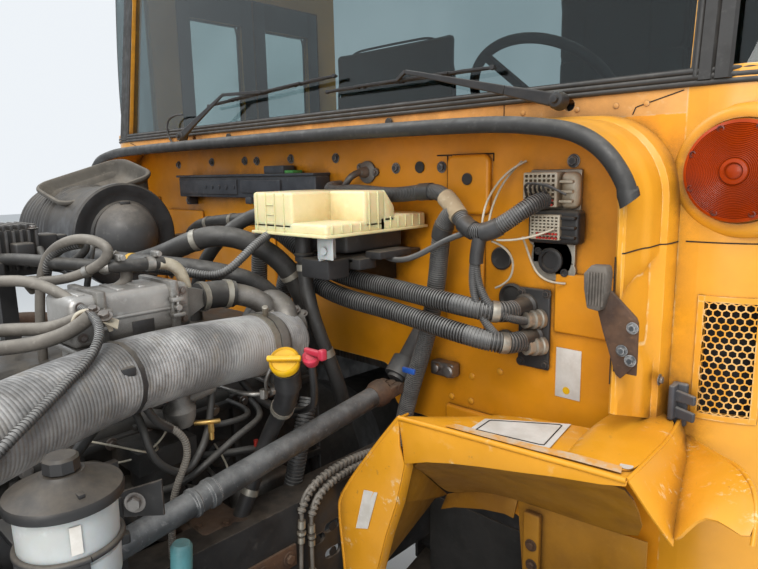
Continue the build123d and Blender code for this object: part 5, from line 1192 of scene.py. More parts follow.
TANK_SIDE = [(0.2165, -1.500, 0.692), (0.150, -1.500, 0.692), (0.070, -1.560, 0.650), (0.040, -1.620, 0.540),
             (0.040, -1.620, 0.4406)]


class BAY_OT_hoses(bpy.types.Operator):
    """Corrugated heater hoses, wiring looms and smooth rubber hoses with their clamps"""
    bl_idname = "bay.hoses"
    bl_label = "Hoses and looms"

    def execute(self, context):
        pitch = context.scene.bay_sizes.rib_pitch
        heater = [ribbed_hose("heater", line, 0.0205, pitch * 1.25, 0.0032, 22, 0.42) for line in HEATER]
        heater += [band("cuff", HEATER[0], 0.10, 0.05, 0.0195), band("cuff", HEATER[1], 0.11, 0.05, 0.0195)]
        make("heater_hose_conduits", heater, "conduit", "black_rubber", replaces=["heater_hoses"])
        looms = [ribbed_hose("loom", LOOM_DOWN, 0.0195, pitch, 0.0022),
                 ribbed_hose("loom", LOOM_UP, 0.0165, pitch * 0.9, 0.002)]
        branches = [mm((668, -1372, 650), (662, -1374, 625), (657, -1372, 583), (668, -1370, 544),
                       (692, -1366, 505), (722, -1335, 487), (728, -1300, 480)),
                    mm((664, -1372, 640), (650, -1376, 582), (658, -1376, 525), (684, -1372, 475),
                       (715, -1352, 440), (732, -1300, 427)),
                    mm((630, -1366, 654), (585, -1372, 640), (530, -1385, 600), (470, -1400, 585),
                       (430, -1390, 600))]
        looms += [ribbed_hose("branch", line, 0.0085, pitch * 0.8, 0.0012, 14) for line in branches[:2]]
        looms.append(smooth_hose("branch", branches[2], 0.006))
        make("loom_conduits", looms, "conduit", replaces=["wiring_looms"])
        tapes = [band("tape", LOOM_UP, 0.17, 0.034, 0.0185), band("tape", LOOM_UP, 0.245, 0.030, 0.0188),
                 band("tape", LOOM_UP, 0.46, 0.030, 0.0185), band("tape", branches[0], 0.12, 0.05, 0.0135),
                 band("tape", LOOM_DOWN, 0.10, 0.03, 0.0215)]
        make("loom_tape", tapes, "tape")
        cloth = band("tape", LOOM_UP, 0.335, 0.060, 0.0192)
        make("loom_cloth_tape", [cloth], "cloth_tape")
        white = [mm((700, -1262, 790), (675, -1285, 775), (655, -1310, 740), (652, -1340, 700),
                    (665, -1362, 665)),
                 mm((690, -1262, 790), (668, -1283, 760), (662, -1310, 725), (668, -1340, 690),
                    (680, -1362, 668)),
                 mm((690, -1366, 642), (712, -1330, 625), (704, -1300, 575), (678, -1290, 548),
                    (648, -1285, 535)),
                 mm((735, -1330, 648), (728, -1300, 625), (735, -1290, 575), (765, -1285, 558),
                    (790, -1262, 556)),
                 mm((700, -1366, 645), (735, -1340, 640), (765, -1310, 655), (785, -1302, 665))]
        make("loose_wires", [smooth_hose("wire", line, 0.0022) for line in white], "ivory")
        rubber = [smooth_hose("hose", TANK_DOWN, 0.016), smooth_hose("hose", TANK_SIDE, 0.0155)]
        more = [(mm((-200, -1720, 560), (-20, -1700, 575), (110, -1660, 640), (170, -1600, 650),
                    (230, -1520, 600), (250, -1470, 520), (260, -1450, 420), (260, -1450, 335)), 0.023),
                (mm((-300, -1740, 585), (-140, -1750, 585), (50, -1730, 585), (120, -1680, 580),
                    (200, -1600, 560), (240, -1530, 515), (240, -1520, 440)), 0.021),
                (mm((-460, -1300, 560), (-420, -1360, 580), (-360, -1380, 615), (-280, -1380, 640),
                    (-120, -1380, 652), (20, -1380, 664), (100, -1360, 672), (120, -1280, 672),
                    (120, -1256, 672)), 0.018)]
        rubber += [smooth_hose("hose", line, radius) for line, radius in more]
        make("rubber_hose_runs", rubber, "rubber", replaces=["rubber_hoses"])
        clamps = [band("clamp", TANK_DOWN, 0.04, 0.014, 0.0178), band("clamp", TANK_DOWN, 0.52, 0.016, 0.0178),
                  band("clamp", TANK_SIDE, 0.05, 0.014, 0.0172), band("clamp", more[0][0], 0.42, 0.012, 0.0250),
                  band("clamp", more[0][0], 0.72, 0.012, 0.0250), band("clamp", more[2][0], 0.34, 0.014, 0.0198),
                  band("clamp", more[2][0], 0.52, 0.014, 0.0198), band("clamp", HEATER[0], 0.045, 0.012, 0.0215),
                  band("clamp", HEATER[1], 0.05, 0.012, 0.0215), band("clamp", HEATER[0], 0.66, 0.012, 0.0222)]
        make("hose_clamps", clamps, "zinc")
        stripe = band("stripe", more[1][0], 0.40, 0.012, 0.0214)
        make("hose_stripe", [stripe], "yellow_cap")
        return {"FINISHED"}


# ---------------------------------------------------------------- intake side

CHARGE = mm((590, -2520, 420), (560, -2350, 446), (484, -2170, 463), (412, -1975, 472), (384, -1800, 462),
            (352, -1660, 445), (336, -1592, 437))


class BAY_OT_intake(bpy.types.Operator):
    """Charge pipe in its silver sleeve, the cooler box, elbow and turbine casting"""
    bl_idname = "bay.intake"
    bl_label = "Intake"

    def execute(self, context):
        pipe = ribbed_hose("charge_pipe_sleeve", CHARGE, 0.0595, 0.0062, 0.00045, 44, 0.6)
        keep(pipe, "sleeve", replaces=["charge_air_pipe"])
        tie = [band("tie", CHARGE, 0.59, 0.009, 0.0610),
               box("tie", (0.462, -1.998, 0.488), (0.480, -1.976, 0.502), 0.002)]
        make("pipe_tie", tie, "plastic")
        cooler = box("cooler", (0.215, -2.005, 0.502), (0.325, -1.790, 0.586), 0.014, 4)
        faces_where(cooler, lambda f: f.normal.y > 0.95 and f.area > 0.002)
        bpy.ops.mesh.extrude_region_move(TRANSFORM_OT_translate={"value": (0, 0.046, 0)})
        bpy.ops.transform.resize(value=(0.50, 1, 0.56))
        done()
        lid = box("cooler", (0.213, -1.990, 0.540), (0.327, -1.800, 0.547), 0.003)
        ribs = [box("cooler", (0.232, y, 0.583), (0.308, y + 0.014, 0.5885), 0.004, 3)
                for y in (-1.985, -1.918, -1.880)]
        tray = box("cooler", (0.205, -1.998, 0.488), (0.335, -1.800, 0.500), 0.004)
        legs = [box("cooler", (0.212, y, 0.330), (0.240, y + 0.034, 0.505), 0.006) for y in (-1.985, -1.850)]
        make("cooler_box", [settle(cooler), lid, tray, *ribs, *legs], "bright_casting",
             replaces=["intake_castings"])
        straps = []
        for y in (-1.955, -1.825):
            straps += [box("strap", (0.209, y - 0.008, 0.492), (0.331, y + 0.008, 0.592), 0.003),
                       disc("strap", (0.331, y, 0.545), LEFT, 0.006, 0.012, 20),
                       box("strap", (0.327, y - 0.012, 0.528), (0.342, y + 0.012, 0.536), 0.002),
                       box("strap", (0.327, y - 0.012, 0.556), (0.342, y + 0.012, 0.564), 0.002),
                       smooth_hose("strap", [(0.337, y, 0.528), (0.339, y, 0.548), (0.337, y, 0.566)], 0.003)]
        make("cooler_straps", straps, "tinned")
        badge = [box("badge", (0.3235, -1.905, 0.508), (0.3262, -1.866, 0.532), 0.0008)]
        make("cooler_blank_plate", badge, "plastic")
        elbow = mm((270, -1746, 543), (270, -1700, 543), (280, -1655, 540), (300, -1610, 515), (305, -1590, 480))
        hose = smooth_hose("elbow_hose", stretch(elbow, 0, 0.42), 0.027, 3)
        keep(hose, "rubber")
        metal = smooth_hose("elbow", stretch(elbow, 0.36, 1.0), 0.022, 3)
        turbo = turned("turbo",
                       [(-0.052, 0), (-0.052, 0.030), (-0.046, 0.046), (-0.02, 0.060), (0.0, 0.064),
                        (0.022, 0.058), (0.036, 0.046), (0.040, 0.030), (0.062, 0.028), (0.062, 0)],
                       (0.292, -1.580, 0.452), (0.35, 0.75, 0.25), 40)
        volute = smooth_hose(
            "turbo",
            [(0.292 + 0.064 * cos(a), -1.580 - 0.020 + 0.022 * sin(a), 0.452 + 0.062 * sin(a))
             for a in [radians(d) for d in range(-40, 300, 34)]], 0.024)
        post = box("turbo", (0.235, -1.605, 0.330), (0.300, -1.545, 0.420), 0.010, 3)
        cone = turned("turbo",
                      [(0, 0.0), (0, 0.0625), (0.012, 0.0635), (0.020, 0.0635), (0.024, 0.060), (0.070, 0.050),
                       (0.105, 0.045), (0.105, 0)],
                      (0.3555, -1.671, 0.4464), (-0.21, 0.95, -0.112), 44)
        make("turbo_casting", [metal, turbo, volute, post, cone], "casting")
        clamps = [band("clamp", elbow, 0.05, 0.012, 0.0292), band("clamp", elbow, 0.34, 0.012, 0.0292),
                  band("clamp", CHARGE, 0.905, 0.016, 0.0622),
                  disc("clamp", (0.368, -1.66, 0.505), (0.4, -0.3, 0.85), 0.006, 0.022, 16)]
        make("intake_clamps", clamps, "zinc")
        bolts = [((0.330, -1.575 + 0.02 * i, 0.505 - 0.012 * i), (0.5, -0.3, 0.8), 0.8) for i in range(3)]
        bolts += [((0.325, y, z), LEFT, 0.6) for y in (-1.988, -1.808) for z in (0.520, 0.572)]
        hex_bolts("casting_bolts", bolts)
        return {"FINISHED"}


DRUM = Vector((-0.330, -1.600, 0.615))
DRUM_RADIUS = 0.135
MOUTH = Vector((-0.510, -1.594, 0.767))


class BAY_OT_air_cleaner(bpy.types.Operator):
    """Air cleaner drum with its dome, rubber funnel, strap and bracket"""
    bl_idname = "bay.air_cleaner"
    bl_label = "Air cleaner"

    def execute(self, context):
        r = DRUM_RADIUS
        profile = [(0.010, 0.0), (0.010, 0.092), (0.004, 0.097), (0.004, 0.112), (0.008, 0.120),
                   (0.008, r + 0.003), (0.004, r + 0.008), (-0.020, r + 0.008), (-0.026, r + 0.003), (-0.034, r),
                   (-0.190, r - 0.002)]
        x = -0.200
        for _ in range(9):
            profile += [(x, r - 0.002), (x - 0.008, r + 0.004), (x - 0.016, r + 0.004), (x - 0.022, r - 0.002)]
            x -= 0.024
        profile += [(-0.425, r - 0.004), (-0.440, r - 0.020), (-0.440, 0.0)]
        drum = turned("drum", [(-a, b) for a, b in profile], DRUM, RIGHT, 64)
        bracket = box("drum", (-0.630, -1.475, 0.520), (-0.580, -1.2505, 0.580), 0.004)
        strap = smooth_hose(
            "drum",
            [(-0.605, -1.600 + (r + 0.004) * cos(a), 0.615 + (r + 0.004) * sin(a))
             for a in [radians(d) for d in range(0, 361, 20)]], 0.006)
        make("air_cleaner_drum", [drum, bracket, strap], "plastic", replaces=["air_cleaner"])
        dome = turned("dome",
                      [(0.0, 0.0885), (0.010, 0.0875), (0.014, 0.083), (0.030, 0.077), (0.050, 0.064),
                       (0.066, 0.044), (0.076, 0.020), (0.078, 0)], DRUM + Vector((0.004, 0, 0.004)), LEFT, 56)
        knob = turned("dome",
                      [(0, 0.026), (0.010, 0.024), (0.016, 0.022), (0.018, 0.019), (0.013, 0.015), (0.013, 0.008),
                       (0.016, 0.006), (0.016, 0)],
                      DRUM + Vector((0.050, -0.012, -0.030)), (0.9, -0.12, -0.36), 40)
        latch = [box("dome", (DRUM.x + 0.006, DRUM.y - 0.016, DRUM.z + 0.086),
                     (DRUM.x + 0.020, DRUM.y + 0.012, DRUM.z + 0.095), 0.002)]
        make("air_cleaner_dome", [dome, knob, *latch], "dusty_plastic")
        clear()
        bpy.ops.mesh.primitive_plane_add(size=1)
        funnel = called("funnel")
        funnel.scale = (0.190, 0.275, 1)
        bake(funnel)
        edit(bpy.context.object)
        bpy.ops.mesh.bevel(offset=0.045, segments=7, affect="VERTICES")
        bpy.ops.mesh.select_mode(type="FACE")
        bpy.ops.mesh.select_all(action="SELECT")
        bpy.ops.mesh.delete(type="ONLY_FACE")
        bpy.ops.mesh.select_mode(type="EDGE")
        bpy.ops.mesh.select_all(action="SELECT")
        bpy.ops.transform.resize(value=(0.66, 0.70, 1))
        bpy.ops.transform.translate(value=(0.03, 0.02, -0.085))
        for value, size in (
                ((-0.012, -0.01, 0.045), (1.20, 1.18, 1)), ((-0.014, -0.008, 0.025), (1.14, 1.12, 1)),
                ((-0.004, -0.002, 0.004), (1.13, 1.10, 1)), ((0, 0, 0.007), (1.025, 1.02, 1)),
                ((0, 0, 0.007), (0.985, 0.99, 1)), ((0, 0, 0.002), (0.93, 0.95, 1)),
                ((0, 0, -0.007), (0.95, 0.965, 1)), ((0.004, 0.004, -0.030), (0.88, 0.90, 1)),
                ((0.004, 0.004, -0.012), (0.82, 0.86, 1)), ((0, 0, -0.004), (0.55, 0.70, 1)),
                ((0, 0, -0.020), (0.9, 0.95, 1))):
            bpy.ops.mesh.extrude_region_move(TRANSFORM_OT_translate={"value": value})
            bpy.ops.transform.resize(value=size)
        bpy.ops.mesh.edge_face_add()
        face_out()
        across = Vector((0.180, 0.013, -0.050)).normalized()
        along = Vector((0.0, 0.262, 0.080)).normalized()
        up = across.cross(along).normalized()
        funnel.matrix_world = Matrix.Translation(MOUTH) @ Matrix(
            (across, up.cross(across), up)).transposed().to_4x4()
        settle(funnel, 45)
        use(funnel, "SUBSURF", levels=1, render_levels=1)
        make("air_funnel", [funnel], "funnel")
        return {"FINISHED"}


class BAY_OT_tank(bpy.types.Operator):
    """Ribbed cream coolant tank with its cut-away corner, seam lip and caps"""
    bl_idname = "bay.tank"
    bl_label = "Coolant tank"

    def execute(self, context):
        x0, x1, y0, step, y1 = 0.217, 0.449, -1.568, -1.398, -1.266
        parts = [box("tank", (x0, y0, 0.648), (x1, step, 0.676), 0.006, 3),
                 box("tank", (x0, y0, 0.66), (0.348, step, 0.737), 0.007, 3),
                 box("tank", (x0, -1.462, 0.66), (x1, step, 0.737), 0.007, 3),
                 box("tank", (x0, step - 0.02, 0.648), (x1, y1, 0.684), 0.006, 3),
                 box("tank", (x0 - 0.004, y0 - 0.004, 0.650), (x1 + 0.004, y1 + 0.004, 0.656), 0.0015)]
        slope = box("tank", (x0 + 0.004, step - 0.006, 0.67), (x1, step + 0.028, 0.737), 0.004)
        faces_where(slope, lambda f: f.normal.y > 0.9)
        done()
        for vertex in slope.data.vertices:
            if vertex.co.y > step and vertex.co.z > 0.70:
                vertex.co.z -= (vertex.co.y - step) * 1.3
        parts.append(slope)
        for i in range(4):
            x = x0 + 0.014 + i * 0.030
            parts.append(box("tank", (x, y0 - 0.0025, 0.657), (x + 0.003, y0 + 0.004, 0.735), 0.001))
        for i in range(6):
            y = y0 + 0.014 + i * 0.026
            top = 0.674 if y < -1.46 else 0.735
            parts.append(box("tank", (x1 - 0.004, y, 0.657), (x1 + 0.0025, y + 0.003, top), 0.001))
        for i in range(5):
            y = step + 0.012 + i * 0.024
            parts.append(box("tank", (x1 - 0.004, y, 0.657), (x1 + 0.0025, y + 0.003, 0.682), 0.001))
        for z in (0.672, 0.690, 0.710):
            parts.append(box("tank", (x0 + 0.048, y0 - 0.002, z), (x0 + 0.072, y0 + 0.002, z + 0.0022), 0.0006))
        # A dark grey block under the tank's rim: painted shade beneath the tank.
        shaded_underside = box("shaded_underside", (0.250, -1.470, 0.606), (0.400, -1.290, 0.652), 0.008, 3)
        make("tank_shaded_underside", [shaded_underside], "dusty_plastic")
        outlets = [turned("tank",
                          [(0, 0.020), (0.010, 0.020), (0.012, 0.022), (0.016, 0.022), (0.018, 0.019),
                           (0.064, 0.019), (0.064, 0)], (0.300, -1.500, 0.588), UP, 32),
                   turned("tank", [(0, 0.017), (0.016, 0.017), (0.016, 0)], (0.2165, -1.500, 0.692), RIGHT, 28)]
        cap = turned("tank", [(0, 0.030), (0.004, 0.033), (0.020, 0.033), (0.024, 0.028), (0.024, 0.0)],
                     (0.285, -1.335, 0.683), UP, 18)
        make("tank_outlets", [settle(piece) for piece in outlets], "plastic")
        make("coolant_tank_body", parts, "cream", replaces=["coolant_tank"])
        make("coolant_cap", [cap], "plastic")
        tab = [box("tab", (0.395, -1.545, 0.604), (0.440, -1.541, 0.650), 0.002),
               box("tab", (0.398, -1.545, 0.600), (0.402, -1.500, 0.650), 0.001),
               disc("tab", (0.418, -1.546, 0.622), FRONT, 0.008, 0.004, 20)]
        make("tank_tab", tab, "white")
        under = [box("under", (0.330, -1.535, 0.560), (0.415, -1.475, 0.600), 0.004),
                 box("under", (0.426, -1.44, 0.596), (0.470, -1.34, 0.612), 0.003),
                 box("under", (0.36, -1.47, 0.575), (0.44, -1.42, 0.598), 0.003)]
        make("tank_sensor", under, "plastic")
        return {"FINISHED"}


RESERVOIR = Vector((0.641, -2.145, 0.322))


class BAY_OT_reservoir(bpy.types.Operator):
    """Power steering reservoir with its conical lid, bands and bracket"""
    bl_idname = "bay.reservoir"
    bl_label = "Steering reservoir"

    def execute(self, context):
        can = turned("can",
                     [(0, 0), (0, 0.048), (0.006, 0.052), (0.040, 0.0535), (0.042, 0.052), (0.046, 0.0535),
                      (0.105, 0.0545), (0.105, 0)], RESERVOIR, UP, 56)
        make("reservoir_can", [can], "white", "white_plastic", replaces=["steering_reservoir"])
        lid = turned("lid",
                     [(0.100, 0.0575), (0.102, 0.0625), (0.110, 0.0632), (0.114, 0.0615), (0.1155, 0.058),
                      (0.130, 0.026), (0.134, 0.023), (0.134, 0)], RESERVOIR, UP, 64)
        grip = disc("lid", RESERVOIR + Vector((0, 0, 0.1335)), UP, 0.0195, 0.0002, 8, 0)
        knob = turned("lid", [(0.1335, 0.0165), (0.136, 0.0205), (0.149, 0.0195), (0.152, 0.0165), (0.1525, 0.0)],
                      RESERVOIR, UP, 10)
        rib = [box("lid", (RESERVOIR.x + 0.026, RESERVOIR.y - 0.0035, RESERVOIR.z + 0.118),
                   (RESERVOIR.x + 0.052, RESERVOIR.y + 0.0035, RESERVOIR.z + 0.123), 0.001)]
        bands = []
        for angle in (-100, -55, -10, 175):
            a = radians(angle)
            at = RESERVOIR + Vector((0.0545 * cos(a), 0.0545 * sin(a), 0.0))
            slat = box("lid", (-0.009, -0.0025, 0.0), (0.009, 0.0025, 0.052), 0.001)
            slat.rotation_euler = (0, 0, a + pi / 2)
            slat.location = at
            bands.append(settle(slat))
        make("reservoir_lid", [lid, grip, knob, *rib], "lid")
        arm = [box("arm", (0.430, -2.170, 0.311), (0.690, -2.120, 0.3215), 0.002),
               box("arm", (0.430, -2.170, 0.060), (0.440, -2.120, 0.320), 0.002)]
        hoop = smooth_hose(
            "arm",
            [RESERVOIR + Vector((0.0565 * cos(a), 0.0565 * sin(a), 0.050))
             for a in [radians(d) for d in range(0, 361, 20)]], 0.004)
        make("reservoir_cradle", [*arm, hoop, *bands], "plastic")
        tag = skin("reservoir_tag",
                   [[(RESERVOIR.x + 0.0556 * cos(a), RESERVOIR.y + 0.0556 * sin(a), z)
                     for a in (radians(-18), radians(-12), radians(-6))]
                    for z in (RESERVOIR.z + 0.060, RESERVOIR.z + 0.092)], 0.0006)
        keep(tag, "label")
        plate = [skin("plate",
                      [mm((546, -2052, 322), (591, -2006, 322)), mm((546, -2052, 356), (591, -2006, 374))], 0.005,
                      0.001),
                 box("plate", (0.436, -2.056, 0.318), (0.556, -2.046, 0.352), 0.002),
                 box("plate", (0.431, -2.056, 0.10), (0.444, -2.00, 0.352), 0.002)]
        make("reservoir_bracket", plate, "black")
        hex_bolts("bracket_bolts", [((0.566, -2.034, 0.343), (0.7, -0.7, 0), 1.15)])
        return {"FINISHED"}


class BAY_OT_filler(bpy.types.Operator):
    """Oil filler with its yellow cap, and the dipstick with its pink handle"""
    bl_idname = "bay.filler"
    bl_label = "Oil filler and dipstick"

    def execute(self, context):
        tip = Vector((0.499, -1.719, 0.449))
        lean = Vector((0.45, -0.50, 0.74)).normalized()
        neck = [tuple(tip - lean * 0.002), tuple(tip - lean * 0.02), (0.484, -1.702, 0.400),
                (0.468, -1.694, 0.368), (0.420, -1.684, 0.315), (0.392, -1.694, 0.262), (0.388, -1.716, 0.205),
                (0.386, -1.738, 0.160), (0.380, -1.752, 0.126)]
        tubes = [smooth_hose("neck", stretch(neck, 0, 0.36), 0.021),
                 smooth_hose("neck", stretch(neck, 0.30, 1.0), 0.0155), band("neck", neck, 0.10, 0.040, 0.0245),
                 smooth_hose("neck",
                             [(0.531, -1.686, 0.448), (0.526, -1.678, 0.400), (0.510, -1.664, 0.362),
                              (0.470, -1.640, 0.335), (0.380, -1.604, 0.290), (0.2603, -1.604, 0.290)], 0.0065)]
        make("filler_tubes", tubes, "plastic", "black_rubber", replaces=["filler_and_dipstick"])
        cap = turned("cap",
                     [(-0.004, 0.0), (-0.004, 0.0265), (0.004, 0.0275), (0.010, 0.0270), (0.013, 0.0245),
                      (0.010, 0.0215), (0.010, 0)], tip, lean, 40)
        handle = box("cap", (-0.030, -0.005, 0.010), (0.030, 0.005, 0.020), 0.003, 3)
        handle.rotation_euler = facing(lean)
        handle.location = tip
        settle(handle)
        make("filler_cap", [cap, handle], "yellow_cap")
        clamp = [band("clamp", neck, 0.33, 0.010, 0.0225), band("clamp", neck, 0.86, 0.012, 0.0175)]
        make("filler_clamps", clamp, "zinc")
        top = Vector((0.531, -1.686, 0.452))
        grip = [turned("grip",
                       [(-0.006, 0.012), (0.004, 0.016), (0.010, 0.016), (0.014, 0.013), (0.011, 0.009),
                        (0.011, 0)], top, (0.3, -0.4, 0.86), 28),
                box("grip", (0.516, -1.692, 0.462), (0.566, -1.682, 0.474), 0.004, 3),
                box("grip", (0.556, -1.694, 0.458), (0.568, -1.680, 0.478), 0.004, 3)]
        make("dipstick_handle", grip, "pink_cap")
        return {"FINISHED"}


class BAY_OT_steering(bpy.types.Operator):
    """Steering shaft with its collar, slip joint and universal joint"""
    bl_idname = "bay.steering"
    bl_label = "Steering shaft"

    def execute(self, context):
        joint, low = Vector((0.420, -1.358, 0.292)), Vector((0.478, -2.120, 0.222))
        down = (low - joint).normalized()
        length = (low - joint).length
        profile = [(0.060, 0.0), (0.060, 0.0205), (0.066, 0.0225), (0.495, 0.0225), (0.498, 0.0255),
                   (0.510, 0.0255), (0.514, 0.0225), (0.532, 0.0225), (0.535, 0.025), (0.541, 0.025),
                   (0.544, 0.0215), (length - 0.085, 0.0215), (length - 0.080, 0.027), (length - 0.050, 0.027),
                   (length - 0.046, 0.022), (length - 0.001, 0.022), (length - 0.001, 0)]
        shaft = turned("shaft", profile, joint, down, 36)
        make("steering_shaft_tube", [shaft], "shaft", body="steering_shaft", replaces=["steering_shaft"])
        yoke = turned("yoke",
                      [(0.030, 0.0), (0.030, 0.024), (0.036, 0.030), (0.052, 0.030), (0.062, 0.026),
                       (0.072, 0.0235), (0.072, 0)], joint, down, 32)
        arms = []
        side = down.cross(Vector((0, 0, 1))).normalized()
        for s in (-1, 1):
            arm = box("yoke", (-0.007, -0.014, -0.006), (0.007, 0.014, 0.038), 0.005, 3)
            arm.rotation_euler = facing(down)
            arm.location = joint + side * s * 0.022
            arms += [settle(arm), disc("yoke", joint + side * s * 0.013, side * s, 0.013, 0.017, 24, 0.002)]
        cross = [disc("yoke", joint - down.cross(side) * 0.012, down.cross(side), 0.011, 0.024, 20, 0.002),
                 turned("yoke", [(-0.012, 0), (-0.012, 0.010), (0, 0.014), (0.012, 0.010), (0.012, 0)], joint,
                        down, 20)]
        make("shaft_yoke", [yoke, *arms, *cross], "rust", body="steering_shaft")
        return {"FINISHED"}


# ---------------------------------------------------------------- body panels beside the bay

def on_face(points, lift=0.0):
    """Points (x, z) on the splash panel's front face, which leans back towards the middle."""
    return [(x, -1.487 + 0.09 * (x - 1.02) + lift, z) for x, z in points]


LEG_OUTER = [(0.444, -0.130), (0.444, -0.067), (0.430, 0.066), (0.436, 0.105), (0.539, 0.248), (0.591, 0.312)]
LEG_INNER = [(0.512, -0.130), (0.529, -0.039), (0.555, 0.054), (0.581, 0.128), (0.600, 0.205), (0.604, 0.222)]
TOP_EDGE = [(0.591, 0.312), (0.655, 0.3128), (0.705, 0.313), (0.77, 0.313), (0.841, 0.313), (0.90, 0.313),
            (0.975, 0.313), (1.014, 0.313)]
ARCH_EDGE = [(0.604, 0.222), (0.655, 0.240), (0.705, 0.252), (0.77, 0.264), (0.841, 0.275), (0.90, 0.285),
             (0.975, 0.295), (1.012, 0.303)]


class BAY_OT_splash(bpy.types.Operator):
    """Splash panels: step shelf with its raised pad, wheel arch, leg and outer flare"""
    bl_idname = "bay.splash"
    bl_label = "Splash panels"

    def execute(self, context):
        outer, inner, top, under = on_face(LEG_OUTER), on_face(LEG_INNER), on_face(TOP_EDGE), on_face(ARCH_EDGE)
        crease = on_face(
            [(a * 0.42 + b * 0.58, c * 0.42 + d * 0.58) for (a, c), (b, d) in zip(LEG_OUTER, LEG_INNER)], -0.007)
        panels = [skin("leg", [outer, crease, inner], 0.005, 0.0012),
                  skin("face",
                       [under,
                        on_face([((a + b) / 2, (c + d) / 2) for (a, c), (b, d) in zip(TOP_EDGE, ARCH_EDGE)],
                                0.001), top], 0.005, 0.0012),
                  skin("lip", [outer, [(x - 0.004, y + 0.034, z - 0.002) for x, y, z in outer]], 0.005, 0.0012),
                  skin("lip", [inner, [(x + 0.004, y + 0.022, z) for x, y, z in inner]], 0.004, 0.001),
                  smooth_hose("edge", top[:-1] + [(1.012, -1.4885, 0.3125)], 0.0052, 3),
                  smooth_hose("edge", outer, 0.0045, 3)]
        rear = mm((630, -1494, 312.8), (690, -1444, 313), (733, -1396, 313), (790, -1370, 313), (840, -1356, 313),
                  (893, -1343, 313), (955, -1300, 312), (1014, -1252, 308))
        middle = between(top, rear, (0, 0, 0.001))
        panels.append(skin("shelf", [top, middle, rear], 0.005, 0.0012))
        pad = [mm((908, -1484, 314), (918, -1478, 316.5), (965, -1476, 317), (1014, -1474, 316.5)),
               mm((897, -1410, 314), (909, -1410, 326), (960, -1410, 328), (1018, -1410, 324)),
               mm((889, -1345, 314), (901, -1340, 334), (955, -1335, 337), (1020, -1325, 331)),
               mm((900, -1262, 316), (912, -1262, 342), (958, -1258, 345), (1010, -1262, 340))]
        panels.append(skin("pad", pad, 0.004, 0.001, 2))
        crest = mm((1013, -1488.5, 314), (1016, -1470, 317.2), (1019, -1410, 324.5), (1021, -1325, 331.2),
                   (1012, -1258, 340))
        panels.append(smooth_hose("edge", crest, 0.0034, 3))
        tip = mm((1073, -1455, 213), (1066, -1430, 242), (1056, -1380, 272), (1045, -1318, 294),
                 (1022, -1253.5, 304))
        wing = between(crest, tip, (-0.001, 0, -0.001))
        panels.append(skin("slope", [crest, wing, tip], 0.005, 0.001))
        mid = mm((1113, -1450, 280), (1102, -1395, 302), (1080, -1335, 306), (1052, -1288, 304),
                 (1024, -1253, 306))
        outer_edge = mm((1175.5, -1452.5, 257), (1175.5, -1428, 310), (1142, -1372, 328), (1086, -1312, 314),
                        (1028, -1252.5, 305))
        inner_mid = between(tip, mid, (0, 0, 0.003))
        outer_mid = between(mid, outer_edge, (0, 0, 0.005), 0.55)
        panels.append(skin("flare", [tip, inner_mid, mid, outer_mid, outer_edge], 0.005, 0.001, 1))
        panels.append(smooth_hose("edge", outer_edge, 0.0036, 3))
        pair("splash_panel_left", "splash_panel_right", panels, "splash", replaces=["splash_panels"])
        self.wheelhouse()
        self.markings()
        return {"FINISHED"}

    def wheelhouse(self):
        """The arched sheet under the shelf, the wall beside it and its bolted post."""
        front = on_face(ARCH_EDGE, 0.004)
        fold = mm((535, -1300, 42), (590, -1300, 70), (640, -1300, 86), (690, -1300, 94), (720, -1300, 96),
                  (800, -1300, 100), (900, -1300, 105), (985, -1300, 110))
        middle = between(front, fold, (0, 0, 0.012))
        hang = mm((520, -1303, 0), (557, -1303, 19), (636, -1303, 44), (690, -1303, 54), (712, -1303, 52),
                  (730, -1303, 36), (736, -1303, -45), (737, -1303, -125))
        wall = mm((720, -1300, 96), (800, -1300, 100), (900, -1300, 105), (985, -1300, 110))
        low = mm((740, -1300, -128), (820, -1300, -128), (900, -1300, -128), (985, -1300, -128))
        side_front = mm((529, -1520, -36), (581, -1512, 128), (604, -1508, 220))
        side_rear = mm((470, -1303, -20), (500, -1303, 20), (535, -1300, 42))
        parts = [skin("arch", [front, middle, fold], 0.004, 0, 1),
                 skin("hang", [fold[:5], hang[:5]], 0.004, 0.001), skin("wall", [wall, low], 0.004, 0.001),
                 skin("hang", [side_front, side_rear], 0.004, 0.001)]
        # The wheelhouse sheets and post wear the darkened arch yellow, which is painted shade.
        pair("wheelhouse_left", "wheelhouse_right", parts, "arch")
        post = box("post", (0.742, -1.318, -0.128), (0.778, -1.301, 0.086), 0.004, 3)
        tab = box("post", (0.905, -1.312, 0.165), (0.930, -1.301, 0.215), 0.003)
        pair("wheelhouse_post", "wheelhouse_post_right", [post, tab], "arch")
        hex_bolts("wheelhouse_bolts",
                  [((0.762, -1.318, 0.018), FRONT, 1.0), ((0.764, -1.318, -0.026), FRONT, 1.0),
                   ((0.874, -1.302, 0.120), FRONT, 0.9)], finish="rust")
        # Black rubber aprons close the gap between rail and wheelhouse and stand in for the shade under the cab
        # floor: painted shade.
        shade_apron = [box("shade_apron", (min(s * 0.432, s * 1.02), -1.236, -0.44),
                     (max(s * 0.432, s * 1.02), -1.231, -0.02), 0.002)
                 for s in (1, -1)]
        make("shade_aprons", shade_apron, "tyre")

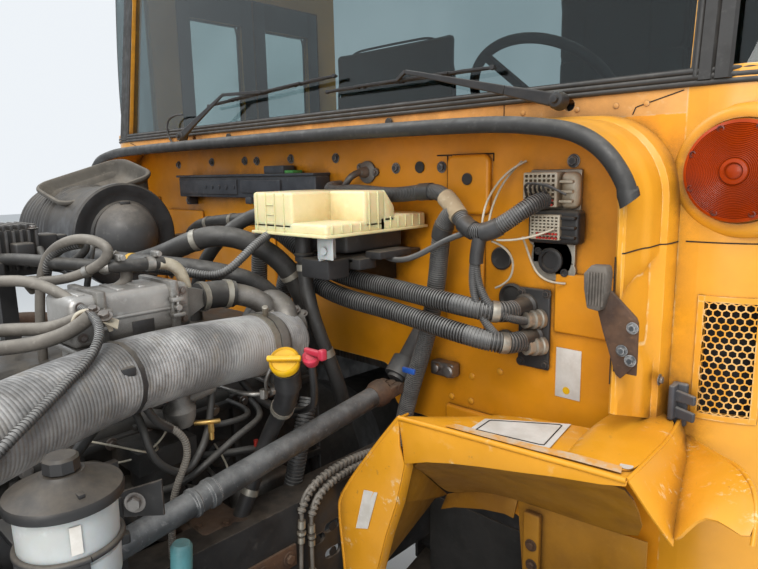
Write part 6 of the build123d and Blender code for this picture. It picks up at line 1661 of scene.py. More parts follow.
    def markings(self):
        """A blank label, the worn grip strip, a blank plate on the leg and a drip of pale paint."""
        z = 0.3180
        corner = [(0.732, -1.498, z), (0.726, -1.436, z), (0.858, -1.357, z), (0.878, -1.476, z)]
        label = skin("step_label",
                     [[corner[0], tuple((Vector(corner[0]) + Vector(corner[3])) / 2), corner[3]],
                      [corner[1], tuple((Vector(corner[1]) + Vector(corner[2])) / 2 + Vector((0, 0, 0.0004))),
                       corner[2]]], 0.0008)
        keep(label, "label")
        centre = sum((Vector(p) for p in corner), Vector()) / 4
        inset = [tuple(centre.lerp(Vector(p), 0.84) + Vector((0, 0, 0.0007))) for p in corner]
        keep(smooth_hose("label_border", inset + inset[:1], 0.0011, 2), "shadow", "black_plastic")
        strip = skin("step_strip",
                     [on_face([(0.690, 0.3182), (0.780, 0.3182), (0.850, 0.3182), (0.930, 0.3195),
                               (1.002, 0.3195)], 0.006),
                      on_face([(0.700, 0.3184), (0.780, 0.3184), (0.850, 0.3184), (0.925, 0.3215),
                               (0.996, 0.3210)], 0.024)], 0.001)
        keep(strip, "worn_strip")
        leg_label = skin(
            "leg_label",
            [on_face([(0.484, 0.048), (0.516, 0.058)], -0.0095),
             on_face([(0.508, 0.141), (0.543, 0.146)], -0.0090)], 0.0008)
        keep(leg_label, "label")
        spot = disc("paint_spot", (1.000, -1.458, 0.3205), UP, 0.010, 0.0008, 24, 0)
        keep(spot, "label")


# ---------------------------------------------------------------- cab

CLOTH_FRAMES = 20
CHANNEL_HALF, CHANNEL_DEPTH = 0.010, 0.10   # half width; share of the way to the pad's middle


def cushion(name, low, high, voxel=0.006, swell=0.010, channels=(), finer=1):
    """A closed pad: a smaller body, remeshed fine and swelled by a short cloth run, with sewn channels."""
    piece = box(name, [a + 0.009 for a in low], [b - 0.009 for b in high], 0.016, 4)
    use(piece, "REMESH", mode="VOXEL", voxel_size=voxel)
    rest = [vertex.co.copy() for vertex in piece.data.vertices]
    pick(piece)
    cloth = piece.modifiers.new("Cloth", "CLOTH")
    cloth.settings.quality = 4
    cloth.settings.use_pressure = True
    cloth.settings.uniform_pressure_force = 4
    cloth.settings.effector_weights.gravity = 0
    cloth.point_cache.frame_start, cloth.point_cache.frame_end = 1, CLOTH_FRAMES
    for number in range(1, CLOTH_FRAMES + 1):
        bpy.context.scene.frame_set(number)
    pick(piece)
    bpy.ops.object.modifier_apply(modifier=cloth.name)
    bpy.context.scene.frame_set(1)
    for vertex, place in zip(piece.data.vertices, rest):
        move = vertex.co - place
        if move.length > swell:
            vertex.co = place + move.normalized() * swell
    middle = sum(rest, Vector()) / len(rest)
    for axis, at in channels:
        for vertex in piece.data.vertices:
            near = max(0.0, 1 - abs(vertex.co[axis] - at) / CHANNEL_HALF)
            vertex.co += (middle - vertex.co) * CHANNEL_DEPTH * near ** 2
    if finer:
        use(piece, "SUBSURF", levels=finer, render_levels=finer)
    return settle(piece, 60)


class BAY_OT_seats(bpy.types.Operator):
    """Driver's seat and crash barriers: padded parts, piping, pedestal and legs"""
    bl_idname = "bay.seats"
    bl_label = "Seats and barriers"

    def execute(self, context):
        base = cushion("seat_cushion", (0.180, -0.640, 0.590), (0.660, -0.160, 0.710), 0.0085, 0.010,
                       ((0, 0.30), (0, 0.54)))
        keep(base, "vinyl", replaces=["driver_seat"])
        back = cushion("seat_back", (0.190, -0.220, 0.670), (0.650, -0.110, 1.400), 0.0085, 0.010,
                       ((0, 0.30), (0, 0.54), (2, 1.15)))
        keep(back, "vinyl")
        edge = mm((192, -630, 648), (192, -400, 648), (192, -172, 648), (420, -168, 648), (648, -172, 648),
                  (648, -400, 648), (648, -630, 648), (420, -634, 648), (192, -630, 648))
        rim = mm((202, -166, 700), (200, -166, 1030), (202, -166, 1385), (420, -166, 1392), (638, -166, 1385),
                 (640, -166, 1030), (638, -166, 700))
        make("seat_piping", [smooth_hose("piping", edge, 0.005, 3), smooth_hose("piping", rim, 0.005, 3)],
             "vinyl")
        legs = [box("pedestal", (0.300, -0.520, 0.296), (0.540, -0.240, 0.520), 0.020, 3),
                box("pedestal", (0.270, -0.560, 0.2905), (0.570, -0.200, 0.300), 0.004),
                box("pedestal", (0.240, -0.600, 0.572), (0.600, -0.200, 0.592), 0.006),
                box("pedestal", (0.330, -0.130, 0.600), (0.510, -0.108, 0.760), 0.004)]
        legs += [box("pedestal", (x, -0.560, 0.520), (x + 0.024, -0.220, 0.574), 0.004) for x in (0.290, 0.526)]
        legs += [turned("pedestal", [(0, 0.012), (0.060, 0.010), (0.064, 0.016), (0.084, 0.014), (0.084, 0)],
                        (0.575, -0.430, 0.585), (0.3, -0.9, 0.1), 20)]
        make("seat_pedestal", legs, "plastic")
        frames = []
        for side, (x0, x1) in (("left", (0.160, 1.120)), ("right", (-1.120, -0.360))):
            pad = cushion("barrier_pad_" + side, (x0, -0.070, 0.410), (x1, -0.020, 1.370), 0.010, 0.009,
                          ((2, 0.62), (2, 1.16)), 0)
            keep(pad, "vinyl", replaces=["crash_barriers"] if side == "left" else ())
            for x in (x0 + 0.060, x1 - 0.060):
                frames += [box("leg", (x - 0.015, -0.060, 0.292), (x + 0.015, -0.030, 0.425), 0.004),
                           box("leg", (x - 0.035, -0.078, 0.2905), (x + 0.035, -0.012, 0.300), 0.003)]
            frames.append(smooth_hose("leg",
                                      [(x0 + 0.010, -0.045, 0.43), (x0 + 0.008, -0.045, 0.90),
                                       (x0 + 0.012, -0.045, 1.358), ((x0 + x1) / 2, -0.045, 1.364),
                                       (x1 - 0.012, -0.045, 1.358), (x1 - 0.008, -0.045, 0.90),
                                       (x1 - 0.010, -0.045, 0.43)], 0.0055, 3))
        make("barrier_frames", frames, "black")
        feet = [((x, y, 0.300), UP, 0.9) for x in (0.195, 0.245, 1.035, 1.085, -1.085, -1.035, -0.445, -0.395)
                for y in (-0.070, -0.020)]
        feet += [((x, y, 0.300), UP, 1.0) for x in (0.285, 0.555) for y in (-0.545, -0.215)]
        hex_bolts("floor_bolts", feet)
        return {"FINISHED"}


class BAY_OT_cab(bpy.types.Operator):
    """Dark linings inside the door leaves, gauges, switches, vents and pedals"""
    bl_idname = "bay.cab"
    bl_label = "Cab interior"

    def execute(self, context):
        for body, y0, y1 in DOOR_LEAVES:
            strips = [((y0, -0.424), (y0 + 0.060, 1.554)), ((y1 - 0.060, -0.424), (y1, 1.554)),
                      ((y0 + 0.058, -0.424), (y1 - 0.058, -0.340)), ((y0 + 0.058, 0.330), (y1 - 0.058, 0.560)),
                      ((y0 + 0.058, 1.440), (y1 - 0.058, 1.554))]
            parts = [box("lining", (-1.1842, a, c), (-1.1815, b, d), 0.0008) for (a, c), (b, d) in strips]
            parts.append(smooth_hose("lining",
                                     [(-1.180, y1 - 0.030, 0.40), (-1.150, y1 - 0.030, 0.42),
                                      (-1.150, y1 - 0.030, 0.78), (-1.180, y1 - 0.030, 0.80)], 0.010, 3))
            make(body + "_lining", parts, "lining", body=body)
        gauges = [turned("gauge", [(0, 0.042), (0.006, 0.042), (0.010, 0.036), (0.004, 0.034), (0.004, 0)],
                         (0.420 + dx, -0.7082, 0.820 + dz), (0, 1, 0), 36)
                  for dx, dz in ((-0.10, 0.03), (0.0, 0.04), (0.10, 0.03))]
        gauges += [box("switch", (0.60 + 0.034 * i, -0.712, 0.780), (0.624 + 0.034 * i, -0.700, 0.820), 0.003)
                   for i in range(6)]
        gauges += [box("vent", (-0.60 + 0.30 * i, -0.712, 0.800), (-0.45 + 0.30 * i, -0.703, 0.870), 0.006)
                   for i in range(3)]
        make("gauges_and_switches", gauges, "plastic")
        pedals = [bar("pedal", (x, -1.060, 0.470), (x, -1.000, 0.330), 0.060, 0.012, 1.0, 0.004)
                  for x in (0.30, 0.52)]
        pedals += [smooth_hose("pedal", [(x, -1.195, 0.56), (x, -1.120, 0.50), (x, -1.045, 0.430)], 0.009)
                   for x in (0.30, 0.52)]
        make("pedals", pedals, "plastic")
        return {"FINISHED"}


# ---------------------------------------------------------------- glass edges and wipers

class BAY_OT_windshield_edges(bpy.types.Operator):
    """Rubber on the windshield posts, gasket lips, cowl rivets and seams"""
    bl_idname = "bay.windshield_edges"
    bl_label = "Windshield edges"

    def execute(self, context):
        profile = [(1.001, 0.0), (1.004, 0.006), (1.021, 0.006), (1.0245, 0.001), (1.028, 0.006), (1.047, 0.006),
                   (1.051, 0.0)]
        rows = [[on_glass(x, z, off + 0.0006) for x, off in profile] for z in (0.909, 1.17, 1.43, 1.70)]
        pair("post_rubber_left", "post_rubber_right", [skin("post", rows, 0.0015)], "rubber")
        lips = [skin("strip", [[on_glass(x, z, 0.0015) for x in (-1.004, 1.004)] for z in (0.906, 0.930)], 0.003)]
        lips.append(skin("strip", [[on_glass(x, z, 0.0015) for x in (-1.004, 1.004)] for z in (1.664, 1.690)],
                         0.003))
        lips += [smooth_hose("lip", [on_glass(x, 1.674, 0.003) for x in (-1.0, 1.0)], 0.006, 2)]
        lips += [skin("strip", [[on_glass(s * x, z, 0.0015) for x in (0.990, 1.004)] for z in (0.91, 1.68)],
                      0.003)
                 for s in (1, -1)]
        lips += [smooth_hose("lip", [on_glass(s * 0.9975, z, 0.003) for z in (0.915, 1.67)], 0.0045, 2)
                 for s in (1, -1)]
        for z, r in ((0.905, 0.0045), (0.9145, 0.005), (0.924, 0.0045)):
            lips.append(smooth_hose("lip", [on_glass(x, z, 0.0018) for x in (-1.0, 0.0, 1.0)], r, 2))
            for s in (1, -1):
                lips.append(smooth_hose("lip",
                                        [(s * x, corner_y(x) + (z - 0.907) * 0.12 - 0.0015, z)
                                         for x in (1.0, 1.04, 1.08, 1.12, 1.15, 1.18, 1.20)], r, 3))
        make("gasket_lips", lips, "rubber", replaces=["glass_gaskets"])
        spots = [(0.683, 0.882), (0.796, 0.880), (0.869, 0.881), (0.922, 0.881), (0.46, 0.881), (0.24, 0.881),
                 (0.02, 0.881)]
        round_rivets("cowl_rivets", [((s * x, FIREWALL_Y, z), FRONT, 1.0) for x, z in spots for s in (1, -1)],
                     0.0052)
        seams = []
        for s in (1, -1):
            seams.append(smooth_hose("seam",
                                     [(s * 0.899, -1.2503, 0.864), (s * 0.904, -1.2503, 0.876),
                                      (s * 0.981, -1.2503, 0.897)], 0.0009, 2))
            seams.append(smooth_hose("seam", [(s * 0.640, -1.2503, 0.863), (s * 0.640, -1.2503, 0.905)], 0.0009,
                                     2))
        make("cowl_seams", seams, "shadow")
        washer = [smooth_hose("washer",
                              mm((-655, -1256, 880), (-690, -1258, 905), (-692, -1256, 940), (-686, -1252, 966),
                                 (-640, -1250, 976), (-590, -1252, 972)), 0.003),
                  disc("washer", (0.330, -1.2502, 0.888), FRONT, 0.010, 0.006, 20),
                  disc("washer", (-0.330, -1.2502, 0.888), FRONT, 0.010, 0.006, 20)]
        make("washer_tubes", washer, "plastic")
        return {"FINISHED"}


def along(first, second, share):
    """The point (x, z) at a share of the way from one point to another."""
    return first[0] + (second[0] - first[0]) * share, first[1] + (second[1] - first[1]) * share


class BAY_OT_wipers(bpy.types.Operator):
    """Windshield wipers: knuckle, channel arm, sprung blade frame and rubber"""
    bl_idname = "bay.wipers"
    bl_label = "Wipers"

    def execute(self, context):
        for side, pivot, elbow, (start, end) in (
                ("left", (0.780, 0.890), (0.405, 0.985), ((0.618, 0.975), (0.116, 0.975))),
                ("right", (-0.532, 0.892), (-0.312, 1.002), ((-0.437, 0.985), (0.148, 1.012)))):
            body = "wiper_" + side
            knee = on_glass(*along(pivot, elbow, 0.30), 0.044)
            parts = [turned("boss",
                            [(0, 0), (0, 0.013), (0.004, 0.0165), (0.020, 0.0165), (0.026, 0.013),
                             (0.027, 0.0075), (0.033, 0.0065), (0.034, 0)],
                            on_glass(*pivot, 0.027), GLASS_FACING, 28),
                     bar("arm", on_glass(*pivot, 0.043), knee, 0.013, 0.026, 0.72, 0.003),
                     bar("arm", knee, on_glass(*elbow, 0.040), 0.009, 0.018, 0.5, 0.002),
                     bar("arm", on_glass(*elbow, 0.040), on_glass(*along(start, end, 0.5), 0.022), 0.006, 0.009,
                         0.9, 0.001)]
            for a, b in ((0.0, 0.28), (0.22, 0.50), (0.50, 0.78), (0.72, 1.0)):
                middle = (a + b) / 2
                for end_share in (a, b):
                    parts.append(bar("blade", on_glass(*along(start, end, end_share), 0.012),
                                     on_glass(*along(start, end, middle), 0.020), 0.004, 0.005, 1.0, 0.0008))
                for t in (a + 0.01, b - 0.01):
                    parts.append(bar("claw", on_glass(*along(start, end, t), 0.006),
                                     on_glass(*along(start, end, t), 0.015), 0.008, 0.009, 1.0, 0.001))
            parts.append(bar("blade", on_glass(*along(start, end, 0.22), 0.0205),
                             on_glass(*along(start, end, 0.78), 0.0205), 0.005, 0.0055, 1.0, 0.001))
            make("wiper_frame_" + side, parts, "wiper", body=body, replaces=["wiper_" + side])
            rubber = bar("rubber", on_glass(*start, 0.0075), on_glass(*end, 0.0075), 0.008, 0.0045, 1.0, 0.0008)
            make("wiper_rubber_" + side, [rubber], "rubber", body=body)
        return {"FINISHED"}


# ---------------------------------------------------------------- engine's left side

class BAY_OT_engine_hoses(bpy.types.Operator):
    """Control module, coolant and air hoses, conduits and clamps over the engine"""
    bl_idname = "bay.engine_hoses"
    bl_label = "Engine hoses"

    def execute(self, context):
        fins = [box("fin", (-0.113, -2.032 + i * 0.0135, 0.6765), (-0.002, -2.027 + i * 0.0135, 0.687), 0.0008)
                for i in range(8)]
        fins += [box("fin", (-0.001, -2.032 + i * 0.0135, 0.600), (0.008, -2.027 + i * 0.0135, 0.676), 0.0008)
                 for i in range(8)]
        plugs = [box("plug", (-0.060, -1.934, 0.628), (-0.010, -1.890, 0.664), 0.004, 3),
                 box("plug", (-0.052, -1.894, 0.632), (-0.018, -1.868, 0.660), 0.003, 3),
                 box("plug", (0.004, -1.985, 0.622), (0.040, -1.950, 0.654), 0.004, 3),
                 box("plug", (0.004, -2.034, 0.588), (0.034, -2.004, 0.622), 0.004, 3)]
        make("module_fins", fins, "dusty_plastic")
        make("module_plugs", plugs, "plastic")
        hex_bolts("module_bolts",
                  [((0.008, -2.028, 0.682), UP, 0.8), ((0.0, -1.938, 0.678), UP, 0.8),
                   ((-0.105, -2.028, 0.678), UP, 0.8)])
        loops = [(mm((20, -2150, 560), (100, -2110, 605), (178, -2056, 607), (203, -2031, 609), (239, -2002, 598),
                     (290, -1985, 577), (330, -1982, 560)), 0.0095),
                 (mm((30, -1960, 560), (50, -1985, 590), (120, -1975, 588), (205, -1950, 600), (262, -1915, 628),
                     (272, -1905, 655), (235, -1925, 672), (190, -1945, 668), (140, -1962, 645),
                     (110, -1972, 600), (100, -1980, 500), (100, -1980, 332)), 0.0088),
                 (mm((243, -1893, 640), (250, -1874, 618), (250, -1868, 592), (246, -1884, 580),
                     (240, -1900, 575)), 0.0105),
                 (mm((120, -2150, 500), (200, -2110, 532), (243, -2083, 540), (277, -2050, 540),
                     (310, -2024, 540), (350, -1992, 562)), 0.0105),
                 (mm((150, -2190, 480), (230, -2130, 512), (268, -2100, 517), (326, -2048, 524),
                     (362, -2010, 545), (376, -1992, 566)), 0.0115)]
        make("grey_hose_loops", [smooth_hose("loop", line, r) for line, r in loops], "loop_hose")
        dark = [(mm((10, -2010, 625), (60, -1985, 628), (150, -1955, 624), (230, -1925, 622), (270, -1900, 621),
                    (270, -1812, 618)), 0.0115),
                (mm((30, -1940, 640), (83, -1947, 600), (118, -1926, 612), (143, -1905, 632), (150, -1895, 650),
                    (139, -1903, 660), (110, -1925, 650), (85, -1945, 620)), 0.0075),
                (mm((-30, -1870, 646), (30, -1850, 645), (90, -1862, 652), (130, -1880, 640), (150, -1900, 600),
                    (150, -1920, 500), (150, -1930, 332)), 0.006)]
        make("dark_hose_loops", [smooth_hose("loop", line, r) for line, r in dark], "rubber")
        ribbed = [ribbed_hose("loop",
                              mm((85, -1955, 575), (120, -1965, 600), (140, -1965, 635), (165, -1950, 655),
                                 (200, -1930, 660)), 0.0095, 0.0055, 0.0015, 16),
                  ribbed_hose("conduit",
                              mm((340, -1992, 572), (380, -1990, 568), (430, -2000, 556), (462, -2022, 538),
                                 (482, -2050, 520), (505, -2084, 509), (530, -2118, 497), (552, -2155, 483),
                                 (566, -2186, 468), (574, -2230, 430), (560, -2270, 370), (500, -2310, 310),
                                 (470, -2320, 270)), 0.0072, 0.0050, 0.0012, 16),
                  ribbed_hose("loop",
                              mm((100, -1800, 600), (170, -1740, 590), (230, -1690, 565), (262, -1655, 585),
                                 (272, -1600, 640), (262, -1545, 655)), 0.009, 0.0050, 0.0012, 16)]
        make("black_conduits", ribbed, "conduit")
        spout = smooth_hose(
            "spout", mm((270, -1822, 618), (270, -1790, 616), (270, -1772, 600), (270, -1770, 560)), 0.0115)
        saddle = [smooth_hose("saddle",
                              mm((345, -2010, 540), (352, -2012, 566), (370, -1995, 580), (388, -1976, 566),
                                 (392, -1970, 540)), 0.0035),
                  skin("saddle",
                       [mm((380, -1985, 570), (400, -1960, 556)), mm((400, -2000, 568), (420, -1972, 548))],
                       0.002)]
        make("coolant_spout", [spout, *saddle], "ivory", "bare_aluminium")
        line = dark[0][0]
        clamps = [band("clamp", line, 0.72, 0.014, 0.0135), band("clamp", line, 0.93, 0.014, 0.0135),
                  band("clamp", loops[1][0], 0.30, 0.010, 0.0105)]
        for y in (-1.893, -1.826):
            clamps += [box("clamp", (0.262, y - 0.006, 0.631), (0.280, y + 0.006, 0.642), 0.002),
                       disc("clamp", (0.280, y, 0.637), LEFT, 0.005, 0.008, 12)]
        make("small_hose_clamps", clamps, "tinned")
        hex_bolts("saddle_bolt",
                  [((0.400, -1.982, 0.566), (0.35, -0.2, 0.9), 1.0),
                   ((0.376, -1.988, 0.574), (0.35, -0.2, 0.9), 0.8)])
        return {"FINISHED"}


class BAY_OT_engine_side(bpy.types.Operator):
    """What fills the engine's left side under the charge pipe: housings, fittings, hoses and lines"""
    bl_idname = "bay.engine_side"
    bl_label = "Engine's left side"

    def execute(self, context):
        cast = [turned("cast",
                       [(0, 0), (0, 0.022), (0.012, 0.026), (0.030, 0.028), (0.042, 0.020), (0.060, 0.019),
                        (0.060, 0)], (0.385, -1.862, 0.352), (0.1, -0.1, 1), 32),
                smooth_hose("cast", mm((385, -1868, 392), (392, -1835, 400), (388, -1800, 404)), 0.013),
                smooth_hose("cast", mm((385, -1862, 360), (330, -1862, 340), (262, -1862, 330)), 0.018),
                turned("cast", [(0, 0), (0, 0.020), (0.020, 0.022), (0.026, 0.014), (0.040, 0.013), (0.040, 0)],
                       (0.392, -1.962, 0.422), (0.8, -0.45, 0.1), 28),
                smooth_hose("cast", mm((395, -1960, 422), (330, -1945, 415), (262, -1940, 400)), 0.016),
                turned("cast", [(0, 0), (0, 0.036), (0.010, 0.040), (0.034, 0.040), (0.044, 0.030), (0.046, 0)],
                       (0.262, -1.985, 0.250), LEFT, 36),
                box("cast", (0.255, -2.080, 0.150), (0.330, -1.900, 0.235), 0.012, 3),
                box("cast", (0.255, -1.700, 0.000), (0.305, -1.560, 0.130), 0.010, 3)]
        make("side_castings", cast, "casting", "grey_casting")
        block = [box("rib", (0.257, -2.42 + 0.105 * i, -0.05), (0.272, -2.405 + 0.105 * i, 0.325), 0.004)
                 for i in range(10)]
        block += [box("rib", (0.257, -2.45, z), (0.276, -1.45, z + 0.016), 0.004) for z in (0.300, 0.115, -0.060)]
        block += [turned("plug", [(0, 0.030), (0.006, 0.030), (0.010, 0.024), (0.004, 0.020), (0.004, 0)],
                         (0.2595, -2.35 + 0.21 * i, 0.205), LEFT, 28)
                  for i in range(4)]
        make("block_ribs", block, "iron")
        hex_bolts("block_bolts",
                  [((0.2755, -2.43 + 0.07 * i, z + 0.008), LEFT, 0.9) for i in range(14)
                   for z in (0.300, -0.060)])
        hoses = [(mm((330, -1930, 400), (392, -1938, 392), (414, -1942, 356), (424, -1935, 322),
                     (424, -1914, 299), (420, -1894, 283), (418, -1872, 279), (416, -1854, 294),
                     (408, -1826, 324), (396, -1812, 349), (388, -1800, 392)), 0.0065),
                 (mm((262, -1960, 215), (330, -1935, 225), (385, -1900, 240), (404, -1868, 255),
                     (408, -1843, 269), (408, -1808, 284), (404, -1758, 304), (396, -1719, 309),
                     (360, -1667, 308), (262, -1640, 305)), 0.0062),
                 (mm((262, -1840, 322), (340, -1810, 324), (380, -1788, 322), (380, -1749, 321),
                     (376, -1712, 318), (330, -1690, 315), (262, -1690, 313)), 0.0058),
                 (mm((440, -1965, 445), (442, -1950, 425), (440, -1940, 400), (436, -1922, 380),
                     (428, -1902, 365), (400, -1880, 350)), 0.0065),
                 (mm((262, -2060, 260), (340, -2040, 280), (372, -2000, 250), (378, -1960, 200),
                     (360, -1900, 150), (300, -1850, 80), (262, -1840, 50)), 0.011),
                 (mm((262, -2180, 200), (330, -2160, 240), (370, -2100, 300), (380, -2040, 350),
                     (372, -1990, 400)), 0.009),
                 (mm((262, -1600, 160), (330, -1610, 190), (372, -1650, 220), (372, -1700, 250),
                     (340, -1760, 240), (262, -1800, 230)), 0.008),
                 (mm((262, -1520, 260), (320, -1540, 250), (350, -1580, 270), (352, -1640, 300),
                     (320, -1680, 345), (300, -1700, 400)), 0.0075)]
        make("side_hoses", [smooth_hose("hose", line, r) for line, r in hoses], "rubber")
        pale = ribbed_hose(
            "pale_conduit",
            mm((408, -1925, 388), (424, -1905, 371), (432, -1889, 355), (434, -1881, 336), (434, -1881, 312),
               (430, -1890, 290), (424, -1901, 262), (416, -1910, 220), (412, -1912, 128)),
            0.0062, 0.0042, 0.0011, 16)
        make("pale_conduit", [pale], "loop_hose", "black_plastic")
        big = ribbed_hose(
            "black_conduit",
            mm((350, -1545, 300), (358, -1566, 255), (360, -1586, 200), (358, -1600, 140), (346, -1612, 70),
               (300, -1620, 10)), 0.0195, 0.0075, 0.0026, 22)
        make("black_ribbed_hose", [big], "conduit")
        lines = [smooth_hose("line",
                             mm((262, -1735, 365), (360, -1735, 367), (404, -1716, 365), (404, -1664, 362),
                                (340, -1640, 360), (262, -1640, 360)), 0.0045),
                 smooth_hose("line", mm((430, -1700, 420), (420, -1710, 395), (408, -1695, 372)), 0.0035),
                 disc("line", (0.404, -1.700, 0.356), UP, 0.0085, 0.018, 6, 0.001),
                 disc("line", (0.404, -1.672, 0.363), FRONT, 0.0075, 0.012, 6, 0.001),
                 smooth_hose("line",
                             mm((262, -1830, 190), (400, -1822, 203), (402, -1780, 208), (262, -1760, 200)),
                             0.004),
                 turned("line", [(0, 0), (0, 0.013), (0.016, 0.013), (0.018, 0.009), (0.030, 0.009), (0.030, 0)],
                        (0.425, -1.952, 0.428), (0.86, -0.45, 0.15), 20)]
        make("bright_lines", lines, "tinned")
        fittings = [disc("fitting", (0.424, -1.828, 0.352), DOWN, 0.006, 0.016, 6, 0.0008),
                    disc("fitting", (0.424, -1.828, 0.336), DOWN, 0.0045, 0.014, 16, 0.0008),
                    smooth_hose("fitting", mm((402, -1846, 352), (424, -1828, 354), (426, -1812, 352)), 0.0045)]
        make("brass_fitting", fittings, "brass")
        wires = [(mm((300, -1840, 160), (400, -1832, 190), (412, -1803, 197), (412, -1787, 214),
                     (380, -1770, 240), (300, -1750, 250)), 0.0020),
                 (mm((262, -1990, 330), (370, -1975, 345), (404, -1955, 340), (408, -1925, 325),
                     (380, -1900, 320), (300, -1880, 300)), 0.0018),
                 (mm((290, -1950, 280), (370, -1930, 300), (392, -1900, 330), (380, -1880, 360)), 0.0018)]
        make("side_wires", [smooth_hose("wire", line, r) for line, r in wires], "ivory")
        red = [smooth_hose("red", mm((370, -1700, 262), (372, -1700, 240), (340, -1690, 210)), 0.0045),
               box("red", (0.352, -1.860, 0.270), (0.362, -1.846, 0.285), 0.002)]
        make("red_cables", red, "red")
        pale_block = [box("block", (0.425, -2.024, 0.418), (0.445, -2.002, 0.444), 0.003, 3),
                      box("block", (0.395, -1.990, 0.425), (0.440, -1.984, 0.452), 0.002)]
        make("white_connector", pale_block, "ivory")
        rusty = [box("rusty", (0.262, -1.845, 0.080), (0.400, -1.745, 0.132), 0.012, 3),
                 disc("rusty", (0.381, -1.752, 0.118), (0, 0.05, 1), 0.026, 0.012, 28),
                 turned("rusty", [(0, 0.030), (0.014, 0.030), (0.018, 0.024), (0.018, 0)], (0.330, -1.842, 0.105),
                        FRONT, 28)]
        make("rusty_housing", rusty, "rust", "engine_paint")
        hex_bolts("housing_bolts",
                  [((x, y, 0.131), UP, 0.8)
                   for x, y in ((0.30, -1.83), (0.36, -1.83), (0.39, -1.79), (0.29, -1.76))], finish="rust")
        canister = turned(
            "canister", [(0, 0), (0, 0.014), (0.004, 0.017), (0.078, 0.017), (0.084, 0.013), (0.084, 0)],
            (0.490, -1.940, 0.122), (0.05, 0.05, 1), 32)
        make("teal_canister", [canister], "teal")
        tray = [box("tray", (0.430, -1.960, 0.104), (0.508, -1.920, 0.122), 0.003)]
        make("canister_bracket", tray, "black")
        blue = [bar("blue", (0.500, -2.112, 0.262), (0.510, -2.040, 0.262), 0.012, 0.012, 1.0, 0.003),
                bar("blue", (0.486, -2.118, 0.240), (0.494, -2.050, 0.240), 0.010, 0.010, 1.0, 0.003)]
        make("blue_clips", blue, "blue")
        ends = [bar("end", (0.440, -2.125, 0.225), (0.500, -2.118, 0.255), 0.014, 0.014, 1.0, 0.003),
                bar("end", (0.500, -2.040, 0.262), (0.506, -2.020, 0.262), 0.016, 0.016, 1.0, 0.003)]
        make("clip_ends", ends, "plastic")
        return {"FINISHED"}


class BAY_OT_brake_lines(bpy.types.Operator):
    """Brake lines: ribbed guards over the frame rail, zinc-plated fittings and the tubes below"""
    bl_idname = "bay.brake_lines"
    bl_label = "Brake lines"

    def execute(self, context):
        routes = [mm((400, -1300, 100), (420, -1380, 150), (437, -1463, 170), (437, -1505, 174),
                     (437, -1555, 172), (437, -1602, 164), (437, -1636, 150), (437, -1647, 130), (437, -1648, 94),
                     (437, -1653, 41), (437, -1656, -30), (437, -1656, -100)),
                  mm((402, -1300, 85), (424, -1380, 134), (438, -1463, 152), (438, -1506, 156), (438, -1547, 150),
                     (438, -1584, 142), (438, -1613, 128), (438, -1624, 105), (438, -1626, 62), (438, -1627, -30),
                     (438, -1627, -100))]
        tubes = [smooth_hose("tube", line, 0.0042) for line in routes]
        make("brake_tubes", tubes, "loop_hose", "brake_line_green", replaces=["brake_lines"])
        guards = [ribbed_hose("guard", stretch(routes[0], 0.10, 0.645), 0.0088, 0.0115, 0.0034, 16, 0.38),
                  ribbed_hose("guard", stretch(routes[1], 0.10, 0.655), 0.0088, 0.0115, 0.0034, 16, 0.38)]
        make("brake_guards", guards, "loop_hose")
        fittings = []
        for line, share in zip(routes, (0.695, 0.705)):
            fittings += [band("nut", line, share, 0.016, 0.0078), band("nut", line, share + 0.030, 0.006, 0.0092),
                         band("nut", line, share + 0.055, 0.012, 0.0072), band("nut", line, 0.88, 0.014, 0.0080)]
        make("brake_fittings", fittings, "zinc")
        # Flat near-black discs on the rails: painted shade of holes.
        holes = [disc("hole", (0.4302, y, z), LEFT, r, 0.0008, 24, 0)
                 for y, z, r in ((-1.561, 0.039, 0.010), (-1.606, 0.028, 0.009), (-1.563, -0.018, 0.010),
                                 (-1.480, 0.060, 0.009), (-1.400, 0.030, 0.009), (-1.950, 0.060, 0.010),
                                 (-2.050, -0.040, 0.010), (-2.300, 0.0, 0.010))]
        holes += [disc("hole", (-0.4302, y, z), RIGHT, 0.010, 0.0008, 24, 0)
                  for y, z in ((-1.561, 0.039), (-1.606, 0.028), (-1.950, 0.060), (-2.300, 0.0))]
        make("rail_holes", holes, "shadow", "frame_black")
        plate = [box("plate", (0.4302, -1.930, 0.004), (0.437, -1.664, 0.050), 0.002)]
        make("rail_plate", plate, "rust", "frame_black")
        hex_bolts("rail_bolts",
                  [((0.437, y, 0.027), LEFT, 1.1) for y in (-1.684, -1.745, -1.820, -1.900)] + [
                      ((s * 0.4302, y, z), (s, 0, 0), 1.2) for s in (1, -1) for y in (-0.35, -0.75, -2.42, -2.62)
                      for z in (-0.08, 0.08)], finish="rust")
        return {"FINISHED"}


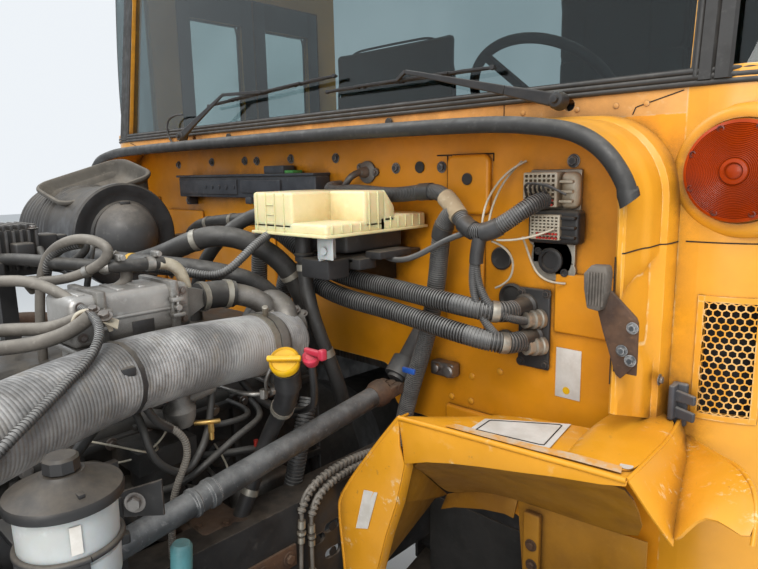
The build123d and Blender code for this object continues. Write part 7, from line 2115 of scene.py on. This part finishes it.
class BAY_OT_springs(bpy.types.Operator):
    """Front leaf springs with U-bolts, shackles and shock absorbers"""
    bl_idname = "bay.springs"
    bl_label = "Front springs"

    def execute(self, context):
        parts = []
        for i in range(4):
            reach, low = 0.65 * (1 - 0.17 * i), -0.345 - 0.0125 * i
            rise = 0.110 * (reach / 0.65) ** 2
            line = [(t * reach / 5, low - 0.006 + rise * (t / 5) ** 2) for t in range(-5, 6)]
            parts.append(skin("leaf", [[(x, AXLE_Y + y, z) for y, z in line] for x in (0.352, 0.428)], 0.0105,
                              0.001))
        for y in (-2.445, -1.145):
            parts.append(disc("eye", (0.352, y, -0.215), LEFT, 0.026, 0.076, 28))
            for x in (0.342, 0.428):
                parts.append(box("cheek", (x, y - 0.045, -0.255), (x + 0.010, y + 0.045, -0.131), 0.004))
            parts.append(box("saddle", (0.342, y - 0.060, -0.144), (0.438, y + 0.060, -0.1305), 0.003))
            parts.append(disc("pin", (0.338, y, -0.215), LEFT, 0.011, 0.108, 20))
        parts.append(box("clamp", (0.340, -1.865, -0.345), (0.440, -1.725, -0.325), 0.005))
        parts += [box("stop", (0.366, -1.825, -0.326), (0.414, -1.765, -0.285), 0.008)]
        for y in (-1.845, -1.745):
            for x in (0.346, 0.434):
                parts.append(smooth_hose("u_bolt",
                                         [(x, y, -0.455), (x, y, -0.330), (x, y, -0.318), (0.39, y, -0.314)],
                                         0.0075))
        for y in (-1.940, -1.650):
            parts.append(box("band", (0.345, y - 0.014, -0.375), (0.435, y + 0.014, -0.318), 0.003))
        shock = [turned("shock",
                        [(0, 0), (0, 0.027), (0.004, 0.029), (0.150, 0.029), (0.152, 0.034), (0.156, 0.036),
                         (0.245, 0.036), (0.252, 0.030), (0.252, 0)],
                        (0.492, -1.710, -0.372), (0, 0.20, 0.98), 36),
                 box("mount", (0.430, -1.685, -0.128), (0.520, -1.635, -0.088), 0.006),
                 disc("mount", (0.460, -1.712, -0.366), LEFT, 0.014, 0.036, 20)]
        pair("front_spring_left", "front_spring_right", [*parts, *shock], "black", replaces=["front_springs"])
        return {"FINISHED"}


LAMP = Vector((1.074, -1.250, 0.765))


def corner_y(x):
    """Y of the corner panel's rounded face at a distance from the bus's middle."""
    over = max(0.0, x - 1.020)
    return -1.050 - (0.04 - min(over, 0.19) ** 2) ** 0.5


class BAY_OT_lamps(bpy.types.Operator):
    """Corner lamps with ringed lenses on pressed pods, and the corner grilles"""
    bl_idname = "bay.lamps"
    bl_label = "Corner lamps and grilles"

    def execute(self, context):
        profile = [(0.004, 0.080), (0.018, 0.080), (0.022, 0.0785), (0.0235, 0.076)]
        radius, height = 0.074, 0.0240
        while radius > 0.020:
            profile += [(height + 0.0009, radius), (height, radius - 0.0012)]
            radius -= 0.0026
            height = 0.0240 + 0.016 * (1 - (radius / 0.074) ** 2)
        profile += [(height + 0.003, 0.019), (height + 0.004, 0.014), (height + 0.001, 0.012),
                    (height + 0.003, 0.008), (height + 0.003, 0)]
        lens_piece = turned("lens", profile, LAMP, FRONT, 72)
        screws = []
        for i in range(8):
            a = radians(45 * i + 22)
            at = LAMP + Vector((0.0705 * cos(a), -0.0225, 0.0705 * sin(a)))
            screws.append(turned("screw",
                                 [(0, 0.0055), (0.004, 0.0055), (0.0045, 0.004), (0.0025, 0.003), (0.0025, 0)],
                                 at, FRONT, 16))
        pair("corner_lens_left", "corner_lens_right", [lens_piece], "lens", replaces=["corner_lamps"])
        pair("lens_screws_left", "lens_screws_right", screws, "lens_dark")
        pod = turned("lamp_pod",
                     [(-0.075, 0.114), (-0.020, 0.110), (-0.004, 0.105), (0.003, 0.098), (0.005, 0.090),
                      (0.004, 0.083), (0.001, 0.081), (0.001, 0)], LAMP, FRONT, 72)
        pair("lamp_pod_left", "lamp_pod_right", [pod], "paint")
        pitch = 0.0130
        clear()
        bpy.ops.mesh.primitive_circle_add(
            vertices=6, radius=pitch / 3 ** 0.5, fill_type="NGON", location=(1.030, 0, 0.352),
            rotation=(pi / 2, 0, 0))
        cell = called("corner_mesh")
        bake(cell)
        edit(bpy.context.object)
        bpy.ops.mesh.inset(thickness=0.0011)
        bpy.ops.mesh.delete(type="FACE")
        done()
        width, height = 0.092, 0.211
        use(cell, "ARRAY", count=2, use_relative_offset=False, use_constant_offset=True,
            constant_offset_displace=(pitch / 2, 0, pitch * 0.866))
        use(cell, "ARRAY", count=int(width / pitch) + 1, use_relative_offset=False, use_constant_offset=True,
            constant_offset_displace=(pitch, 0, 0))
        use(cell, "ARRAY", count=int(height / pitch / 1.732) + 1, use_relative_offset=False,
            use_constant_offset=True, constant_offset_displace=(0, 0, pitch * 1.732))
        edit(cell)
        bpy.ops.mesh.remove_doubles(threshold=0.0002)
        for point, normal in (
                ((1.034, 0, 0), (-1, 0, 0)), ((1.114, 0, 0), (1, 0, 0)), ((0, 0, 0.354), (0, 0, -1)),
                ((0, 0, 0.553), (0, 0, 1))):
            bpy.ops.mesh.select_all(action="SELECT")
            bpy.ops.mesh.bisect(plane_co=point, plane_no=normal, clear_outer=True)
        face_out()
        use(cell, "SOLIDIFY", thickness=0.0016, offset=0)
        for vertex in cell.data.vertices:
            vertex.co.y += corner_y(vertex.co.x) - 0.001
        rails = []
        for low, high in (
                ((1.026, 0.346), (1.036, 0.561)), ((1.112, 0.346), (1.122, 0.561)),
                ((1.026, 0.346), (1.122, 0.356)), ((1.026, 0.551), (1.122, 0.561))):
            rail = box("rail", (low[0], -0.003, low[1]), (high[0], 0.003, high[1]), 0)
            faces_where(rail, lambda f: True)
            bpy.ops.mesh.subdivide(number_cuts=9)
            done()
            for vertex in rail.data.vertices:
                vertex.co.y += corner_y(vertex.co.x)
            rails.append(settle(rail))
        pair("corner_mesh_left", "corner_mesh_right", [settle(cell), *rails], "paint",
             replaces=["corner_grilles"])
        # A near-black sheet behind the grille mesh: painted shade in the recess behind the grille.
        dark = skin("dark",
                    [[(x, corner_y(x) + 0.03, 0.350) for x in (1.03, 1.06, 1.09, 1.118)],
                     [(x, corner_y(x) + 0.03, 0.557) for x in (1.03, 1.06, 1.09, 1.118)]], 0.002)
        pair("grille_shade_left", "grille_shade_right", [dark], "shadow", "black_plastic")
        seams = [smooth_hose("seam",
                             [(1.000 + 0.02 * i, corner_y(1.000 + 0.02 * i) - 0.0002, 0.6495) for i in range(11)],
                             0.0011, 3)]
        pair("panel_seam_left", "panel_seam_right", seams, "shadow")
        return {"FINISHED"}


class BAY_OT_hood_hardware(bpy.types.Operator):
    """Hood stops with grooved rubber pads, and the two-pronged catches"""
    bl_idname = "bay.hood_hardware"
    bl_label = "Hood stops and catches"

    def execute(self, context):
        outline = [(0.906, 0.552), (0.912, 0.575), (0.930, 0.572), (0.971, 0.533), (0.974, 0.525), (0.975, 0.459),
                   (0.951, 0.431), (0.943, 0.437), (0.919, 0.507)]
        clear()
        bpy.ops.mesh.primitive_circle_add(vertices=len(outline), radius=1, fill_type="NGON")
        plate = called("stop_plate")
        for vertex, (x, z) in zip(plate.data.vertices, outline):
            vertex.co = (x + 0.0125, -1.4065 - (0.94 - x) * 0.05, z + 0.0095)
        settle(plate)
        use(plate, "SOLIDIFY", thickness=0.009, offset=0)
        use(plate, "BEVEL", width=0.0015, segments=2)
        arm = [box("stop_plate", (0.948, -1.4025, 0.448), (0.986, -1.3985, 0.530), 0.001)]
        pair("hood_stop_left", "hood_stop_right", [settle(plate), *arm], "rust", replaces=["hood_stops"])
        pad = [skin("pad",
                    [mm((912, -1420, 553), (934, -1420, 550)), mm((906, -1420, 585), (944, -1420, 585)),
                     mm((905, -1420, 609), (945, -1420, 611)), mm((917, -1420, 623), (942, -1420, 624))],
                    0.024, 0.004)]
        for i in range(6):
            x = 0.914 + i * 0.0048
            pad.append(bar("pad", (x + 0.0005, -1.4325, 0.559), (x + 0.001, -1.4325, 0.613), 0.0026, 0.003, 1.0,
                           0.0008))
        pair("stop_pad_left", "stop_pad_right", pad, "grey_rubber")
        hex_bolts("stop_bolts",
                  [((s * x, -1.411, z), FRONT, 0.75) for s in (1, -1)
                   for x, z in ((0.980, 0.527), (0.965, 0.488), (0.979, 0.474))], finish="shaft")
        parts = [box("catch", (0.998, -1.285, 0.342), (1.008, -1.2503, 0.404), 0.003, 3),
                 box("catch", (0.996, -1.262, 0.326), (1.022, -1.2503, 0.404), 0.004, 3)]
        for z in (0.376, 0.346):
            parts.append(bar("catch", (1.003, -1.268, z + 0.008), (1.040, -1.276, z + 0.006), 0.010, 0.020, 0.8,
                             0.002))
        pair("hood_catch_left", "hood_catch_right", parts, "dusty_blue")
        return {"FINISHED"}


# ---------------------------------------------------------------- running gear, trim and front

class BAY_OT_wheel_dressing(bpy.types.Operator):
    """Wheel nuts, studs, hub caps, valves and tread lugs"""
    bl_idname = "bay.wheel_dressing"
    bl_label = "Wheel dressing"

    def execute(self, context):
        count = context.scene.bay_sizes.lug_count
        for side, s in (("left", 1), ("right", -1)):
            body, out = "wheel_" + side, (s, 0, 0)
            hub = Vector((s * HUB_FACE_X, AXLE_Y, AXLE_Z))

            def ring(n, r, x=0.0, turn=0.0):
                return [hub + Vector((s * x, r * cos(2 * pi * i / n + turn), r * sin(2 * pi * i / n + turn)))
                        for i in range(n)]

            nuts = [disc("nut", at, out, 0.0165, 0.022, 6, 0.002) for at in ring(count, 0.137)]
            nuts += [disc("nut", at, out, 0.0095, 0.034, 16, 0.002) for at in ring(count, 0.137)]
            nuts += [disc("nut", at, out, 0.0075, 0.008, 6, 0.001) for at in ring(8, 0.048, 0.057)]
            make("wheel_nuts_" + side, nuts, "steel", body=body)
            cap = [turned("cap",
                          [(0, 0.0), (0, 0.060), (0.004, 0.064), (0.010, 0.062), (0.014, 0.046), (0.026, 0.040),
                           (0.030, 0.030), (0.030, 0)], hub + Vector((s * 0.054, 0, 0)), out, 48)]
            make("hub_cap_" + side, cap, "rust", "rim_black", body)
            stem = [smooth_hose("valve",
                                [hub + Vector((0.0, 0.0, 0.190)), hub + Vector((s * 0.014, 0.0, 0.196)),
                                 hub + Vector((s * 0.030, 0.0, 0.182))], 0.0045)]
            make("tyre_valve_" + side, stem, "rubber", body=body)
            lug = box("lug", (-0.020, -0.0115, -0.006), (0.020, 0.0115, 0.003), 0.002)
            spots = []
            for i in range(48):
                a = 2 * pi * i / 48
                for x in (TYRE_MIDDLE_X - 0.0905, TYRE_MIDDLE_X + 0.0345):
                    outward = Vector((0, cos(a + x), sin(a + x)))
                    spots.append((Vector((s * x, AXLE_Y, AXLE_Z)) + TREAD_RADIUS * outward, outward, 1.0))
            make("tread_lugs_" + side, copies(lug, spots), "tyre", "tyre_rubber", body)
        return {"FINISHED"}


class BAY_OT_body_trim(bpy.types.Operator):
    """Rub rails, rivet rows, roof lamps and the door panes' gaskets"""
    bl_idname = "bay.body_trim"
    bl_label = "Body trim"

    def execute(self, context):
        rails, rivets, seams = [], [], []
        for z in (0.30, 0.62, 0.86):
            rails.append(skin("rail",
                              [[(1.2195, y, z - 0.030), (1.2195, y, z - 0.022), (1.228, y, z - 0.014),
                                (1.228, y, z + 0.014), (1.2195, y, z + 0.022), (1.2195, y, z + 0.030)]
                               for y in (-1.03, -0.70, -0.35, -0.004)], 0.002))
            rivets += [((1.2215, -1.0 + 0.11 * i, z + dz), LEFT, 0.6) for i in range(10)
                       for dz in (0.026, -0.026)]
        make("rub_rails", rails, "black")
        round_rivets("rail_rivets", rivets, 0.006, "steel", "shaft_steel")
        rows = [((x, -0.04 - 0.56 * j, 2.2402), UP, 1.0) for j in range(2)
                for x in [-0.70 + 0.14 * i for i in range(11)]]
        round_rivets("roof_rivets", rows, 0.006, "paint")
        for side in (1, -1):
            seams.append(smooth_hose("seam", [(side * 1.2203, y, 1.700) for y in (-0.98, -0.50, -0.01)], 0.0012,
                                     2))
        make("body_seams", seams, "shadow")
        amber, red, pods = [], [], []
        for x, kind in ((-0.86, red), (-0.58, amber), (0.58, amber), (0.86, red)):
            at = Vector((x, -1.155 + abs(x) * 0.02, 1.93))
            pods.append(turned("pod",
                               [(-0.06, 0.098), (0.004, 0.098), (0.010, 0.092), (0.006, 0.086), (0.002, 0.084),
                                (0.002, 0)], at, FRONT, 48))
            kind.append(turned("lamp",
                               [(0, 0.0), (0, 0.085), (0.006, 0.085), (0.012, 0.078), (0.010, 0.060),
                                (0.015, 0.056), (0.013, 0.036), (0.018, 0.030), (0.019, 0)], at, FRONT, 48))
        for x in (-0.16, 0.0, 0.16):
            amber.append(turned("lamp", [(0, 0.0), (0, 0.026), (0.010, 0.025), (0.020, 0.016), (0.022, 0)],
                                (x, -1.148, 2.05), (0, -0.9, 0.43), 28))
        make("roof_lamp_pods", pods, "plastic")
        make("roof_lamps_red", red, "lens")
        make("roof_lamps_amber", amber, "amber")
        for body, y0, y1 in DOOR_LEAVES:
            edges = []
            for z0, z1 in ((-0.340, 0.330), (0.560, 1.440)):
                a, b = y0 + 0.060, y1 - 0.060
                edges.append(smooth_hose("rim",
                                         [(-1.2212, a, z0), (-1.2212, b, z0), (-1.2212, b, z1), (-1.2212, a, z1),
                                          (-1.2212, a, z0)], 0.0065, 2))
            make(body + "_gaskets", edges, "rubber", body=body)
        return {"FINISHED"}


class BAY_OT_front_dressing(bpy.types.Operator):
    """Radiator frame, fan clutch, belt and pulleys, bumper bolts and tow hooks"""
    bl_idname = "bay.front_dressing"
    bl_label = "Front dressing"

    def execute(self, context):
        frame_parts = [box("side", (x, -2.830, -0.160), (x + 0.022, -2.700, 0.600), 0.004)
                       for x in (-0.345, 0.323)]
        frame_parts += [box("side", (-0.345, -2.838, z), (0.345, -2.828, z + 0.020), 0.003)
                        for z in (-0.12, 0.10, 0.32, 0.54)]
        make("radiator_frame", frame_parts, "black")
        hub = [turned("hub",
                      [(0, 0.0), (0, 0.070), (0.010, 0.074), (0.020, 0.074), (0.026, 0.060), (0.030, 0.030),
                       (0.036, 0.028), (0.036, 0)], (0, -2.592, 0.196), FRONT, 48)]
        hub += [bar("hub", (0.030 * cos(a), -2.612, 0.196 + 0.030 * sin(a)),
                    (0.068 * cos(a), -2.612, 0.196 + 0.068 * sin(a)), 0.010, 0.005)
                for a in [2 * pi * i / 16 for i in range(16)]]
        make("fan_clutch", hub, "aluminium", body="fan")
        pulleys = [turned("pulley",
                          [(0, 0.0), (0, r), (0.006, r), (0.008, r - 0.006), (0.020, r - 0.006), (0.022, r),
                           (0.028, r), (0.028, 0)], (x, -2.480, z), FRONT, 40)
                   for x, z, r in ((0.0, -0.12, 0.085), (0.24, 0.10, 0.055), (-0.24, 0.10, 0.060))]
        make("pulleys", pulleys, "steel")
        belt = smooth_hose(
            "belt",
            mm((0, -2495, -210), (100, -2495, -180), (285, -2495, 30), (310, -2495, 120), (240, -2495, 165),
               (0, -2495, 150), (-240, -2495, 170), (-315, -2495, 120), (-290, -2495, 30), (-100, -2495, -180),
               (0, -2495, -210)), 0.007, 3)
        make("fan_belt", [belt], "rubber")
        hex_bolts("bumper_bolts",
                  [((s * x, -3.0392, z), FRONT, 1.6) for s in (1, -1) for x in (0.33, 0.43)
                   for z in (-0.07, 0.07)])
        hooks = [smooth_hose("hook",
                             [(s * 0.36, -2.90, -0.158), (s * 0.36, -3.00, -0.172), (s * 0.36, -3.03, -0.205),
                              (s * 0.36, -2.99, -0.232), (s * 0.36, -2.93, -0.220)], 0.013)
                 for s in (1, -1)]
        make("tow_hooks", hooks, "black")
        covers = [box("cover", (-0.110, -2.30 + 0.135 * i, 0.676), (0.110, -2.285 + 0.135 * i, 0.684), 0.003)
                  for i in range(2)]
        make("cover_ribs", covers, "plastic")
        tubes = [smooth_hose("tube",
                             mm((-200, -2250, 400), (-300, -2200, 430), (-340, -2000, 440), (-340, -1800, 430),
                                (-260, -1700, 380), (-200, -1660, 360)), 0.020)]
        make("exhaust_side_tube", tubes, "rust", "engine_paint")
        return {"FINISHED"}


# ---------------------------------------------------------------- stage

LENS_AT = Vector((1.349, -2.375, 0.776))
LENS_TURN, LENS_PITCH, LENS_ROLL = 43.4, 10.2, -1.13
LENS_LENGTH, SENSOR_WIDTH = 29.92, 36
FLOOR_Z = -0.81


class BAY_OT_stage(bpy.types.Operator):
    """Floor, soft studio light and the camera at the photograph's angle"""
    bl_idname = "bay.stage"
    bl_label = "Stage"

    def execute(self, context):
        turn, pitch, roll = radians(LENS_TURN), radians(LENS_PITCH), radians(LENS_ROLL)
        ahead = Vector((-sin(turn), cos(turn), 0))
        side = Vector((cos(turn), sin(turn), 0))
        up = Vector((0, 0, 1))
        look = cos(pitch) * ahead - sin(pitch) * up
        top = sin(pitch) * ahead + cos(pitch) * up
        right = cos(roll) * side + sin(roll) * top
        top = -sin(roll) * side + cos(roll) * top
        clear()
        bpy.ops.object.camera_add()
        camera = called("bay_camera")
        camera.matrix_world = Matrix.Translation(LENS_AT) @ Matrix((right, top, -look)).transposed().to_4x4()
        camera.data.sensor_width = SENSOR_WIDTH
        camera.data.lens = LENS_LENGTH
        camera.data.clip_start = 0.02
        context.scene.camera = camera

        bpy.ops.mesh.primitive_plane_add(size=60, location=(0, 0, FLOOR_Z))
        floor = called("studio_floor")
        settle(floor)
        f = Finish("studio_floor")
        tone = f.mix(f.noise(1.2, 3), (0.74, 0.74, 0.73), (0.79, 0.79, 0.78))
        path = f.node("LightPath")
        seen = f.math("MAXIMUM", path.outputs["Is Camera Ray"], path.outputs["Is Glossy Ray"])
        seen = f.math("MAXIMUM", seen, path.outputs["Is Transmission Ray"])
        f.colour(f.mix(seen, tone, (0.84, 0.84, 0.83)))
        f.shader.inputs["Roughness"].default_value = 0.9
        floor.data.materials.append(f.material)

        world = bpy.data.worlds.new("studio")
        context.scene.world = world
        world.use_nodes = True
        tree = world.node_tree
        tree.nodes.clear()
        out = tree.nodes.new("ShaderNodeOutputWorld")
        light, backdrop = tree.nodes.new("ShaderNodeBackground"), tree.nodes.new("ShaderNodeBackground")
        light.inputs["Color"].default_value = (0.86, 0.93, 1.0, 1)
        light.inputs["Strength"].default_value = 0.62
        backdrop.inputs["Color"].default_value = (0.86, 0.90, 0.94, 1)
        backdrop.inputs["Strength"].default_value = 1.0
        path = tree.nodes.new("ShaderNodeLightPath")
        either = None
        for output in ("Is Camera Ray", "Is Glossy Ray", "Is Transmission Ray"):
            if either is None:
                either = path.outputs[output]
            else:
                larger = tree.nodes.new("ShaderNodeMath")
                larger.operation = "MAXIMUM"
                tree.links.new(either, larger.inputs[0])
                tree.links.new(path.outputs[output], larger.inputs[1])
                either = larger.outputs[0]
        mix = tree.nodes.new("ShaderNodeMixShader")
        tree.links.new(either, mix.inputs[0])
        tree.links.new(light.outputs[0], mix.inputs[1])
        tree.links.new(backdrop.outputs[0], mix.inputs[2])
        tree.links.new(mix.outputs[0], out.inputs["Surface"])

        for name, at, aim, size, power, tint in (
                ("key", (3.2, -5.0, 5.2), (0.4, -1.6, 0.4), 3.2, 300, (1.0, 0.965, 0.91)),
                ("bay", (2.2, -5.4, 1.6), (0.2, -1.3, 0.4), 2.0, 75, (1.0, 0.97, 0.93)),
                ("fill", (-3.2, -3.8, 5.6), (0.0, -1.2, 0.5), 3.0, 110, (0.90, 0.95, 1.0)),
                ("rear", (-1.5, 4.5, 4.5), (0.0, -0.6, 0.6), 3.5, 120, (1.0, 1.0, 1.0))):
            clear()
            bpy.ops.object.light_add(type="AREA", location=at)
            lamp = called(name + "_light")
            lamp.rotation_euler = facing(Vector(at) - Vector(aim))
            lamp.data.shape, lamp.data.size, lamp.data.energy, lamp.data.color = "SQUARE", size, power, tint
        context.scene.view_settings.view_transform = "Standard"
        return {"FINISHED"}


CLASSES = [BayPaint, BaySizes, BAY_OT_finishes, BAY_OT_landing, BAY_OT_firewall_fittings, BAY_OT_plates,
           BAY_OT_power_module, BAY_OT_hoses, BAY_OT_intake, BAY_OT_air_cleaner, BAY_OT_tank, BAY_OT_reservoir,
           BAY_OT_filler, BAY_OT_steering, BAY_OT_splash, BAY_OT_windshield_edges, BAY_OT_wipers,
           BAY_OT_engine_hoses, BAY_OT_engine_side, BAY_OT_brake_lines, BAY_OT_springs, BAY_OT_seats, BAY_OT_cab,
           BAY_OT_lamps, BAY_OT_hood_hardware, BAY_OT_wheel_dressing, BAY_OT_body_trim, BAY_OT_front_dressing,
           BAY_OT_stage]
STEPS = [item.bl_idname[4:] for item in CLASSES[2:]]


class BAY_PT_panel(bpy.types.Panel):
    """The bay's settings and its operators"""
    bl_idname = "BAY_PT_panel"
    bl_label = "Engine Bay"
    bl_space_type = "VIEW_3D"
    bl_region_type = "UI"
    bl_category = "Engine Bay"

    def draw(self, context):
        for group in (context.scene.bay_paint, context.scene.bay_sizes):
            for field in group.__annotations__:
                self.layout.prop(group, field)
        for step in STEPS:
            self.layout.operator("bay." + step)


def register():
    for item in CLASSES + [BAY_PT_panel]:
        bpy.utils.register_class(item)
    bpy.types.Scene.bay_paint = bpy.props.PointerProperty(type=BayPaint)
    bpy.types.Scene.bay_sizes = bpy.props.PointerProperty(type=BaySizes)


def unregister():
    del bpy.types.Scene.bay_paint
    del bpy.types.Scene.bay_sizes
    for item in reversed(CLASSES + [BAY_PT_panel]):
        bpy.utils.unregister_class(item)


def main():
    register()
    for step in STEPS:
        getattr(bpy.ops.bay, step)()


if __name__ == "__main__":
    main()
